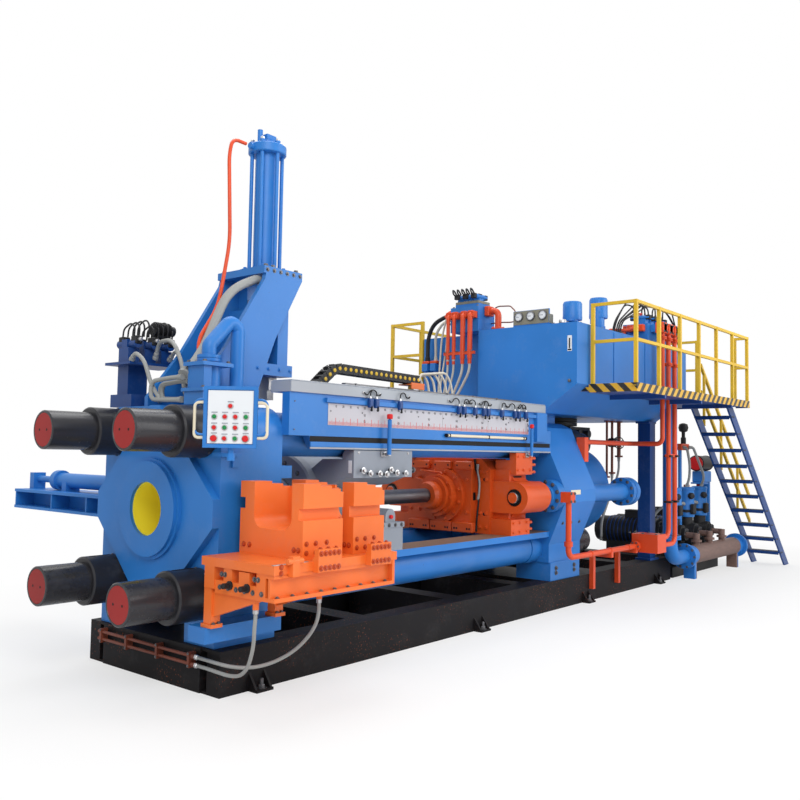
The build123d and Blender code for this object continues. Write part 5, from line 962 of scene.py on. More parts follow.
@dataclass
class ScaleBeam:
    """Scale on the beam: plate with lines and numbers, grey cap, limit switches, wires and guide rod."""

    out: float = -0.936
    front: float = 1.18
    back: float = 4.70
    low: float = 2.222
    high: float = 2.424
    cap_top: float = 2.60
    step: float = 0.01
    digit: tuple[float, float] = (0.009, 0.018)
    stroke: float = 0.0026
    switches: tuple[float, ...] = (1.71, 1.80, 2.16, 3.17, 3.267, 3.48, 3.657, 3.74, 4.03, 4.31, 4.40, 4.563)
    rod: tuple[float, float] = (2.985, 4.60)
    segments: tuple[str, ...] = ("abcdef", "bc", "abged", "abgcd", "fgbc", "afgcd", "afgedc", "abc",
                                 "abcdefg", "abcdfg")

    def build(self) -> None:
        """Makes plate, lines, numbers, cap, switches, wires and rod."""
        y = self.out
        plate = box((self.front, y - 0.004, self.low), (self.back, y - 0.0002, self.high), 0.001)
        placed("scale_plate", plate, SCALE_GREY)
        red, black = [], []
        for k in range(1, round((self.back - self.front) / self.step)):
            x = self.front + k * self.step
            tall = 0.066 if k % 10 == 0 else (0.044 if k % 5 == 0 else 0.03)
            width = 0.0028 if k % 10 == 0 else 0.0014
            red.append(self.mark(x - width, x + width, self.low + 0.004, self.low + 0.004 + tall))
            if k % 10 == 0:
                black += self.number(k, x - 0.012, self.high - 0.034)
            if k % 50 == 0:
                black += self.number(k, x - 0.012, self.low + 0.10)
                black += self.number(k, x - 0.012, self.low + 0.04)
        placed("scale_lines", red, SIGNAL_RED)
        placed("scale_numbers", black, BLACK_AND_SHADE)
        seams = [box((x - 0.001, y - 0.0046, self.low + 0.002),
                     (x + 0.001, y - 0.0040, self.high - 0.002), 0.0001)
                 for x in (self.front + 0.875, self.front + 1.75, self.front + 2.625)]
        spots = [(x, y - 0.004, self.low + 0.13) for x in np.linspace(self.front + 0.03, self.back - 0.03, 9)]
        spots += [(x, y, z) for x in (0.76, 5.03) for z in (2.17, 2.42)]
        placed("scale_screws", [*seams, bolts(spots, TO_NEAR, 0.012, False)], DARK_STEEL)
        self.cap()
        self.limit_switches()
        self.guide_rod()

    def mark(self, left: float, right: float, low: float, high: float) -> Surface:
        """One thin printed bar on the plate."""
        return box((left, self.out - 0.0050, low), (right, self.out - 0.0042, high), 0.0002)

    def number(self, value: int, left: float, low: float) -> list[Surface]:
        """Digits made of up to seven straight bars each, read from the operator's side."""
        wide, tall = self.digit
        half, mid = self.stroke / 2.0, low + tall / 2.0
        bars = []
        for place, figure in enumerate(str(value)):
            a = left + place * (wide + 2.0 * self.stroke)
            b = a + wide
            spans = {"a": (a, b, low + tall, low + tall), "b": (b, b, mid, low + tall), "c": (b, b, low, mid),
                     "d": (a, b, low, low), "e": (a, a, low, mid), "f": (a, a, mid, low + tall),
                     "g": (a, b, mid, mid)}
            for name in self.segments[int(figure)]:
                x0, x1, z0, z1 = spans[name]
                bars.append(self.mark(x0 - half, x1 + half, z0 - half, z1 + half))
        return bars

    def cap(self) -> None:
        """Grey cover of the cap: top, front edge and near face, and its bolts."""
        z = self.cap_top
        cover = [box((0.71, -0.953, z + 0.0003), (5.08, -0.70, z + 0.010), 0.002),
                 box((0.697, -0.9560, z - 0.098), (5.085, -0.9503, z - 0.001), 0.002),
                 box((0.6965, -0.9495, z - 0.098), (0.6998, -0.692, z - 0.001), 0.001)]
        placed("beam_cap_cover", cover, GREY)
        places = [(x, -0.83, z + 0.010) for x in np.arange(0.9, 5.0, 0.4)]
        placed("cap_bolts", bolts(places, UP, 0.018), DARK_STEEL)
        duct = [box((1.55, -0.80, z + 0.010), (4.75, -0.745, z + 0.045), 0.004)]
        duct += [box((x - 0.01, -0.81, z + 0.010), (x + 0.01, -0.735, z + 0.048), 0.002)
                 for x in np.arange(1.7, 4.7, 0.5)]
        placed("wire_duct", duct, DARK_STEEL)

    def limit_switches(self) -> None:
        """Switch bodies on the rail with glands, roller arms and wires that loop into the cap's face."""
        bodies, arms, glands, wires = [], [], [], []
        for index, x in enumerate(self.switches):
            bodies.append(box((x - 0.027, -1.003, 2.405), (x + 0.027, -0.9672, 2.495), 0.005))
            bodies.append(box((x - 0.021, -1.006, 2.425), (x + 0.021, -1.0025, 2.475), 0.002))
            arms.append(box((x - 0.006, -1.012, 2.385), (x + 0.006, -0.996, 2.42), 0.002))
            roller = lathe([(0.004, -0.006), (0.012, -0.006), (0.012, 0.006), (0.004, 0.006)], 14)
            arms.append(roller.facing(TO_NEAR, (x, -1.003, 2.382)))
            side = -1.0 if index % 2 else 1.0
            gland = lathe([(0.014, 0.0), (0.014, 0.012), (0.009, 0.022), (0.007, 0.026)], 12)
            glands.append(gland.at(x, -0.985, 2.4952))
            entry = (x + side * 0.165, -0.9562, 2.548)
            glands.append(stub(0.014, 0.008, 0.009, 0.012, 12).facing(TO_NEAR, entry))
            route = [(x, -0.985, 2.515), (x, -0.985, 2.558), (x + side * 0.045, -0.980, 2.585),
                     (x + side * 0.095, -0.975, 2.565), (x + side * 0.105, -0.972, 2.535),
                     (x + side * 0.150, -0.975, 2.530), (x + side * 0.165, -0.975, 2.548),
                     (x + side * 0.165, -0.962, 2.548)]
            wires.append(tube(route, 0.03, 6, 0.0062, 8))
        placed("limit_switches", bodies, DEEP_BLUE)
        placed("switch_arms", arms, BLACK_AND_SHADE)
        placed("switch_glands", glands, STEEL)
        placed("switch_wires", wires, RUBBER)

    def guide_rod(self) -> None:
        """Cream rod under the plate, held on three brackets, with a black cap at both ends."""
        y, z, r = -0.956, 2.170, 0.016
        start, end = self.rod
        rod = lathe([(r - 0.003, 0.0), (r, 0.003), (r, end - start - 0.003), (r - 0.003, end - start)], 20)
        placed("guide_rod", rod.facing(TO_REAR, (start, y, z)), CREAM)
        tip = lathe([(r + 0.004, 0.0), (r + 0.004, 0.025), (r + 0.001, 0.027)], 16)
        fittings = [tip.facing(TO_REAR, (start - 0.012, y, z)), tip.facing(TO_FRONT, (end + 0.012, y, z))]
        fittings += [box((x - 0.010, -0.9725, z - 0.019), (x + 0.010, self.out - 0.0003, z + 0.019), 0.002)
                     for x in (start + 0.05, 0.5 * (start + end), end - 0.05)]
        placed("guide_rod_brackets", fittings, BLACK_AND_SHADE)


@dataclass
class UpperRails:
    """Dark band of painted shade where the groove's shadow falls, grey strip of painted highlight along the
    lower edge, and lip along the outer faces of the two upper rails.
    """

    low: float = 2.0
    # Heights of the dark band of painted shade.
    groove: tuple[float, float] = (2.066, 2.116)
    lip: float = 0.015

    def build(self) -> None:
        """Makes the strips of both rails."""
        corner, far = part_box("upper_rails")
        shade_strips, lips, highlight_strips = [], [], []
        for side in SIDES:
            face = side * far[1]
            x0, x1 = corner[0] + 0.01, far[0] - 0.01
            # Dark band: painted shade. Grey lower strip: painted highlight standing for the reflection on the
            # edge.
            for strips, depth, low, high in ((shade_strips, 0.001, *self.groove),
                                             (lips, self.lip, self.low + 0.018, 2.0655),
                                             (highlight_strips, self.lip - 0.002, self.low + 0.0006, self.low + 0.0175)):
                near, away = sorted((face + side * 0.0003, face + side * depth))
                strips.append(box((x0, near, low), (x1, away, high), 0.0015))
        placed("rail_painted_shade", shade_strips, BLACK_AND_SHADE)
        placed("rail_lips", lips, BLUE)
        placed("rail_painted_highlights", highlight_strips, GREY)


@dataclass
class Pointers:
    """Upright pointers of container and crosshead, red at the top, reaching over the scale."""

    y: float = -1.000

    def pointer(self, name: str, body: str, x: float, face: float, heights: tuple[float, float],
                sizes: tuple[float, float]) -> None:
        """One pointer.

        Args:
            name: Start of its pieces' names.
            body: The body it moves with.
            x: Its place along the press.
            face: Y of the face that it is bolted to.
            heights: Bottom and top of the post.
            sizes: Radii of the post and of its red knob.
        """
        low, high = heights
        post_radius, knob_radius = sizes
        foot = box((x - 0.055, face - 0.022, low - 0.02), (x + 0.012, face - 0.0004, low + 0.032), 0.003)
        arm = box((x - 0.016, self.y - 0.010, low - 0.012), (x + 0.016, face - 0.020, low + 0.020), 0.003)
        placed(name + "_pointer_foot", [foot, arm], STEEL, body)
        length = high - low
        post = lathe([(post_radius, 0.0), (post_radius, length - 0.01),
                      (0.008, length)], 20).at(x, self.y, low)
        placed(name + "_pointer", post, BLUE, body)
        knob = lathe([(knob_radius - 0.004, 0.0), (knob_radius, 0.004), (knob_radius, 0.040),
                      (knob_radius - 0.006, 0.048), (0.004, 0.050)], 24)
        placed(name + "_pointer_knob", knob.at(x, self.y, high), SIGNAL_RED, body)
        heads = bolts([(x - 0.040, face - 0.022, low + 0.006)], TO_NEAR, 0.014)
        placed(name + "_pointer_bolt", heads, DARK_STEEL, body)

    def build(self) -> None:
        """Makes both pointers."""
        self.pointer("container", CONTAINER, 1.985, -0.930, (1.955, 2.308), (0.021, 0.030))
        self.pointer("crosshead", CROSSHEAD, 4.680, -0.936, (1.960, 2.300), (0.019, 0.026))


class Button(Enum):
    """Kinds of push button on the control panel: colour, radius and stand-out."""

    GO = ("green", 0.017, 0.020)
    STOP = ("red", 0.017, 0.020)
    BIG_STOP = ("red", 0.025, 0.030)


@dataclass
class ControlPanel:
    """White face of the control panel with its buttons, bare label plates and the two cream handles."""

    place: tuple[float, float, float] = (-0.100, -1.120, 2.240)
    turn: float = -50.2
    width: float = 0.428
    height: float = 0.490
    column_pitch: float = 0.0835
    rows: tuple[tuple[Button, ...], ...] = (
        (Button.GO, Button.STOP, Button.STOP, Button.GO),
        (Button.STOP, Button.GO, Button.STOP, Button.GO),
        (Button.BIG_STOP, Button.STOP, Button.GO, Button.BIG_STOP),
    )

    def frame_matrix(self) -> np.ndarray:
        """Matrix from the panel's own space (X across, Y into the panel, Z up) to the part's."""
        return np.array(Matrix.Translation(self.place) @ Matrix.Rotation(math.radians(self.turn), 4, "Z"))

    def build(self) -> None:
        """Makes the face, the buttons and the handles."""
        here = self.frame_matrix()
        half_w, half_h = self.width / 2 - 0.034, self.height / 2 - 0.034
        face = box((-half_w, 0.0035, -half_h), (half_w, 0.0118, half_h), 0.002)
        rim_out, rim_in = self.width / 2 - 0.001, self.width / 2 - 0.030
        tall_out, tall_in = self.height / 2 - 0.001, self.height / 2 - 0.030
        front, back, edge = -0.0015, -0.0003, 0.0004
        strips = [box((-rim_out, front, low), (rim_out, back, high), edge)
                  for low, high in ((-tall_out, -tall_in), (tall_in, tall_out))]
        strips += [box((left, front, -tall_in), (right, back, tall_in), edge)
                   for left, right in ((-rim_out, -rim_in), (rim_in, rim_out))]
        placed("panel_face", face.moved(here), WHITE)
        placed("panel_rim", joined(strips).moved(here), BLUE)
        self.buttons(here)
        grips = []
        for side in SIDES:
            x0, x1 = side * (self.width / 2 - 0.004), side * (self.width / 2 + 0.075)
            route = [(x0, 0.03, -0.165), (x1, 0.03, -0.165), (x1, 0.03, 0.115), (x0, 0.03, 0.115)]
            grips.append(tube(route, 0.05, 8, 0.0125, 16))
        placed("panel_handles", joined(grips).moved(here), CREAM)

    def buttons(self, here: np.ndarray) -> None:
        """Makes the buttons, their collars and the bare label plates above them."""
        caps = {"red": [], "green": []}
        collars, plates = [], []
        grid = [(c, 0.002 - 0.086 * r, kind) for r, row in enumerate(self.rows) for c, kind in enumerate(row)]
        spots = [(0.0, 0.087, Button.STOP)] + [((c - 1.5) * self.column_pitch, z, kind)
                                               for c, z, kind in grid]
        for x, z, kind in spots:
            colour, radius, out = kind.value
            turn = turned_to(TO_NEAR, (x, 0.0035, z))
            edge = radius + 0.007
            collars.append(lathe([(edge, 0.0), (edge, 0.006), (edge - 0.004, 0.009),
                                  (0.004, 0.009)], 24).moved(turn))
            cap = lathe([(radius, 0.008), (radius, out - 0.005), (radius - 0.004, out),
                         (0.002, out + 0.001)], 24)
            caps[colour].append(cap.moved(turn))
            plates.append(box((x - 0.024, 0.0020, z + radius + 0.012),
                              (x + 0.024, 0.0036, z + radius + 0.022), 0.0004))
        placed("panel_buttons_red", joined(caps["red"]).moved(here), SIGNAL_RED)
        placed("panel_buttons_green", joined(caps["green"]).moved(here), SIGNAL_GREEN)
        placed("panel_collars", joined(collars).moved(here), STEEL)
        placed("panel_plates", joined(plates).moved(here), GREY)


@dataclass
class ShearLines:
    """Pipes and hoses of the butt shear: thin orange supply pipe and a thick grey hose."""

    x: float = 1.18

    def build(self) -> None:
        """Makes both lines and the bolts of the tower."""
        line = [(0.90, 0.0, 4.985), (0.72, -0.02, 4.98), (0.66, -0.05, 4.80), (0.66, -0.10, 3.95),
                (0.50, -0.16, 3.30), (0.22, -0.25, 2.95), (0.20, -0.30, 2.75)]
        placed("shear_supply_pipe", tube(line, 0.16, 8, 0.018, 12), PIPE_ORANGE)
        thick = [(1.02, -0.22, 3.56), (0.90, -0.24, 3.62), (0.55, -0.24, 3.45), (0.35, -0.26, 3.05),
                 (0.20, -0.30, 2.80), (0.02, -0.34, 2.62)]
        placed("shear_hose", hose(thick, 0.042, 0.25), HOSE_GREY)
        head = [(x, s * 0.31, 3.7303) for s in SIDES for x in (0.93, 1.02, 1.32)]
        side = [(x, -0.3503, 3.695) for x in np.linspace(0.92, 1.34, 6)]
        placed("shear_head_bolts", [bolts(head, UP, 0.04), bolts(side, TO_NEAR, 0.022)], DARK_STEEL)
        foot = [(1.18 + sx * 0.135, sy * 0.135, 3.776) for sx in SIDES for sy in SIDES]
        brackets = [(x, -0.3503, 2.75) for x in np.linspace(0.83, 1.24, 4)]
        placed("shear_foot_bolts", [bolts(foot, UP, 0.034), bolts(brackets, TO_NEAR, 0.022)], BLUE)
        caps = joined(stub(0.021, 0.024, 0.012, 0.03, 6).facing(UP, p)
                      for p in circle_places((self.x, 0, 5.058), 2, 0.152, 6, math.radians(30)))
        placed("shear_tie_nuts", caps, STEEL)


@dataclass
class FarValves:
    """Valves, small motor and hoses on the far stand of the front platen."""

    z: float = 2.786

    def build(self) -> None:
        """Makes the coils, the motor fins and the hoses."""
        coils, ends = [], []
        for x in (0.11, 0.29, 0.47):
            for y0, y1 in ((0.50, 0.585), (0.705, 0.79)):
                coils.append(box((x - 0.036, y0, self.z + 0.17), (x + 0.036, y1, self.z + 0.245), 0.005))
            end = lathe([(0.012, 0.0), (0.02, 0.0), (0.02, 0.03), (0.012, 0.034)], 12)
            ends.append(end.facing(TO_NEAR, (x, 0.50, self.z + 0.21)))
        placed("pilot_coils", coils, BLACK)
        placed("pilot_ends", ends, STEEL)
        fin = slug(0.075, 0.006, 20)
        fins = [fin.facing(TO_REAR, (0.35 + k * 0.016, 0.62, self.z + 0.34)) for k in range(10)]
        case = lathe([(0.02, 0.0), (0.064, 0.004), (0.064, 0.19), (0.05, 0.20), (0.05, 0.235),
                      (0.02, 0.24)], 24)
        body = case.facing(TO_REAR, (0.33, 0.62, self.z + 0.34))
        foot = box((0.36, 0.56, self.z + 0.255), (0.50, 0.68, self.z + 0.285), 0.004)
        placed("pilot_motor", [*fins, body, foot], BLACK)
        grey = [
            [(0.05, 0.52, 2.80), (0.02, 0.42, 2.86), (0.0, 0.24, 2.78), (0.02, 0.15, 2.55),
             (0.06, 0.05, 2.40)],
            [(0.45, 0.50, 2.83), (0.42, 0.36, 2.92), (0.36, 0.18, 2.80), (0.30, 0.05, 2.52),
             (0.26, -0.08, 2.40)],
            [(0.29, 0.50, 2.83), (0.26, 0.40, 2.98), (0.20, 0.10, 2.98), (0.16, -0.12, 2.72),
             (0.16, -0.20, 2.42)],
            [(0.58, 0.50, 2.80), (0.62, 0.30, 2.84), (0.60, 0.12, 2.70), (0.56, -0.05, 2.42)],
        ]
        placed("platen_hoses_grey", (hose(route, 0.019, 0.16) for route in grey), HOSE_GREY)
        blue = [
            [(0.40, 0.45, 2.40), (0.42, 0.30, 2.66), (0.44, 0.08, 2.66), (0.46, -0.10, 2.42)],
            [(0.48, 0.45, 2.40), (0.50, 0.25, 2.58), (0.52, 0.0, 2.58), (0.53, -0.18, 2.42)],
        ]
        placed("platen_hoses_dark", (hose(route, 0.024, 0.16) for route in blue), RUBBER)
        self.loops()

    def loops(self) -> None:
        """Hoses in front of the platen's valve and the bundle of coil leads over the stand."""
        turns = []
        for x, rise, reach in ((0.005, 0.0, 0.13), (0.075, 0.03, 0.06), (0.150, 0.015, 0.20)):
            low, high = 2.405 + rise * 0.3, 2.600 - rise
            turns.append([(x, -0.3352, high), (x, -0.18, high), (x, reach, high - 0.02),
                          (x, reach, low + 0.01), (x, -0.18, low), (x, -0.3352, low)])
        placed("valve_hose_loops", (hose(route, 0.020, 0.11) for route in turns), HOSE_GREY)
        leads = []
        for k in range(9):
            x = 0.08 + 0.052 * k
            lift = 0.06 + 0.05 * ((k * 5) % 4) / 3.0
            leads.append(tube([(x, 0.54, self.z + 0.244), (x, 0.53, self.z + 0.26 + lift),
                               (x + 0.03, 0.64, self.z + 0.32 + lift), (x + 0.04, 0.78, self.z + 0.27 + lift),
                               (x + 0.02, 0.76, self.z + 0.244)], 0.07, 7, 0.0085, 8))
        placed("pilot_leads", leads, RUBBER)


@dataclass
class PlatenValve:
    """Bolts and edges of the valve body on the front platen and of its pipe's flange."""

    x: float = 0.150
    y: float = -0.500
    z: float = 2.3613

    def build(self) -> None:
        """Makes the bolts of the flanges."""
        corners = [(sx, sy) for sx in SIDES for sy in SIDES]
        low = [(self.x + sx * 0.145, self.y + sy * 0.125, self.z + 0.140) for sx, sy in corners]
        high = [(self.x + sx * 0.125, self.y + sy * 0.110, self.z + 0.362) for sx, sy in corners]
        pipe_foot = circle_places((self.x + 0.310, self.y, self.z + 0.045), 2, 0.095, 6)
        parts = [bolts(low, UP, 0.026), bolts(high, UP, 0.030), bolts(pipe_foot, UP, 0.022)]
        placed("platen_valve_bolts", parts, DARK_STEEL)
        bands = [band(0.084, 0.100, 0.034, 0.004, 28).at(self.x, self.y, self.z + h) for h in (0.37, 0.40)]
        placed("platen_valve_rings", bands, BLUE)


@dataclass
class CableChain:
    """Cable chain that runs in an arc from the platen back along the press, with its bracket and tray."""

    y: float = -0.46
    route: tuple[tuple[float, float], ...] = ((1.500, 2.640), (1.610, 2.735), (1.720, 2.815), (3.030, 2.790))
    links: int = 21
    half_pitch: float = 0.039
    half_height: float = 0.050

    def build(self) -> None:
        """Makes the links, their pins and the bracket."""
        path = rounded_path([(x, self.y, z) for x, z in self.route], 0.14, 10)
        lengths = np.concatenate([[0.0], np.cumsum(np.linalg.norm(np.diff(path, axis=0), axis=1))])
        spots = np.linspace(0.0, lengths[-1], self.links)
        middle = np.stack([np.interp(spots, lengths, path[:, k]) for k in range(3)], axis=1)
        run = np.gradient(middle, axis=0)
        plates, pins = [], []
        for place, ahead in zip(middle, run):
            angle = math.atan2(ahead[2], ahead[0])
            turn = np.array(Matrix.Translation(place) @ Matrix.Rotation(-angle, 4, "Y"))
            for side in SIDES:
                plates.append(box((-self.half_pitch, side * 0.055 - 0.005, -self.half_height),
                                  (self.half_pitch, side * 0.055 + 0.005,
                                   self.half_height), 0.008).moved(turn))
                pin = stub(0.020, 0.0035, 0.015, 0.006, 16).facing((0, side, 0), (0.0, side * 0.060, 0.0))
                pins.append(pin.moved(turn))
            for level in (-self.half_height + 0.003, self.half_height - 0.011):
                plates.append(box((-0.012, -0.052, level), (0.012, 0.052, level + 0.008), 0.001).moved(turn))
        placed("chain_links", plates, BLACK)
        placed("chain_pins", pins, YELLOW)
        cables = joined(pipe(middle + np.array([0, dy, dz]), 0.012, 8)
                        for dy, dz in ((-0.03, 0.0), (0.0, -0.008), (0.03, 0.004)))
        placed("chain_cables", cables, RUBBER)
        bracket = [box((2.86, self.y - 0.09, 2.724), (3.09, self.y + 0.09, 2.738), 0.002),
                   box((2.86, self.y - 0.10, 2.68), (3.09, self.y - 0.088, 2.75), 0.002)]
        placed("chain_bracket", bracket, ORANGE)
        tray = [box((1.38, self.y - 0.02, 2.355), (1.44, self.y + 0.02, 2.64), 0.003),
                box((2.94, self.y - 0.02, 2.345), (3.00, self.y + 0.02, 2.7235), 0.003)]
        placed("chain_posts", tray, YELLOW)
        bundle = []
        for k in range(6):
            y, x = self.y + 0.05 - 0.02 * k, 3.10 + 0.085 * k
            bundle.append(hose([(3.045, y, 2.785), (3.08, y, 2.80 + 0.012 * k),
                                (x, y - 0.02, 2.86 + 0.010 * k), (x + 0.07, y - 0.04, 2.80),
                                (x + 0.08, y - 0.07, 2.62), (x + 0.03, -0.60, 2.4205)], 0.013, 0.08))
        placed("chain_hoses", bundle, HOSE_PALE)
        placed("chain_hose_block", box((3.06, -0.68, 2.3455), (3.64, -0.54, 2.4200), 0.005), BLUE)


@dataclass
class Container:
    """Bolts, cover plates and the red-tipped hood fitting of the container housing."""

    front: float = 1.450
    flank: float = 0.9302
    stud_face: float = 0.9700
    studs: tuple[tuple[float, float], ...] = ((1.65, 1.800), (1.75, 1.772), (1.89, 1.768), (1.99, 1.762),
                                              (2.06, 1.805), (2.15, 1.775), (2.29, 1.768))
    rear_stud: tuple[float, float, float] = (2.4302, 0.905, 1.800)

    def build(self) -> None:
        """Makes the container's small pieces."""
        x = self.front
        heads, shanks = [], []
        for s in SIDES:
            for px, z in self.studs:
                shanks.append(slug(0.013, 0.040, 12).facing((0, s, 0), (px, s * self.flank, z)))
                heads.append(bolts([(px, s * self.stud_face, z)], (0, s, 0), 0.034))
            px, y, z = self.rear_stud
            shanks.append(slug(0.013, 0.045, 12).facing(TO_REAR, (px, s * y, z)))
            heads.append(bolts([(px + 0.0448, s * y, z)], TO_REAR, 0.034))
            heads.append(bolts([(px, s * self.flank, 1.970) for px in (1.62, 2.36)], (0, s, 0), 0.014))
        low = [bolts([(px, s * 0.938, 1.255)], (0, s, 0), 0.022) for s in SIDES
               for px in np.linspace(x + 0.53, x + 0.82, 4)]
        ring = [bolts([p], TO_FRONT, 0.030) for p in circle_places((x, 0, AXIS_Z), 0, 0.40, 12, 0.2)]
        back = [bolts([p], TO_REAR, 0.030) for p in circle_places((x + 0.90, 0, AXIS_Z), 0, 0.40, 12, 0.2)]
        placed("container_bolts", [*low, *ring, *back], DARK_STEEL, CONTAINER)
        placed("container_studs", shanks, DARK_STEEL, CONTAINER)
        placed("container_stud_heads", heads, STEEL, CONTAINER)
        placed("container_label", box((x + 0.0940, -0.905, 1.775), (x + 0.0997, -0.865, 1.895), 0.001), WHITE,
               CONTAINER)
        tips = [stub(0.020, 0.022, 0.012, 0.028, 16).facing((0, s, 0), (x + 0.675, s * 0.910, 1.335))
                for s in SIDES]
        placed("container_tips", tips, SIGNAL_RED, CONTAINER)
        lug = lathe([(0.022, 0.0), (0.022, 0.03), (0.036, 0.034), (0.036, 0.05), (0.01, 0.054)], 16)
        lift = [lug.at(x + dx, 0.0, 1.9555) for dx in (0.06, 0.84)]
        placed("container_lugs", lift, SHADED_CONTAINER_GREY, CONTAINER)


@dataclass
class Crosshead:
    """Bolts, adjusting screws, cover and hanging cable of the crosshead."""

    body_front: float = 4.310
    plate_front: float = 4.2097
    boss_front: float = 4.1500
    holder_front: float = 4.040
    flank: float = 0.9362
    rod_y: float = 0.960
    bar_front: float = 4.140
    head_bar_front: float = 4.160
    plate_seat: float = 4.2185

    def build(self) -> None:
        """Makes the crosshead's small pieces."""
        x = self.body_front
        plate = [(self.plate_front, s * y, AXIS_Z + t * z) for s in SIDES for t in SIDES
                 for y, z in ((0.37, 0.37), (0.37, 0.20), (0.20, 0.385))]
        boss = circle_places((self.boss_front, 0, AXIS_Z), 0, 0.30, 12, 0.26)
        face = [(x - 0.0002, s * y, z) for s in SIDES for y in (0.50, 0.59) for z in (1.08, 1.25, 1.66, 1.76)]
        cleats = [(x - 0.0902, y + dy, z) for y in (-0.30, 0.0, 0.30) for dy in (-0.035, 0.035)
                  for z in (1.075, 1.835)]
        heads = [bolts(plate, TO_FRONT, 0.034), bolts(boss, TO_FRONT, 0.030), bolts(face, TO_FRONT, 0.030),
                 bolts(cleats, TO_FRONT, 0.026)]
        holder = circle_places((self.holder_front, 0, AXIS_Z), 0, 0.238, 8, 0.1)
        heads.append(bolts(holder, TO_FRONT, 0.022))
        for s in SIDES:
            sides = [(px, s * self.flank, z) for px in (4.47, 4.60, 4.75) for z in (1.79, 1.95)]
            sides += [(px, s * self.flank, z) for px in (4.38, 4.52, 4.68) for z in (1.04, 1.15)]
            heads.append(bolts(sides, (0, s, 0), 0.026))
        placed("crosshead_bolts", heads, SHADED_CROSSHEAD_ORANGE, CROSSHEAD)
        screws = []
        for s in SIDES:
            for y in (0.86, 0.91):
                for z, px in ((1.76, 4.80), (1.85, 4.80), (1.93, 4.80), (1.06, 4.73), (1.14, 4.73)):
                    here = turned_to(TO_REAR, (px + 0.0002, s * y, z))
                    screws.append(stub(0.019, 0.095, 0.014, 0.100, 14).moved(here))
                    screws.append(bolt(0.046, False).moved(here))
        placed("crosshead_adjusters", screws, SHADED_CROSSHEAD_ORANGE, CROSSHEAD)
        self.rod_ends()
        self.front_fittings()
        self.cable()

    def rod_ends(self) -> None:
        """Ends of the side rods in their holes: dark ring of painted shade in the gap, bright rim and painted
        face with a centre mark.
        """
        gap_shades, rims, faces = [], [], []
        for s in SIDES:
            here = turned_to(TO_FRONT, (4.3498, s * self.rod_y, AXIS_Z))
            # Dark ring of painted shade in the gap round the rod.
            gap_shades.append(band(0.066, 0.096, 0.0015, 0.0, 40).moved(here))
            rims.append(lathe([(0.066, 0.0), (0.066, 0.034), (0.063, 0.036), (0.055, 0.036), (0.055, 0.0)],
                              40, True).moved(here))
            faces.append(lathe([(0.0635, 0.0355), (0.0635, 0.0375), (0.010, 0.0378), (0.008, 0.034),
                                (0.001, 0.034)], 40).moved(here))
        placed("rod_end_gap_shades", gap_shades, BLACK_AND_SHADE, CROSSHEAD)
        placed("rod_end_rims", rims, STEEL, CROSSHEAD)
        placed("rod_end_faces", faces, SHADED_CROSSHEAD_ORANGE, CROSSHEAD)

    def front_fittings(self) -> None:
        """Clamp bars with socket screws along the front plate's foot and head, grease pipes, and dark plates
        of painted shade for the side windows.
        """
        bars, sockets = [], []
        foot, head = self.bar_front - 0.0002, self.head_bar_front - 0.0002
        for y0, y1 in ((-0.50, -0.19), (-0.17, 0.15), (0.17, 0.50)):
            bars.append(box((self.bar_front, y0, 1.012), (self.plate_seat, y1, 1.135), 0.010))
            bars.append(box((self.head_bar_front, y0 + 0.03, 1.780),
                            (self.plate_seat, y1 - 0.03, 1.880), 0.010))
            for y in (y0 + 0.06, y1 - 0.06):
                for dy in (-0.018, 0.018):
                    sockets.append(slug(0.013, 0.0012, 14).facing(TO_FRONT, (foot, y + dy, 1.060)))
                sockets.append(slug(0.012, 0.0012, 14).facing(TO_FRONT, (head, y, 1.830)))
        for z in (1.24, 1.66):
            sockets.append(slug(0.020, 0.0012, 16).facing(TO_FRONT, (self.body_front - 0.0002, -0.56, z)))
        placed("crosshead_clamp_bars", bars, SHADED_CROSSHEAD_ORANGE, CROSSHEAD)
        # Dark plates of painted shade in the side windows.
        window_shade = [box((4.50, s * 0.8560 - 0.004, 1.60), (4.68, s * 0.8560 + 0.004, 1.71), 0.002)
                  for s in SIDES]
        placed("crosshead_sockets_and_window_shade", [*sockets, *window_shade], BLACK_AND_SHADE, CROSSHEAD)
        lines = [[(4.215, 0.31, 1.760), (4.120, 0.30, 1.755), (4.120, 0.11, 1.742), (4.110, -0.04, 1.735),
                  (4.095, -0.07, 1.715)],
                 [(4.215, 0.36, 1.660), (4.110, 0.35, 1.660), (4.105, 0.25, 1.640), (4.100, 0.215, 1.600)]]
        placed("grease_pipes", (tube(line, 0.06, 7, 0.012, 10) for line in lines), SHADED_CROSSHEAD_ORANGE,
               CROSSHEAD)

    def cable(self) -> None:
        """Black and grey cables that hang in front of the body from clip to clip, and their plug box."""
        black = [(4.290, -0.425, 1.905), (4.285, -0.435, 1.800), (4.285, -0.490, 1.690),
                 (4.285, -0.500, 1.450), (4.285, -0.475, 1.250), (4.290, -0.455, 1.030)]
        grey = [(4.290, -0.470, 1.840), (4.270, -0.480, 1.760), (4.270, -0.515, 1.640),
                (4.270, -0.510, 1.500), (4.285, -0.485, 1.420)]
        lead = [(4.290, -0.400, 1.800), (4.280, -0.395, 1.700), (4.280, -0.395, 1.5002)]
        placed("crosshead_cables", [hose(black, 0.011, 0.10), hose(lead, 0.007, 0.05)], RUBBER, CROSSHEAD)
        placed("crosshead_cable_sleeve", hose(grey, 0.012, 0.08), HOSE_GREY, CROSSHEAD)
        plug = [box((4.250, -0.435, 1.400), (4.3095, -0.365, 1.500), 0.006),
                box((4.246, -0.425, 1.418), (4.2502, -0.375, 1.482), 0.002)]
        placed("crosshead_plug_box", plug, BLACK_AND_SHADE, CROSSHEAD)


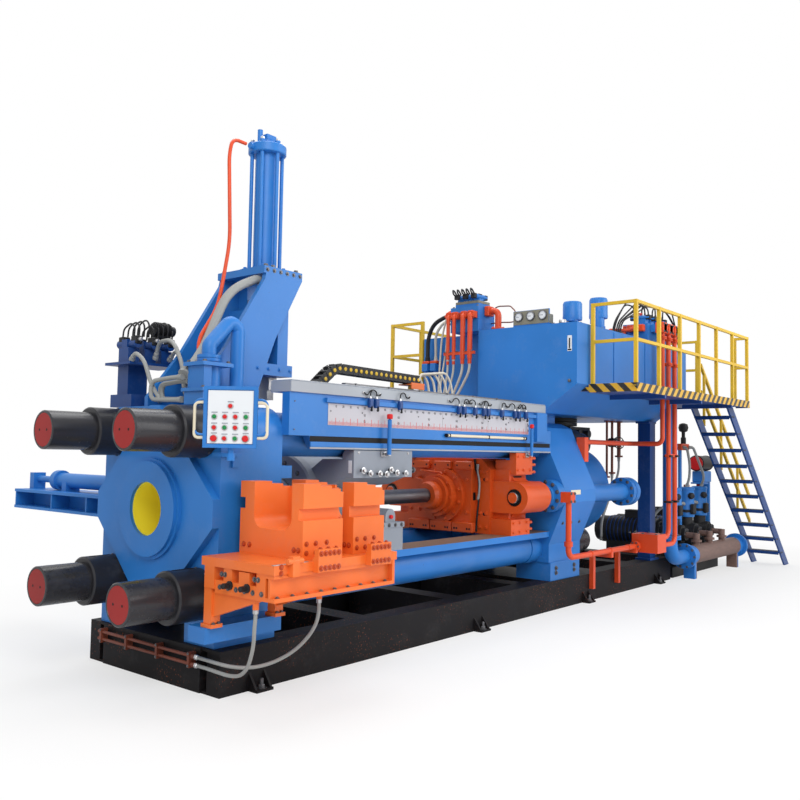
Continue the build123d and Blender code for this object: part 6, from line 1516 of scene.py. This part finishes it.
@dataclass
class SideCylinders:
    """Bolts, rings and bright glands of the two side cylinders."""

    y: float = 0.960
    front: float = 5.020
    band_front: float = 6.0805
    tube_back: float = 7.260

    def build(self) -> None:
        """Makes the bolts and the rings."""
        heads, rims = [], []
        for s in SIDES:
            centre = (self.front + 0.0697, s * self.y, AXIS_Z)
            heads.append(bolts(circle_places(centre, 0, 0.175, 10, 0.3), TO_FRONT, 0.028))
            heads.append(bolts(circle_places((self.tube_back + 0.0002, s * self.y,
                                              AXIS_Z), 0, 0.170, 10, 0.3), TO_FRONT, 0.026))
            heads.append(bolts(circle_places((self.tube_back + 0.3402, s * self.y, AXIS_Z), 0, 0.10, 8, 0.3),
                               TO_REAR, 0.022))
            ring = lathe([(0.066, 0.0), (0.128, 0.0), (0.128, 0.012), (0.10, 0.018), (0.066, 0.018)], 36,
                         True)
            rims.append(ring.facing(TO_FRONT, (self.front - 0.0003, s * self.y, AXIS_Z)))
        placed("side_cylinder_bolts", heads, DARK_STEEL)
        placed("side_cylinder_glands", rims, STEEL)
        bands = [band(0.123, 0.130, 0.054, 0.004, 36).facing(TO_REAR, (self.band_front, s * self.y, AXIS_Z))
                 for s in SIDES]
        placed("side_cylinder_bands", bands, BLUE)


@dataclass
class RearPlaten:
    """Bolts, cover plate and clamp of the rear platen and of the main cylinder's head ring."""

    feet: tuple[float, ...] = (5.42, 5.90)
    feet_face: float = 0.9302
    flank_bolts: tuple[float, ...] = (5.40, 5.62, 5.84)
    flank_place: tuple[float, float] = (1.0350, 1.1030)
    flank_normal: tuple[float, float] = (0.9071, -0.4210)
    head_back: float = 7.6002
    cap_back: float = 7.7202
    band_front: float = 6.62

    def build(self) -> None:
        """Makes the rear platen's small pieces."""
        heads = []
        for s in SIDES:
            feet = [(x, s * self.feet_face, z) for x in self.feet for z in (0.46, 0.52)]
            heads.append(bolts(feet, (0, s, 0), 0.034))
            y, z = self.flank_place
            flank = np.array([0.0, s * self.flank_normal[0], self.flank_normal[1]])
            heads.append(bolts([(x, s * y, z) for x in self.flank_bolts],
                               flank / np.linalg.norm(flank), 0.024))
        heads.append(bolts(circle_places((self.head_back, 0, AXIS_Z), 0, 0.46, 16, 0.1), TO_REAR, 0.040))
        heads.append(bolts(circle_places((self.cap_back, 0, AXIS_Z), 0, 0.15, 8, 0.1), TO_REAR, 0.028))
        placed("rear_platen_bolts", heads, DARK_STEEL)
        cover = box((5.40, -1.1530, 1.47), (5.66, -1.1503, 1.53), 0.001)
        placed("rear_platen_plate", cover, CREAM)
        clamp = band(0.650, 0.665, 0.106, 0.006, 96).facing(TO_REAR, (self.band_front, 0, AXIS_Z))
        placed("main_cylinder_band", clamp, BLUE)


@dataclass
class DieChanger:
    """Bolts, pins, wear strips and the shift cylinder's fittings of the die changer."""

    near: float = -1.800
    cradles: tuple[float, float] = (0.18, 0.775)
    keeper_face: float = -1.8602
    arm_face: float = -1.7052
    front: float = -0.2002

    def build(self) -> None:
        """Makes the die changer's small pieces."""
        keepers = [bolts([(x, self.keeper_face, z) for x in np.linspace(x0 + 0.03, x0 + 0.22, 5)
                          for z in (1.10, 1.21)], TO_NEAR, 0.024) for x0 in self.cradles]
        top = [bolts([(x, -1.8375, 1.2432) for x in np.linspace(x0 + 0.04, x0 + 0.21, 3)], UP, 0.020)
               for x0 in self.cradles]
        rim = bolts([(x, self.near + 0.0002, z) for x in (-0.14, -0.04) for z in (1.09, 1.135)],
                    TO_NEAR, 0.022)
        placed("carriage_bolts", [*keepers, *top, rim], DARK_ORANGE, CARRIAGE)
        for name, body, places, face in (("front_cradle_bolts", CARRIAGE, (0.20, 0.30, 0.42), 0.1598),
                                         ("rear_cradle_bolts", CASSETTE, (0.77, 0.87, 0.98), 0.7248)):
            near = bolts([(x, self.arm_face, z) for x in places for z in (1.20, 1.27)], TO_NEAR, 0.022)
            front = bolts([(face, y, 1.22) for y in (-1.66, -1.61, -1.09, -1.02)], TO_FRONT, 0.024)
            placed(name, [near, front], DARK_ORANGE, body)
        strip = box((-0.205, -1.795, 1.1482), (0.14, -1.765, 1.153), 0.001)
        placed("carriage_strip", strip, STEEL, CARRIAGE)
        low = 0.8797
        flange = [bolts([(x, self.near + 0.025, low + 0.0301) for x in np.linspace(-0.15, 1.05, 9)],
                        UP, 0.020)]
        end = [bolts([(1.1502, y, z) for y in (-1.76, -1.69) for z in (0.91, 1.04)], TO_REAR, 0.024)]
        front = [bolts([(self.front, y, 0.93) for y in np.linspace(-1.66, -1.18, 6)], TO_FRONT, 0.022)]
        blocks = [bolts([(self.front, y, 1.03) for y in (-1.62, -1.58, -1.24, -1.20)], TO_FRONT, 0.022)]
        placed("changer_bolts", [*flange, *end, *front, *blocks], DARK_STEEL)
        pin = lathe([(0.034, 0.0), (0.034, 0.012), (0.022, 0.016), (0.022, 0.07), (0.016, 0.075)], 20)
        pins = [pin.facing(TO_FRONT, (self.front, y, 0.955)) for y in (-1.30, -1.50)]
        placed("changer_pins", pins, BLACK)
        feet = [bolts([(x + dx, y, 0.6302) for x in (-0.20, 0.46) for dx in (0.02, 0.07)
                       for y in (-1.085, -0.985)], UP, 0.022)]
        placed("slab_bolts", feet, DARK_STEEL)


@dataclass
class TankTop:
    """Gauges, filter caps, level gauge, cover bolts, seams and hoses on and in front of the oil tank."""

    top: float = 3.660
    gauges: tuple[float, ...] = (-0.84, -0.66, -0.48)
    gauge_face: float = 5.2000
    hose_ring: float = 5.0797
    hose_end: float = 2.4005
    grey_hoses: tuple[tuple[float, float, float, float],
                      ...] = ((0.60, 0.015, 0.70, 0.021), (0.50, 0.015, 0.645, 0.021),
                              (0.35, 0.018, 0.590, 0.027), (0.23, 0.018, 0.535, 0.027))
    far_hoses: tuple[float, float] = (1.07, 1.22)

    def build(self) -> None:
        """Makes the tank's small pieces."""
        dials, faces, hands = [], [], []
        for y in self.gauges:
            here = turned_to(TO_FRONT, (self.gauge_face, y, 3.79))
            dials.append(lathe([(0.064, 0.004), (0.064, 0.022), (0.052, 0.026),
                                (0.052, 0.016)], 32).moved(here))
            faces.append(lathe([(0.053, 0.015), (0.053, 0.017), (0.003, 0.0171)], 32).moved(here))
            hands.append(box((-0.0025, -0.006, 0.0172), (0.0025, 0.038, 0.0185), 0.0003).moved(here))
            mark = box((0.040, -0.0015, 0.0172), (0.049, 0.0015, 0.0176), 0.0002)
            hands += [mark.moved(here @ np.array(Matrix.Rotation(a, 4, "Z")))
                      for a in np.linspace(-0.8, 3.9, 12)]
        placed("gauge_cases", dials, DARK_STEEL)
        plate = [box((5.1958, -0.926, 3.684), (5.1997, -0.394, 3.866), 0.001),
                 box((5.1975, -0.9340, 3.682), (5.30, -0.9303, 3.80), 0.001)]
        placed("gauge_plate", plate, KHAKI)
        placed("gauge_faces", faces, WHITE)
        placed("gauge_hands", hands, BLACK_AND_SHADE)
        glass = [box((5.1655, -1.278, 3.29), (5.1697, -1.216, 3.49), 0.002)]
        placed("level_gauge", glass, WHITE)
        sight = [slug(0.008, 0.13, 12).at(5.162, -1.247, 3.325),
                 box((5.1640, -1.272, 3.30), (5.1654, -1.222, 3.318), 0.0005)]
        placed("level_glass", sight, BLACK_AND_SHADE)
        plug = stub(0.022, 0.02, 0.015, 0.026, 6).facing(TO_FRONT, (5.1697, -1.25, 2.915))
        placed("drain_plug", plug, DARK_STEEL)
        dome = [(0.092, 0.0), (0.125, 0.0), (0.128, 0.03), (0.125, 0.06), (0.125, 0.215), (0.112, 0.240),
                (0.030, 0.248)]
        cans = [lathe(dome, 36).at(5.545, -1.080, 3.742),
                lathe([(r, z * 1.16) for r, z in dome], 36).at(6.285, -1.080, 3.862)]
        placed("filter_cans", cans, BLUE)
        cap = lathe([(0.03, 0.0), (0.03, 0.02), (0.05, 0.022), (0.05, 0.055), (0.044, 0.065),
                     (0.01, 0.068)], 24)
        caps = [cap.at(x, y, 3.6605) for x, y in ((5.325, -1.06), (5.92, -1.15))]
        placed("tank_breathers", caps, STEEL)
        z = self.top + 0.0002
        edge = [(x, -1.32, z) for x in np.arange(5.32, 8.7, 0.30)]
        edge += [(x, 1.32, z) for x in np.arange(5.6, 8.7, 0.30)]
        edge += [(8.72, y, z) for y in np.arange(-1.2, 1.3, 0.30)]
        edge += [(5.20, y, z) for y in np.arange(-1.20, -0.98, 0.1)]
        clear = [e for e in edge if not (7.35 < e[0] < 8.2 and e[1] < 0)]
        placed("tank_cover_bolts", bolts(clear, UP, 0.022), DARK_STEEL)
        hatch = lathe([(0.27, 0.0), (0.27, 0.012), (0.25, 0.016), (0.02, 0.018)], 40)
        places = [(6.4, 0.0), (8.1, 0.55)]
        placed("tank_hatches", (hatch.at(x, y, 3.6603) for x, y in places), BLUE)
        rounds = [p for x, y in places for p in circle_places((x, y, 3.676), 2, 0.235, 12)]
        placed("hatch_bolts", bolts(rounds, UP, 0.020), DARK_STEEL)
        ribs = [box((x - 0.006, -1.3595, 2.90), (x + 0.006, -1.3503, 3.64), 0.002) for x in (6.2, 7.2)]
        ribs += [box((x - 0.006, 1.3503, 2.90), (x + 0.006, 1.3595, 3.64), 0.002) for x in (6.2, 7.2, 8.2)]
        placed("tank_seams", ribs, BLUE)
        self.front_hoses()

    def front_hoses(self) -> None:
        """Grey hoses from the clamp bar and black hoses beside the front manifold."""
        pale, flanges = [], []
        x = self.hose_ring
        for y, radius, end, _ in self.grey_hoses:
            low = y + (end - y) * 0.45
            route = [(x, y, 3.268), (x, y, 3.10), (x, low, 2.86), (5.07, end, 2.62),
                     (5.07, end, self.hose_end)]
            pale.append(hose(route, radius, 0.20))
            flanges.append(flange_pair((5.1300, y, 3.885), TO_FRONT, 0.050, 0.022))
        pale.append(hose([(5.27, 0.6402, 3.93), (5.22, 0.72, 3.92), (5.20, 0.80, 3.62), (5.12, 0.78, 3.0),
                          (5.07, 0.755, self.hose_end)], 0.014, 0.18))
        pale.append(hose([(5.24, 0.6402, 3.80), (5.20, 0.69, 3.79), (5.17, 0.70, 3.40), (5.10, 0.74, 2.9),
                          (5.03, 0.725, self.hose_end)], 0.014, 0.12))
        pale.append(hose([(5.31, 0.6402, 3.86), (5.33, 0.86, 3.86), (5.40, 1.07, 3.70), (5.42, 1.07, 3.45),
                          (5.42, 1.07, 3.3105)], 0.020, 0.20))
        placed("clamp_hoses", pale, HOSE_PALE)
        placed("clamp_hose_block", box((4.98, 0.50, 2.343), (5.14, 0.79, 2.4003), 0.006), BLUE)
        ends = [lathe([(r, 0.0), (r, 0.08), (r - 0.004, 0.085)], 16, True).at(x, y, 3.20)
                for y, _, _, r in self.grey_hoses]
        placed("clamp_hose_ends", ends, PIPE_ORANGE)
        placed("manifold_flanges", flanges, PIPE_ORANGE)
        bar = bolts([(5.0595, y, 3.370) for y in (0.18, 0.29, 0.43, 0.55, 0.63)], UP, 0.022)
        placed("clamp_bolts", bar, DARK_STEEL)
        dark = [hose([(5.42, 0.6402, 3.95), (5.42, 0.86, 3.96), (5.42, 1.12, 3.86), (5.42, 1.22, 3.65),
                      (5.42, 1.22, 3.3105)], 0.030, 0.30)]
        placed("manifold_hoses", dark, RUBBER)
        blocks = [box((5.34, y - 0.05, 3.16), (5.4998, y + 0.05, 3.27), 0.006) for y in self.far_hoses]
        blocks += [pipe(np.array([(5.42, y, 3.1605), (5.42, y, 3.0), (5.42, y, 2.86)]), 0.034, 18)
                   for y in self.far_hoses]
        placed("far_flange_blocks", blocks, BLUE)
        rims = [box((5.36, y - 0.06, 3.2702), (5.48, y + 0.06, 3.31), 0.006) for y in self.far_hoses]
        rims += [tube([(5.36, 0.6402, 3.98), (5.36, 0.78, 3.99), (5.38, 0.86, 3.93)], 0.08, 8, 0.030, 14)]
        rims.append(box((5.30, 0.6403, 3.93), (5.42, 0.668, 4.0), 0.004))
        placed("far_flanges", rims, PIPE_ORANGE)
        elbow = tube([(5.40, 0.1698, 3.95), (5.40, -0.02, 3.95), (5.40, -0.02, 3.68)], 0.13, 12, 0.045, 20)
        collar = flange_pair((5.40, -0.02, 3.662), UP, 0.080, 0.022)
        throat = box((5.33, 0.095, 3.88), (5.47, 0.1697, 4.02), 0.010)
        placed("manifold_elbow", [elbow, collar, throat], PIPE_ORANGE)
        gauge_lines = [[(5.50, 0.1698, 3.98), (5.50, 0.05, 4.03), (5.42, -0.20, 4.00), (5.29, -0.36, 3.90),
                        (5.25, -0.3897, 3.84)],
                       [(5.52, 0.1698, 3.80), (5.50, 0.0, 3.80), (5.40, -0.22, 3.77), (5.30, -0.36, 3.76),
                        (5.25, -0.3897, 3.76)]]
        placed("gauge_lines", (tube(line, 0.05, 6, 0.009, 8) for line in gauge_lines), PIPE_BROWN)
        heads = [(x, y, 4.0102) for x in (5.215, 5.565) for y in (0.20, 0.605)]
        pilots = []
        for row in range(3):
            y = 0.26 + 0.14 * row
            for x in (5.205, 5.475):
                pilots.append(box((x - 0.03, y - 0.034, 4.125), (x + 0.03, y + 0.034, 4.195), 0.005))
            pilots.append(box((5.29, y - 0.03, 4.13), (5.37, y + 0.03, 4.20), 0.004))
        placed("manifold_coils", pilots, BLACK)
        turns = []
        for row in range(5):
            y = 0.24 + 0.075 * row
            turns.append([(5.16, y, 4.17), (5.11, y, 4.19), (5.12, y + 0.02, 4.25), (5.20, y + 0.05, 4.255),
                          (5.26, y + 0.05, 4.200)])
        placed("manifold_leads", (tube(turn, 0.035, 6, 0.011, 8) for turn in turns), RUBBER)
        stack = [box((5.2515, 0.2070, 4.0605), (5.5285, 0.6030, 4.0995), 0.004)]
        placed("manifold_stack", stack, KHAKI)
        placed("manifold_bolts", bolts(heads, UP, 0.028), DARK_STEEL)


@dataclass
class UnderTank:
    """Drain pipes, their valves and hoses between the tank's underside and the main cylinder."""

    y: float = -0.45
    top: float = 2.5198

    def build(self) -> None:
        """Makes the pipes, the stop valve with its wheel and the hoses below them."""
        pipes = []
        for x, radius, low in ((8.02, 0.020, 1.72), (8.26, 0.030, 1.98), (7.84, 0.018, 1.66)):
            pipes.append(lathe([(radius + 0.03, 0.0), (radius + 0.03, -0.018), (radius, -0.019),
                                (radius, low - self.top), (radius + 0.032, low - self.top - 0.001),
                                (radius + 0.032, low - self.top - 0.028),
                                (0.004, low - self.top - 0.029)], 20).at(x, self.y, self.top))
        placed("drain_pipes", pipes, PIPE_BROWN)
        wheel = lathe([(0.088, -0.008), (0.096, -0.008), (0.100, 0.0), (0.096, 0.008), (0.088, 0.008),
                       (0.084, 0.0), (0.088, -0.008)], 32, True)
        here = turned_to((-0.5, -0.85, 0.15), (7.99, self.y - 0.13, 2.177))
        parts = [wheel.moved(here), box((-0.088, -0.006, -0.005), (0.088, 0.006, 0.005), 0.002).moved(here),
                 box((-0.006, -0.088, -0.005), (0.006, 0.088, 0.005), 0.002).moved(here),
                 lathe([(0.012, -0.13), (0.012, 0.01), (0.004, 0.014)], 14).moved(here),
                 box((7.965, self.y - 0.06, 2.11), (8.075, self.y + 0.05, 2.25), 0.015)]
        placed("drain_valve", parts, BLACK)
        hoses = [hose([(x, self.y, low), (x, self.y, low - 0.25), (x - 0.10, self.y + 0.06, low - 0.5),
                       (7.9, self.y + 0.12, 0.95), (7.9, self.y + 0.12, 0.66)], 0.018, 0.16)
                 for x, low in ((8.02, 1.691), (8.26, 1.951))]
        placed("drain_hoses", hoses, HOSE_GREY)


@dataclass
class SideManifold:
    """Valve coils, flanges, hoses and clamps at the operator's side of the tank."""

    y: float = -1.4703
    pipes: tuple[float, ...] = (7.54, 7.76, 7.99)

    def build(self) -> None:
        """Makes the fittings of the side manifold and its drop pipes."""
        flanges = [flange_pair((x, self.y, 3.735), DOWN, 0.052, 0.022) for x in self.pipes]
        flanges += [flange_pair((x, self.y, 3.36), DOWN, 0.050, 0.020) for x in self.pipes[1:]]
        flanges += [box((x - 0.085, self.y - 0.050, 3.775), (x + 0.085, self.y + 0.075, 3.935), 0.008)
                    for x in self.pipes]
        flanges += [box((7.295, -1.28, 3.80), (7.3797, -1.02, 3.90), 0.008),
                    box((7.345, -0.985, 3.74), (7.3797, -0.94, 3.90), 0.006)]
        flanges.append(tube([(7.296, -1.20, 3.85), (7.20, -1.20, 3.85), (7.15, -1.10, 3.80),
                             (7.02, -0.95, 3.80)], 0.05, 6, 0.024, 12))
        flanges.append(tube([(7.02, -0.951, 3.80), (6.98, -0.90, 3.80),
                             (6.98, -0.88, 3.6605)], 0.03, 6, 0.024, 12))
        placed("drop_flanges", flanges, PIPE_ORANGE)
        heads = [bolts([(x + dx, self.y - 0.0502, z) for dx in (-0.055, 0.055) for z in (3.80, 3.91)],
                       TO_NEAR, 0.020) for x in self.pipes]
        placed("drop_flange_bolts", heads, DARK_STEEL)
        cables = []
        for k in range(9):
            x, y, lift = 7.40 + 0.085 * k, -1.10 - 0.018 * k, 0.02 * ((k * 4) % 5)
            if k % 3 == 2:
                route = [(x, y, 4.050), (x + 0.02, y, 4.22), (8.30, y - 0.05, 4.20 + lift),
                         (8.42, -1.32, 3.95), (8.45, -1.3553, 3.62 + lift)]
            else:
                route = [(x, y, 4.050), (x - 0.02, y, 4.18 + lift), (x - 0.22, y + 0.05, 4.20 + lift),
                         (6.98 - lift, y + 0.10, 3.90), (6.95 - lift, y + 0.12, 3.6605)]
            cables.append(hose(route, 0.011, 0.16))
        placed("side_cables", cables, RUBBER)
        coils, stems = [], []
        for row in range(4):
            x = 7.38 + (row + 0.5) * 0.1925
            for y in (-1.285, -1.045):
                coils.append(box((x - 0.034, y - 0.035, 3.9862), (x + 0.034, y + 0.035, 4.056), 0.005))
            stems.append(lathe([(0.014, 0.0), (0.014, 0.02), (0.03, 0.022), (0.03, 0.034),
                                (0.01, 0.036)], 16).at(x, -1.16, 4.0555))
        placed("side_coils", coils, BLACK)
        placed("side_handwheels", stems, SIGNAL_RED)
        black = []
        for k, x in enumerate((7.46, 7.62, 7.80, 7.98)):
            black.append(hose([(x, -0.9298, 3.80), (x, -0.80, 3.82), (x - 0.25, -0.60 + 0.06 * k, 3.80),
                               (x - 0.6, -0.55 + 0.06 * k, 3.705)], 0.020, 0.12))
        placed("side_hoses", black, RUBBER)
        clamps = [box((x - 0.045, self.y - 0.055, z), (x + 0.045, self.y + 0.055, z + 0.03), 0.004)
                  for x in self.pipes[1:] for z in (1.97, 1.30)]
        placed("drop_clamps", clamps, BLACK)
        heads = [(x, self.y + s * 0.04, 2.9852) for x in (7.50, 7.65, 7.87, 8.03) for s in SIDES]
        low = [(x, -1.30 + s * 0.20, 0.8702) for x in (7.25, 7.45) for s in (-1, 0, 1)]
        placed("drop_bolts", [bolts(heads, UP, 0.018), bolts(low, UP, 0.024)], DARK_STEEL)
        ring = [band(0.036, 0.045, 0.023, 0.003, 20).facing(TO_REAR, (x, -1.245, 0.70))
                for x in (5.75, 6.30, 6.85)]
        placed("supply_rings", ring, PIPE_ORANGE)
        caps = bolts(circle_places((7.0895, -1.245, 0.70), 0, 0.056, 6), TO_FRONT, 0.014)
        face = bolts([(5.17 + s * 0.045, -1.3052, z) for s in SIDES for z in (1.40, 1.50)], TO_NEAR, 0.022)
        placed("supply_bolts", [caps, face], DARK_STEEL)


@dataclass
class Platform:
    """Tread plate of the deck, rail joints and base plates of the railing posts."""

    top: float = 2.850
    near: float = -1.978
    first: float = 5.512
    last: float = 9.716
    posts: int = 7
    rail: float = 3.9095
    joint: float = 0.049
    pitch: float = 0.09

    def build(self) -> None:
        """Makes the deck's small pieces."""
        feet, knobs = [], []
        half = self.joint / 2
        for s in SIDES:
            y = s * -self.near
            inner, outer = (0.05, 0.020) if s < 0 else (0.020, 0.05)
            for k in range(self.posts):
                x = self.first + (self.last - self.first) * k / (self.posts - 1)
                feet.append(box((x - 0.05, y - outer, self.top + 0.0003),
                                (x + 0.05, y + inner, self.top + 0.008), 0.002))
                knobs.append(box((x - half, y - half, self.rail - half),
                                 (x + half, y + half, self.rail + 0.0195), 0.004))
        placed("post_feet", feet, YELLOW)
        placed("rail_joints", knobs, YELLOW)
        bars = []
        xs = np.arange(5.60, 9.66, self.pitch)
        ys = np.arange(-1.92, -1.56, self.pitch)
        for s in SIDES:
            for i, x in enumerate(xs):
                for j, y in enumerate(ys):
                    if s < 0 and 7.40 < x < 8.12 and y > -1.62:
                        continue
                    turn = turned_to(UP, (x, s * abs(y), self.top + 0.0002),
                                     math.radians(45 if (i + j) % 2 else -45))
                    bars.append(box((-0.022, -0.004, 0.0), (0.022, 0.004, 0.0025), 0.0008).moved(turn))
        placed("tread_pattern", bars, DECK_BLUE)


@dataclass
class Stairs:
    """Treads with folded noses and bolts at the stringers."""

    foot: float = 12.430
    height: float = 2.780
    run: float = 3.030
    count: int = 10
    near: float = -1.748
    far: float = -1.202

    def build(self) -> None:
        """Makes tread plates and bolts."""
        rise = self.height / (self.count + 0.5)
        plates, heads = [], []
        for step in range(1, self.count + 1):
            z = step * rise
            x = self.foot - z * self.run / self.height
            plates.append(box((x - 0.002, self.near + 0.0005, z + 0.0002),
                              (x + 0.181, self.far - 0.0005, z + 0.005), 0.0015))
            plates += [box((x + d, self.near + 0.03, z + 0.005),
                           (x + d + 0.008, self.far - 0.03, z + 0.008), 0.0008) for d in (0.03, 0.075, 0.12)]
            for y, s in ((self.near - 0.0302, -1), (self.far + 0.0302, 1)):
                heads.append(bolts([(x + 0.05, y, z - 0.015), (x + 0.13, y, z - 0.015)], (0, s, 0), 0.018))
        placed("tread_plates", plates, DARK_STEEL)
        placed("tread_bolts", heads, DARK_STEEL)


@dataclass
class Pumps:
    """Heads, caps, boxes, hoses and bolts of the pumps, and the flange bolts of the suction line."""

    places: tuple[float, ...] = (9.70, 10.30, 10.90)
    front: float = -0.985
    z: float = 0.680

    @property
    def filters(self) -> float:
        """Y of the row of filters."""
        return self.front + 0.23

    def build(self) -> None:
        """Makes the pumps' small pieces."""
        fins, ends, heads, blocks, caps = [], [], [], [], []
        for x in self.places:
            for k in range(12):
                y = self.front + 0.56 + 0.07 * k
                fins.append(band(0.229, 0.240, 0.015, 0.003, 40).facing(TO_FAR, (x, y, self.z)))
            ends.append(lathe([(0.149, 0.0), (0.153, 0.0), (0.153, 0.05), (0.149, 0.056)], 32,
                              True).facing(TO_FAR, (x, self.front + 0.10, self.z)))
            heads.append(bolts(circle_places((x, self.front - 0.0002, self.z), 1, 0.085, 6), TO_NEAR, 0.020))
            heads.append(bolts(circle_places((x, self.front + 0.4188, self.z), 1, 0.172, 8), TO_NEAR, 0.022))
            heads.append(bolts([(x + dx, self.front + dy, 0.2105) for dx in (-0.17, 0.17)
                                for dy in (0.68, 1.34)], UP, 0.03))
            blocks.append(box((x - 0.095, self.front + 0.80, self.z + 0.3205),
                              (x + 0.095, self.front + 1.06, self.z + 0.36), 0.006))
            caps.append(stub(0.05, 0.03, 0.036, 0.036, 20).at(x, self.filters, 1.4553))
        placed("motor_fins", fins, DEEP_BLUE)
        y = self.filters
        can = [(0.128, 0.0), (0.132, 0.01), (0.132, 0.05), (0.128, 0.06), (0.128, 0.46), (0.138, 0.47),
               (0.138, 0.50), (0.120, 0.515), (0.02, 0.52)]
        placed("pump_filters", (lathe(can, 36).at(x, y, 0.935) for x in self.places), BLUE)
        domes = [lathe([(0.055, 0.0), (0.055, 0.04), (0.040, 0.06),
                        (0.01, 0.065)], 24).facing((-0.6, -0.8, 0), (x - 0.075, y - 0.10, 1.30))
                 for x in self.places]
        domes += [box((x - 0.11, y - 0.17, 0.985), (x + 0.02, y - 0.10, 1.16), 0.015) for x in self.places]
        placed("pump_valves", domes, BLACK)
        self.pilot_set()
        placed("pump_noses", ends, BLACK)
        placed("pump_blocks", blocks, BLACK)
        placed("pump_caps", caps, RED)
        y = -1.150
        heads.append(bolts(circle_places((8.60, y, 0.7502), 2, 0.140, 10), UP, 0.022))
        heads.append(bolts(circle_places((9.1498, y, 0.380), 0, 0.175, 10), TO_FRONT, 0.022))
        heads.append(bolts(circle_places((11.6602, y, 0.380), 0, 0.175, 10), TO_REAR, 0.026))
        placed("pump_bolts", heads, DARK_STEEL)
        lines = []
        for x in self.places:
            lines.append(hose([(x - 0.1285, self.filters, 1.16), (x - 0.22, self.filters, 1.18),
                               (x - 0.26, self.front + 0.42, 1.05), (x - 0.27, self.front + 0.6, 0.60),
                               (x - 0.28, self.front + 0.7, 0.2102)], 0.022, 0.12))
        placed("pump_hoses", lines, HOSE_GREY)

    def pilot_set(self) -> None:
        """Post with its orange distributor and hoses to the filters, and the small motor on its stool."""
        y = self.filters
        post = lathe([(0.075, 0.0), (0.075, 0.015), (0.032, 0.016), (0.032, 1.878)], 20).at(10.0, y, 0.2103)
        stool = [box((10.86, y - 0.075, 1.5205), (11.30, y + 0.115, 1.72), 0.010),
                 box((10.80, y - 0.12, 1.4902), (11.02, y + 0.12, 1.5203), 0.006),
                 box((11.22, y - 0.06, 0.2103), (11.29, y + 0.10, 1.5204), 0.006)]
        placed("pilot_supports", [post, *stool], BLUE)
        block = [box((9.92, y - 0.065, 2.0885), (10.27, y + 0.065, 2.20), 0.010)]
        placed("pilot_block", block, PIPE_ORANGE)
        upper = [lathe([(0.045, 0.0), (0.045, 0.10), (0.030, 0.12), (0.030, 0.20), (0.07, 0.22),
                        (0.085, 0.28), (0.07, 0.34), (0.02, 0.36)], 24).at(10.16, y, 2.2003)]
        motor = [(0.11, 0.004), (0.142, 0.006), (0.142, 0.05), (0.134, 0.055), (0.134, 0.46), (0.142, 0.465),
                 (0.142, 0.50), (0.10, 0.53), (0.02, 0.535)]
        placed("pump_pilot_motor", [*upper, lathe(motor, 32).facing(TO_REAR, (10.80, y + 0.02, 1.8622))],
               BLACK)
        disc = lathe([(0.02, 0.0), (0.118, 0.002), (0.122, 0.006),
                      (0.122, 0.010)], 32).facing(TO_REAR, (10.7965, y + 0.02, 1.8622))
        placed("pilot_motor_face", disc, SIGNAL_RED)
        routes = [[(9.985, y - 0.0652, 2.14), (9.99, y - 0.13, 2.12), (10.10, y - 0.14, 1.85),
                   (10.22, y - 0.08, 1.60), (10.25, y - 0.02, 1.4553)],
                  [(10.23, y - 0.0652, 2.14), (10.27, y - 0.13, 2.14), (10.50, y - 0.16, 1.85),
                   (10.72, y - 0.16, 1.62), (10.84, y - 0.06, 1.4553)]]
        placed("pilot_hoses", (hose(route, 0.022, 0.14) for route in routes), HOSE_GREY)


@dataclass
class BaseDetail:
    """Anchor bolts, and the bolts of the pipe clips and clamp blocks."""

    length: float = 9.080
    half: float = 0.958
    places: tuple[float, ...] = (0.033, 0.39, 0.67, 0.93)
    clip_face: float = -0.0817
    clips: tuple[float, ...] = (-0.648, -0.2016, 0.2592, 0.6624)

    def build(self) -> None:
        """Makes the base's small pieces."""
        anchors = []
        for s in SIDES:
            for place in self.places:
                x = place * self.length + 0.09
                stud = stub(0.017, 0.075, 0.013, 0.08, 12).at(x, s * (self.half + 0.06), 0.0222)
                anchors += [stud, bolt(0.048).at(x, s * (self.half + 0.06), 0.0222)]
        placed("anchor_bolts", anchors, DARK_STEEL)
        clips = [bolts([(self.clip_face, y, z) for z in (0.219, 0.3185)], TO_FRONT, 0.012)
                 for y in self.clips]
        placed("base_clip_bolts", clips, DARK_STEEL)
        clamp = bolts([(0.8202, s * y, 1.793) for s in SIDES for y in (0.75, 0.82)], TO_REAR, 0.028)
        placed("clamp_block_bolts", clamp, DARK_STEEL)


PARTS = (Studio, ChangerHoses, PaintedFrame, TieRods, NutDetail, ScaleBeam, UpperRails, Pointers,
         ControlPanel, ShearLines, FarValves, PlatenValve, CableChain, Container, Crosshead, SideCylinders,
         RearPlaten, DieChanger, TankTop, UnderTank, SideManifold, Platform, Stairs, Pumps, BaseDetail)


def main() -> None:
    """Builds the studio and every dressed piece in order."""
    logging.basicConfig(level=logging.INFO, format="%(name)s %(message)s")
    for part in PARTS:
        part().build()


if __name__ == "__main__":
    main()
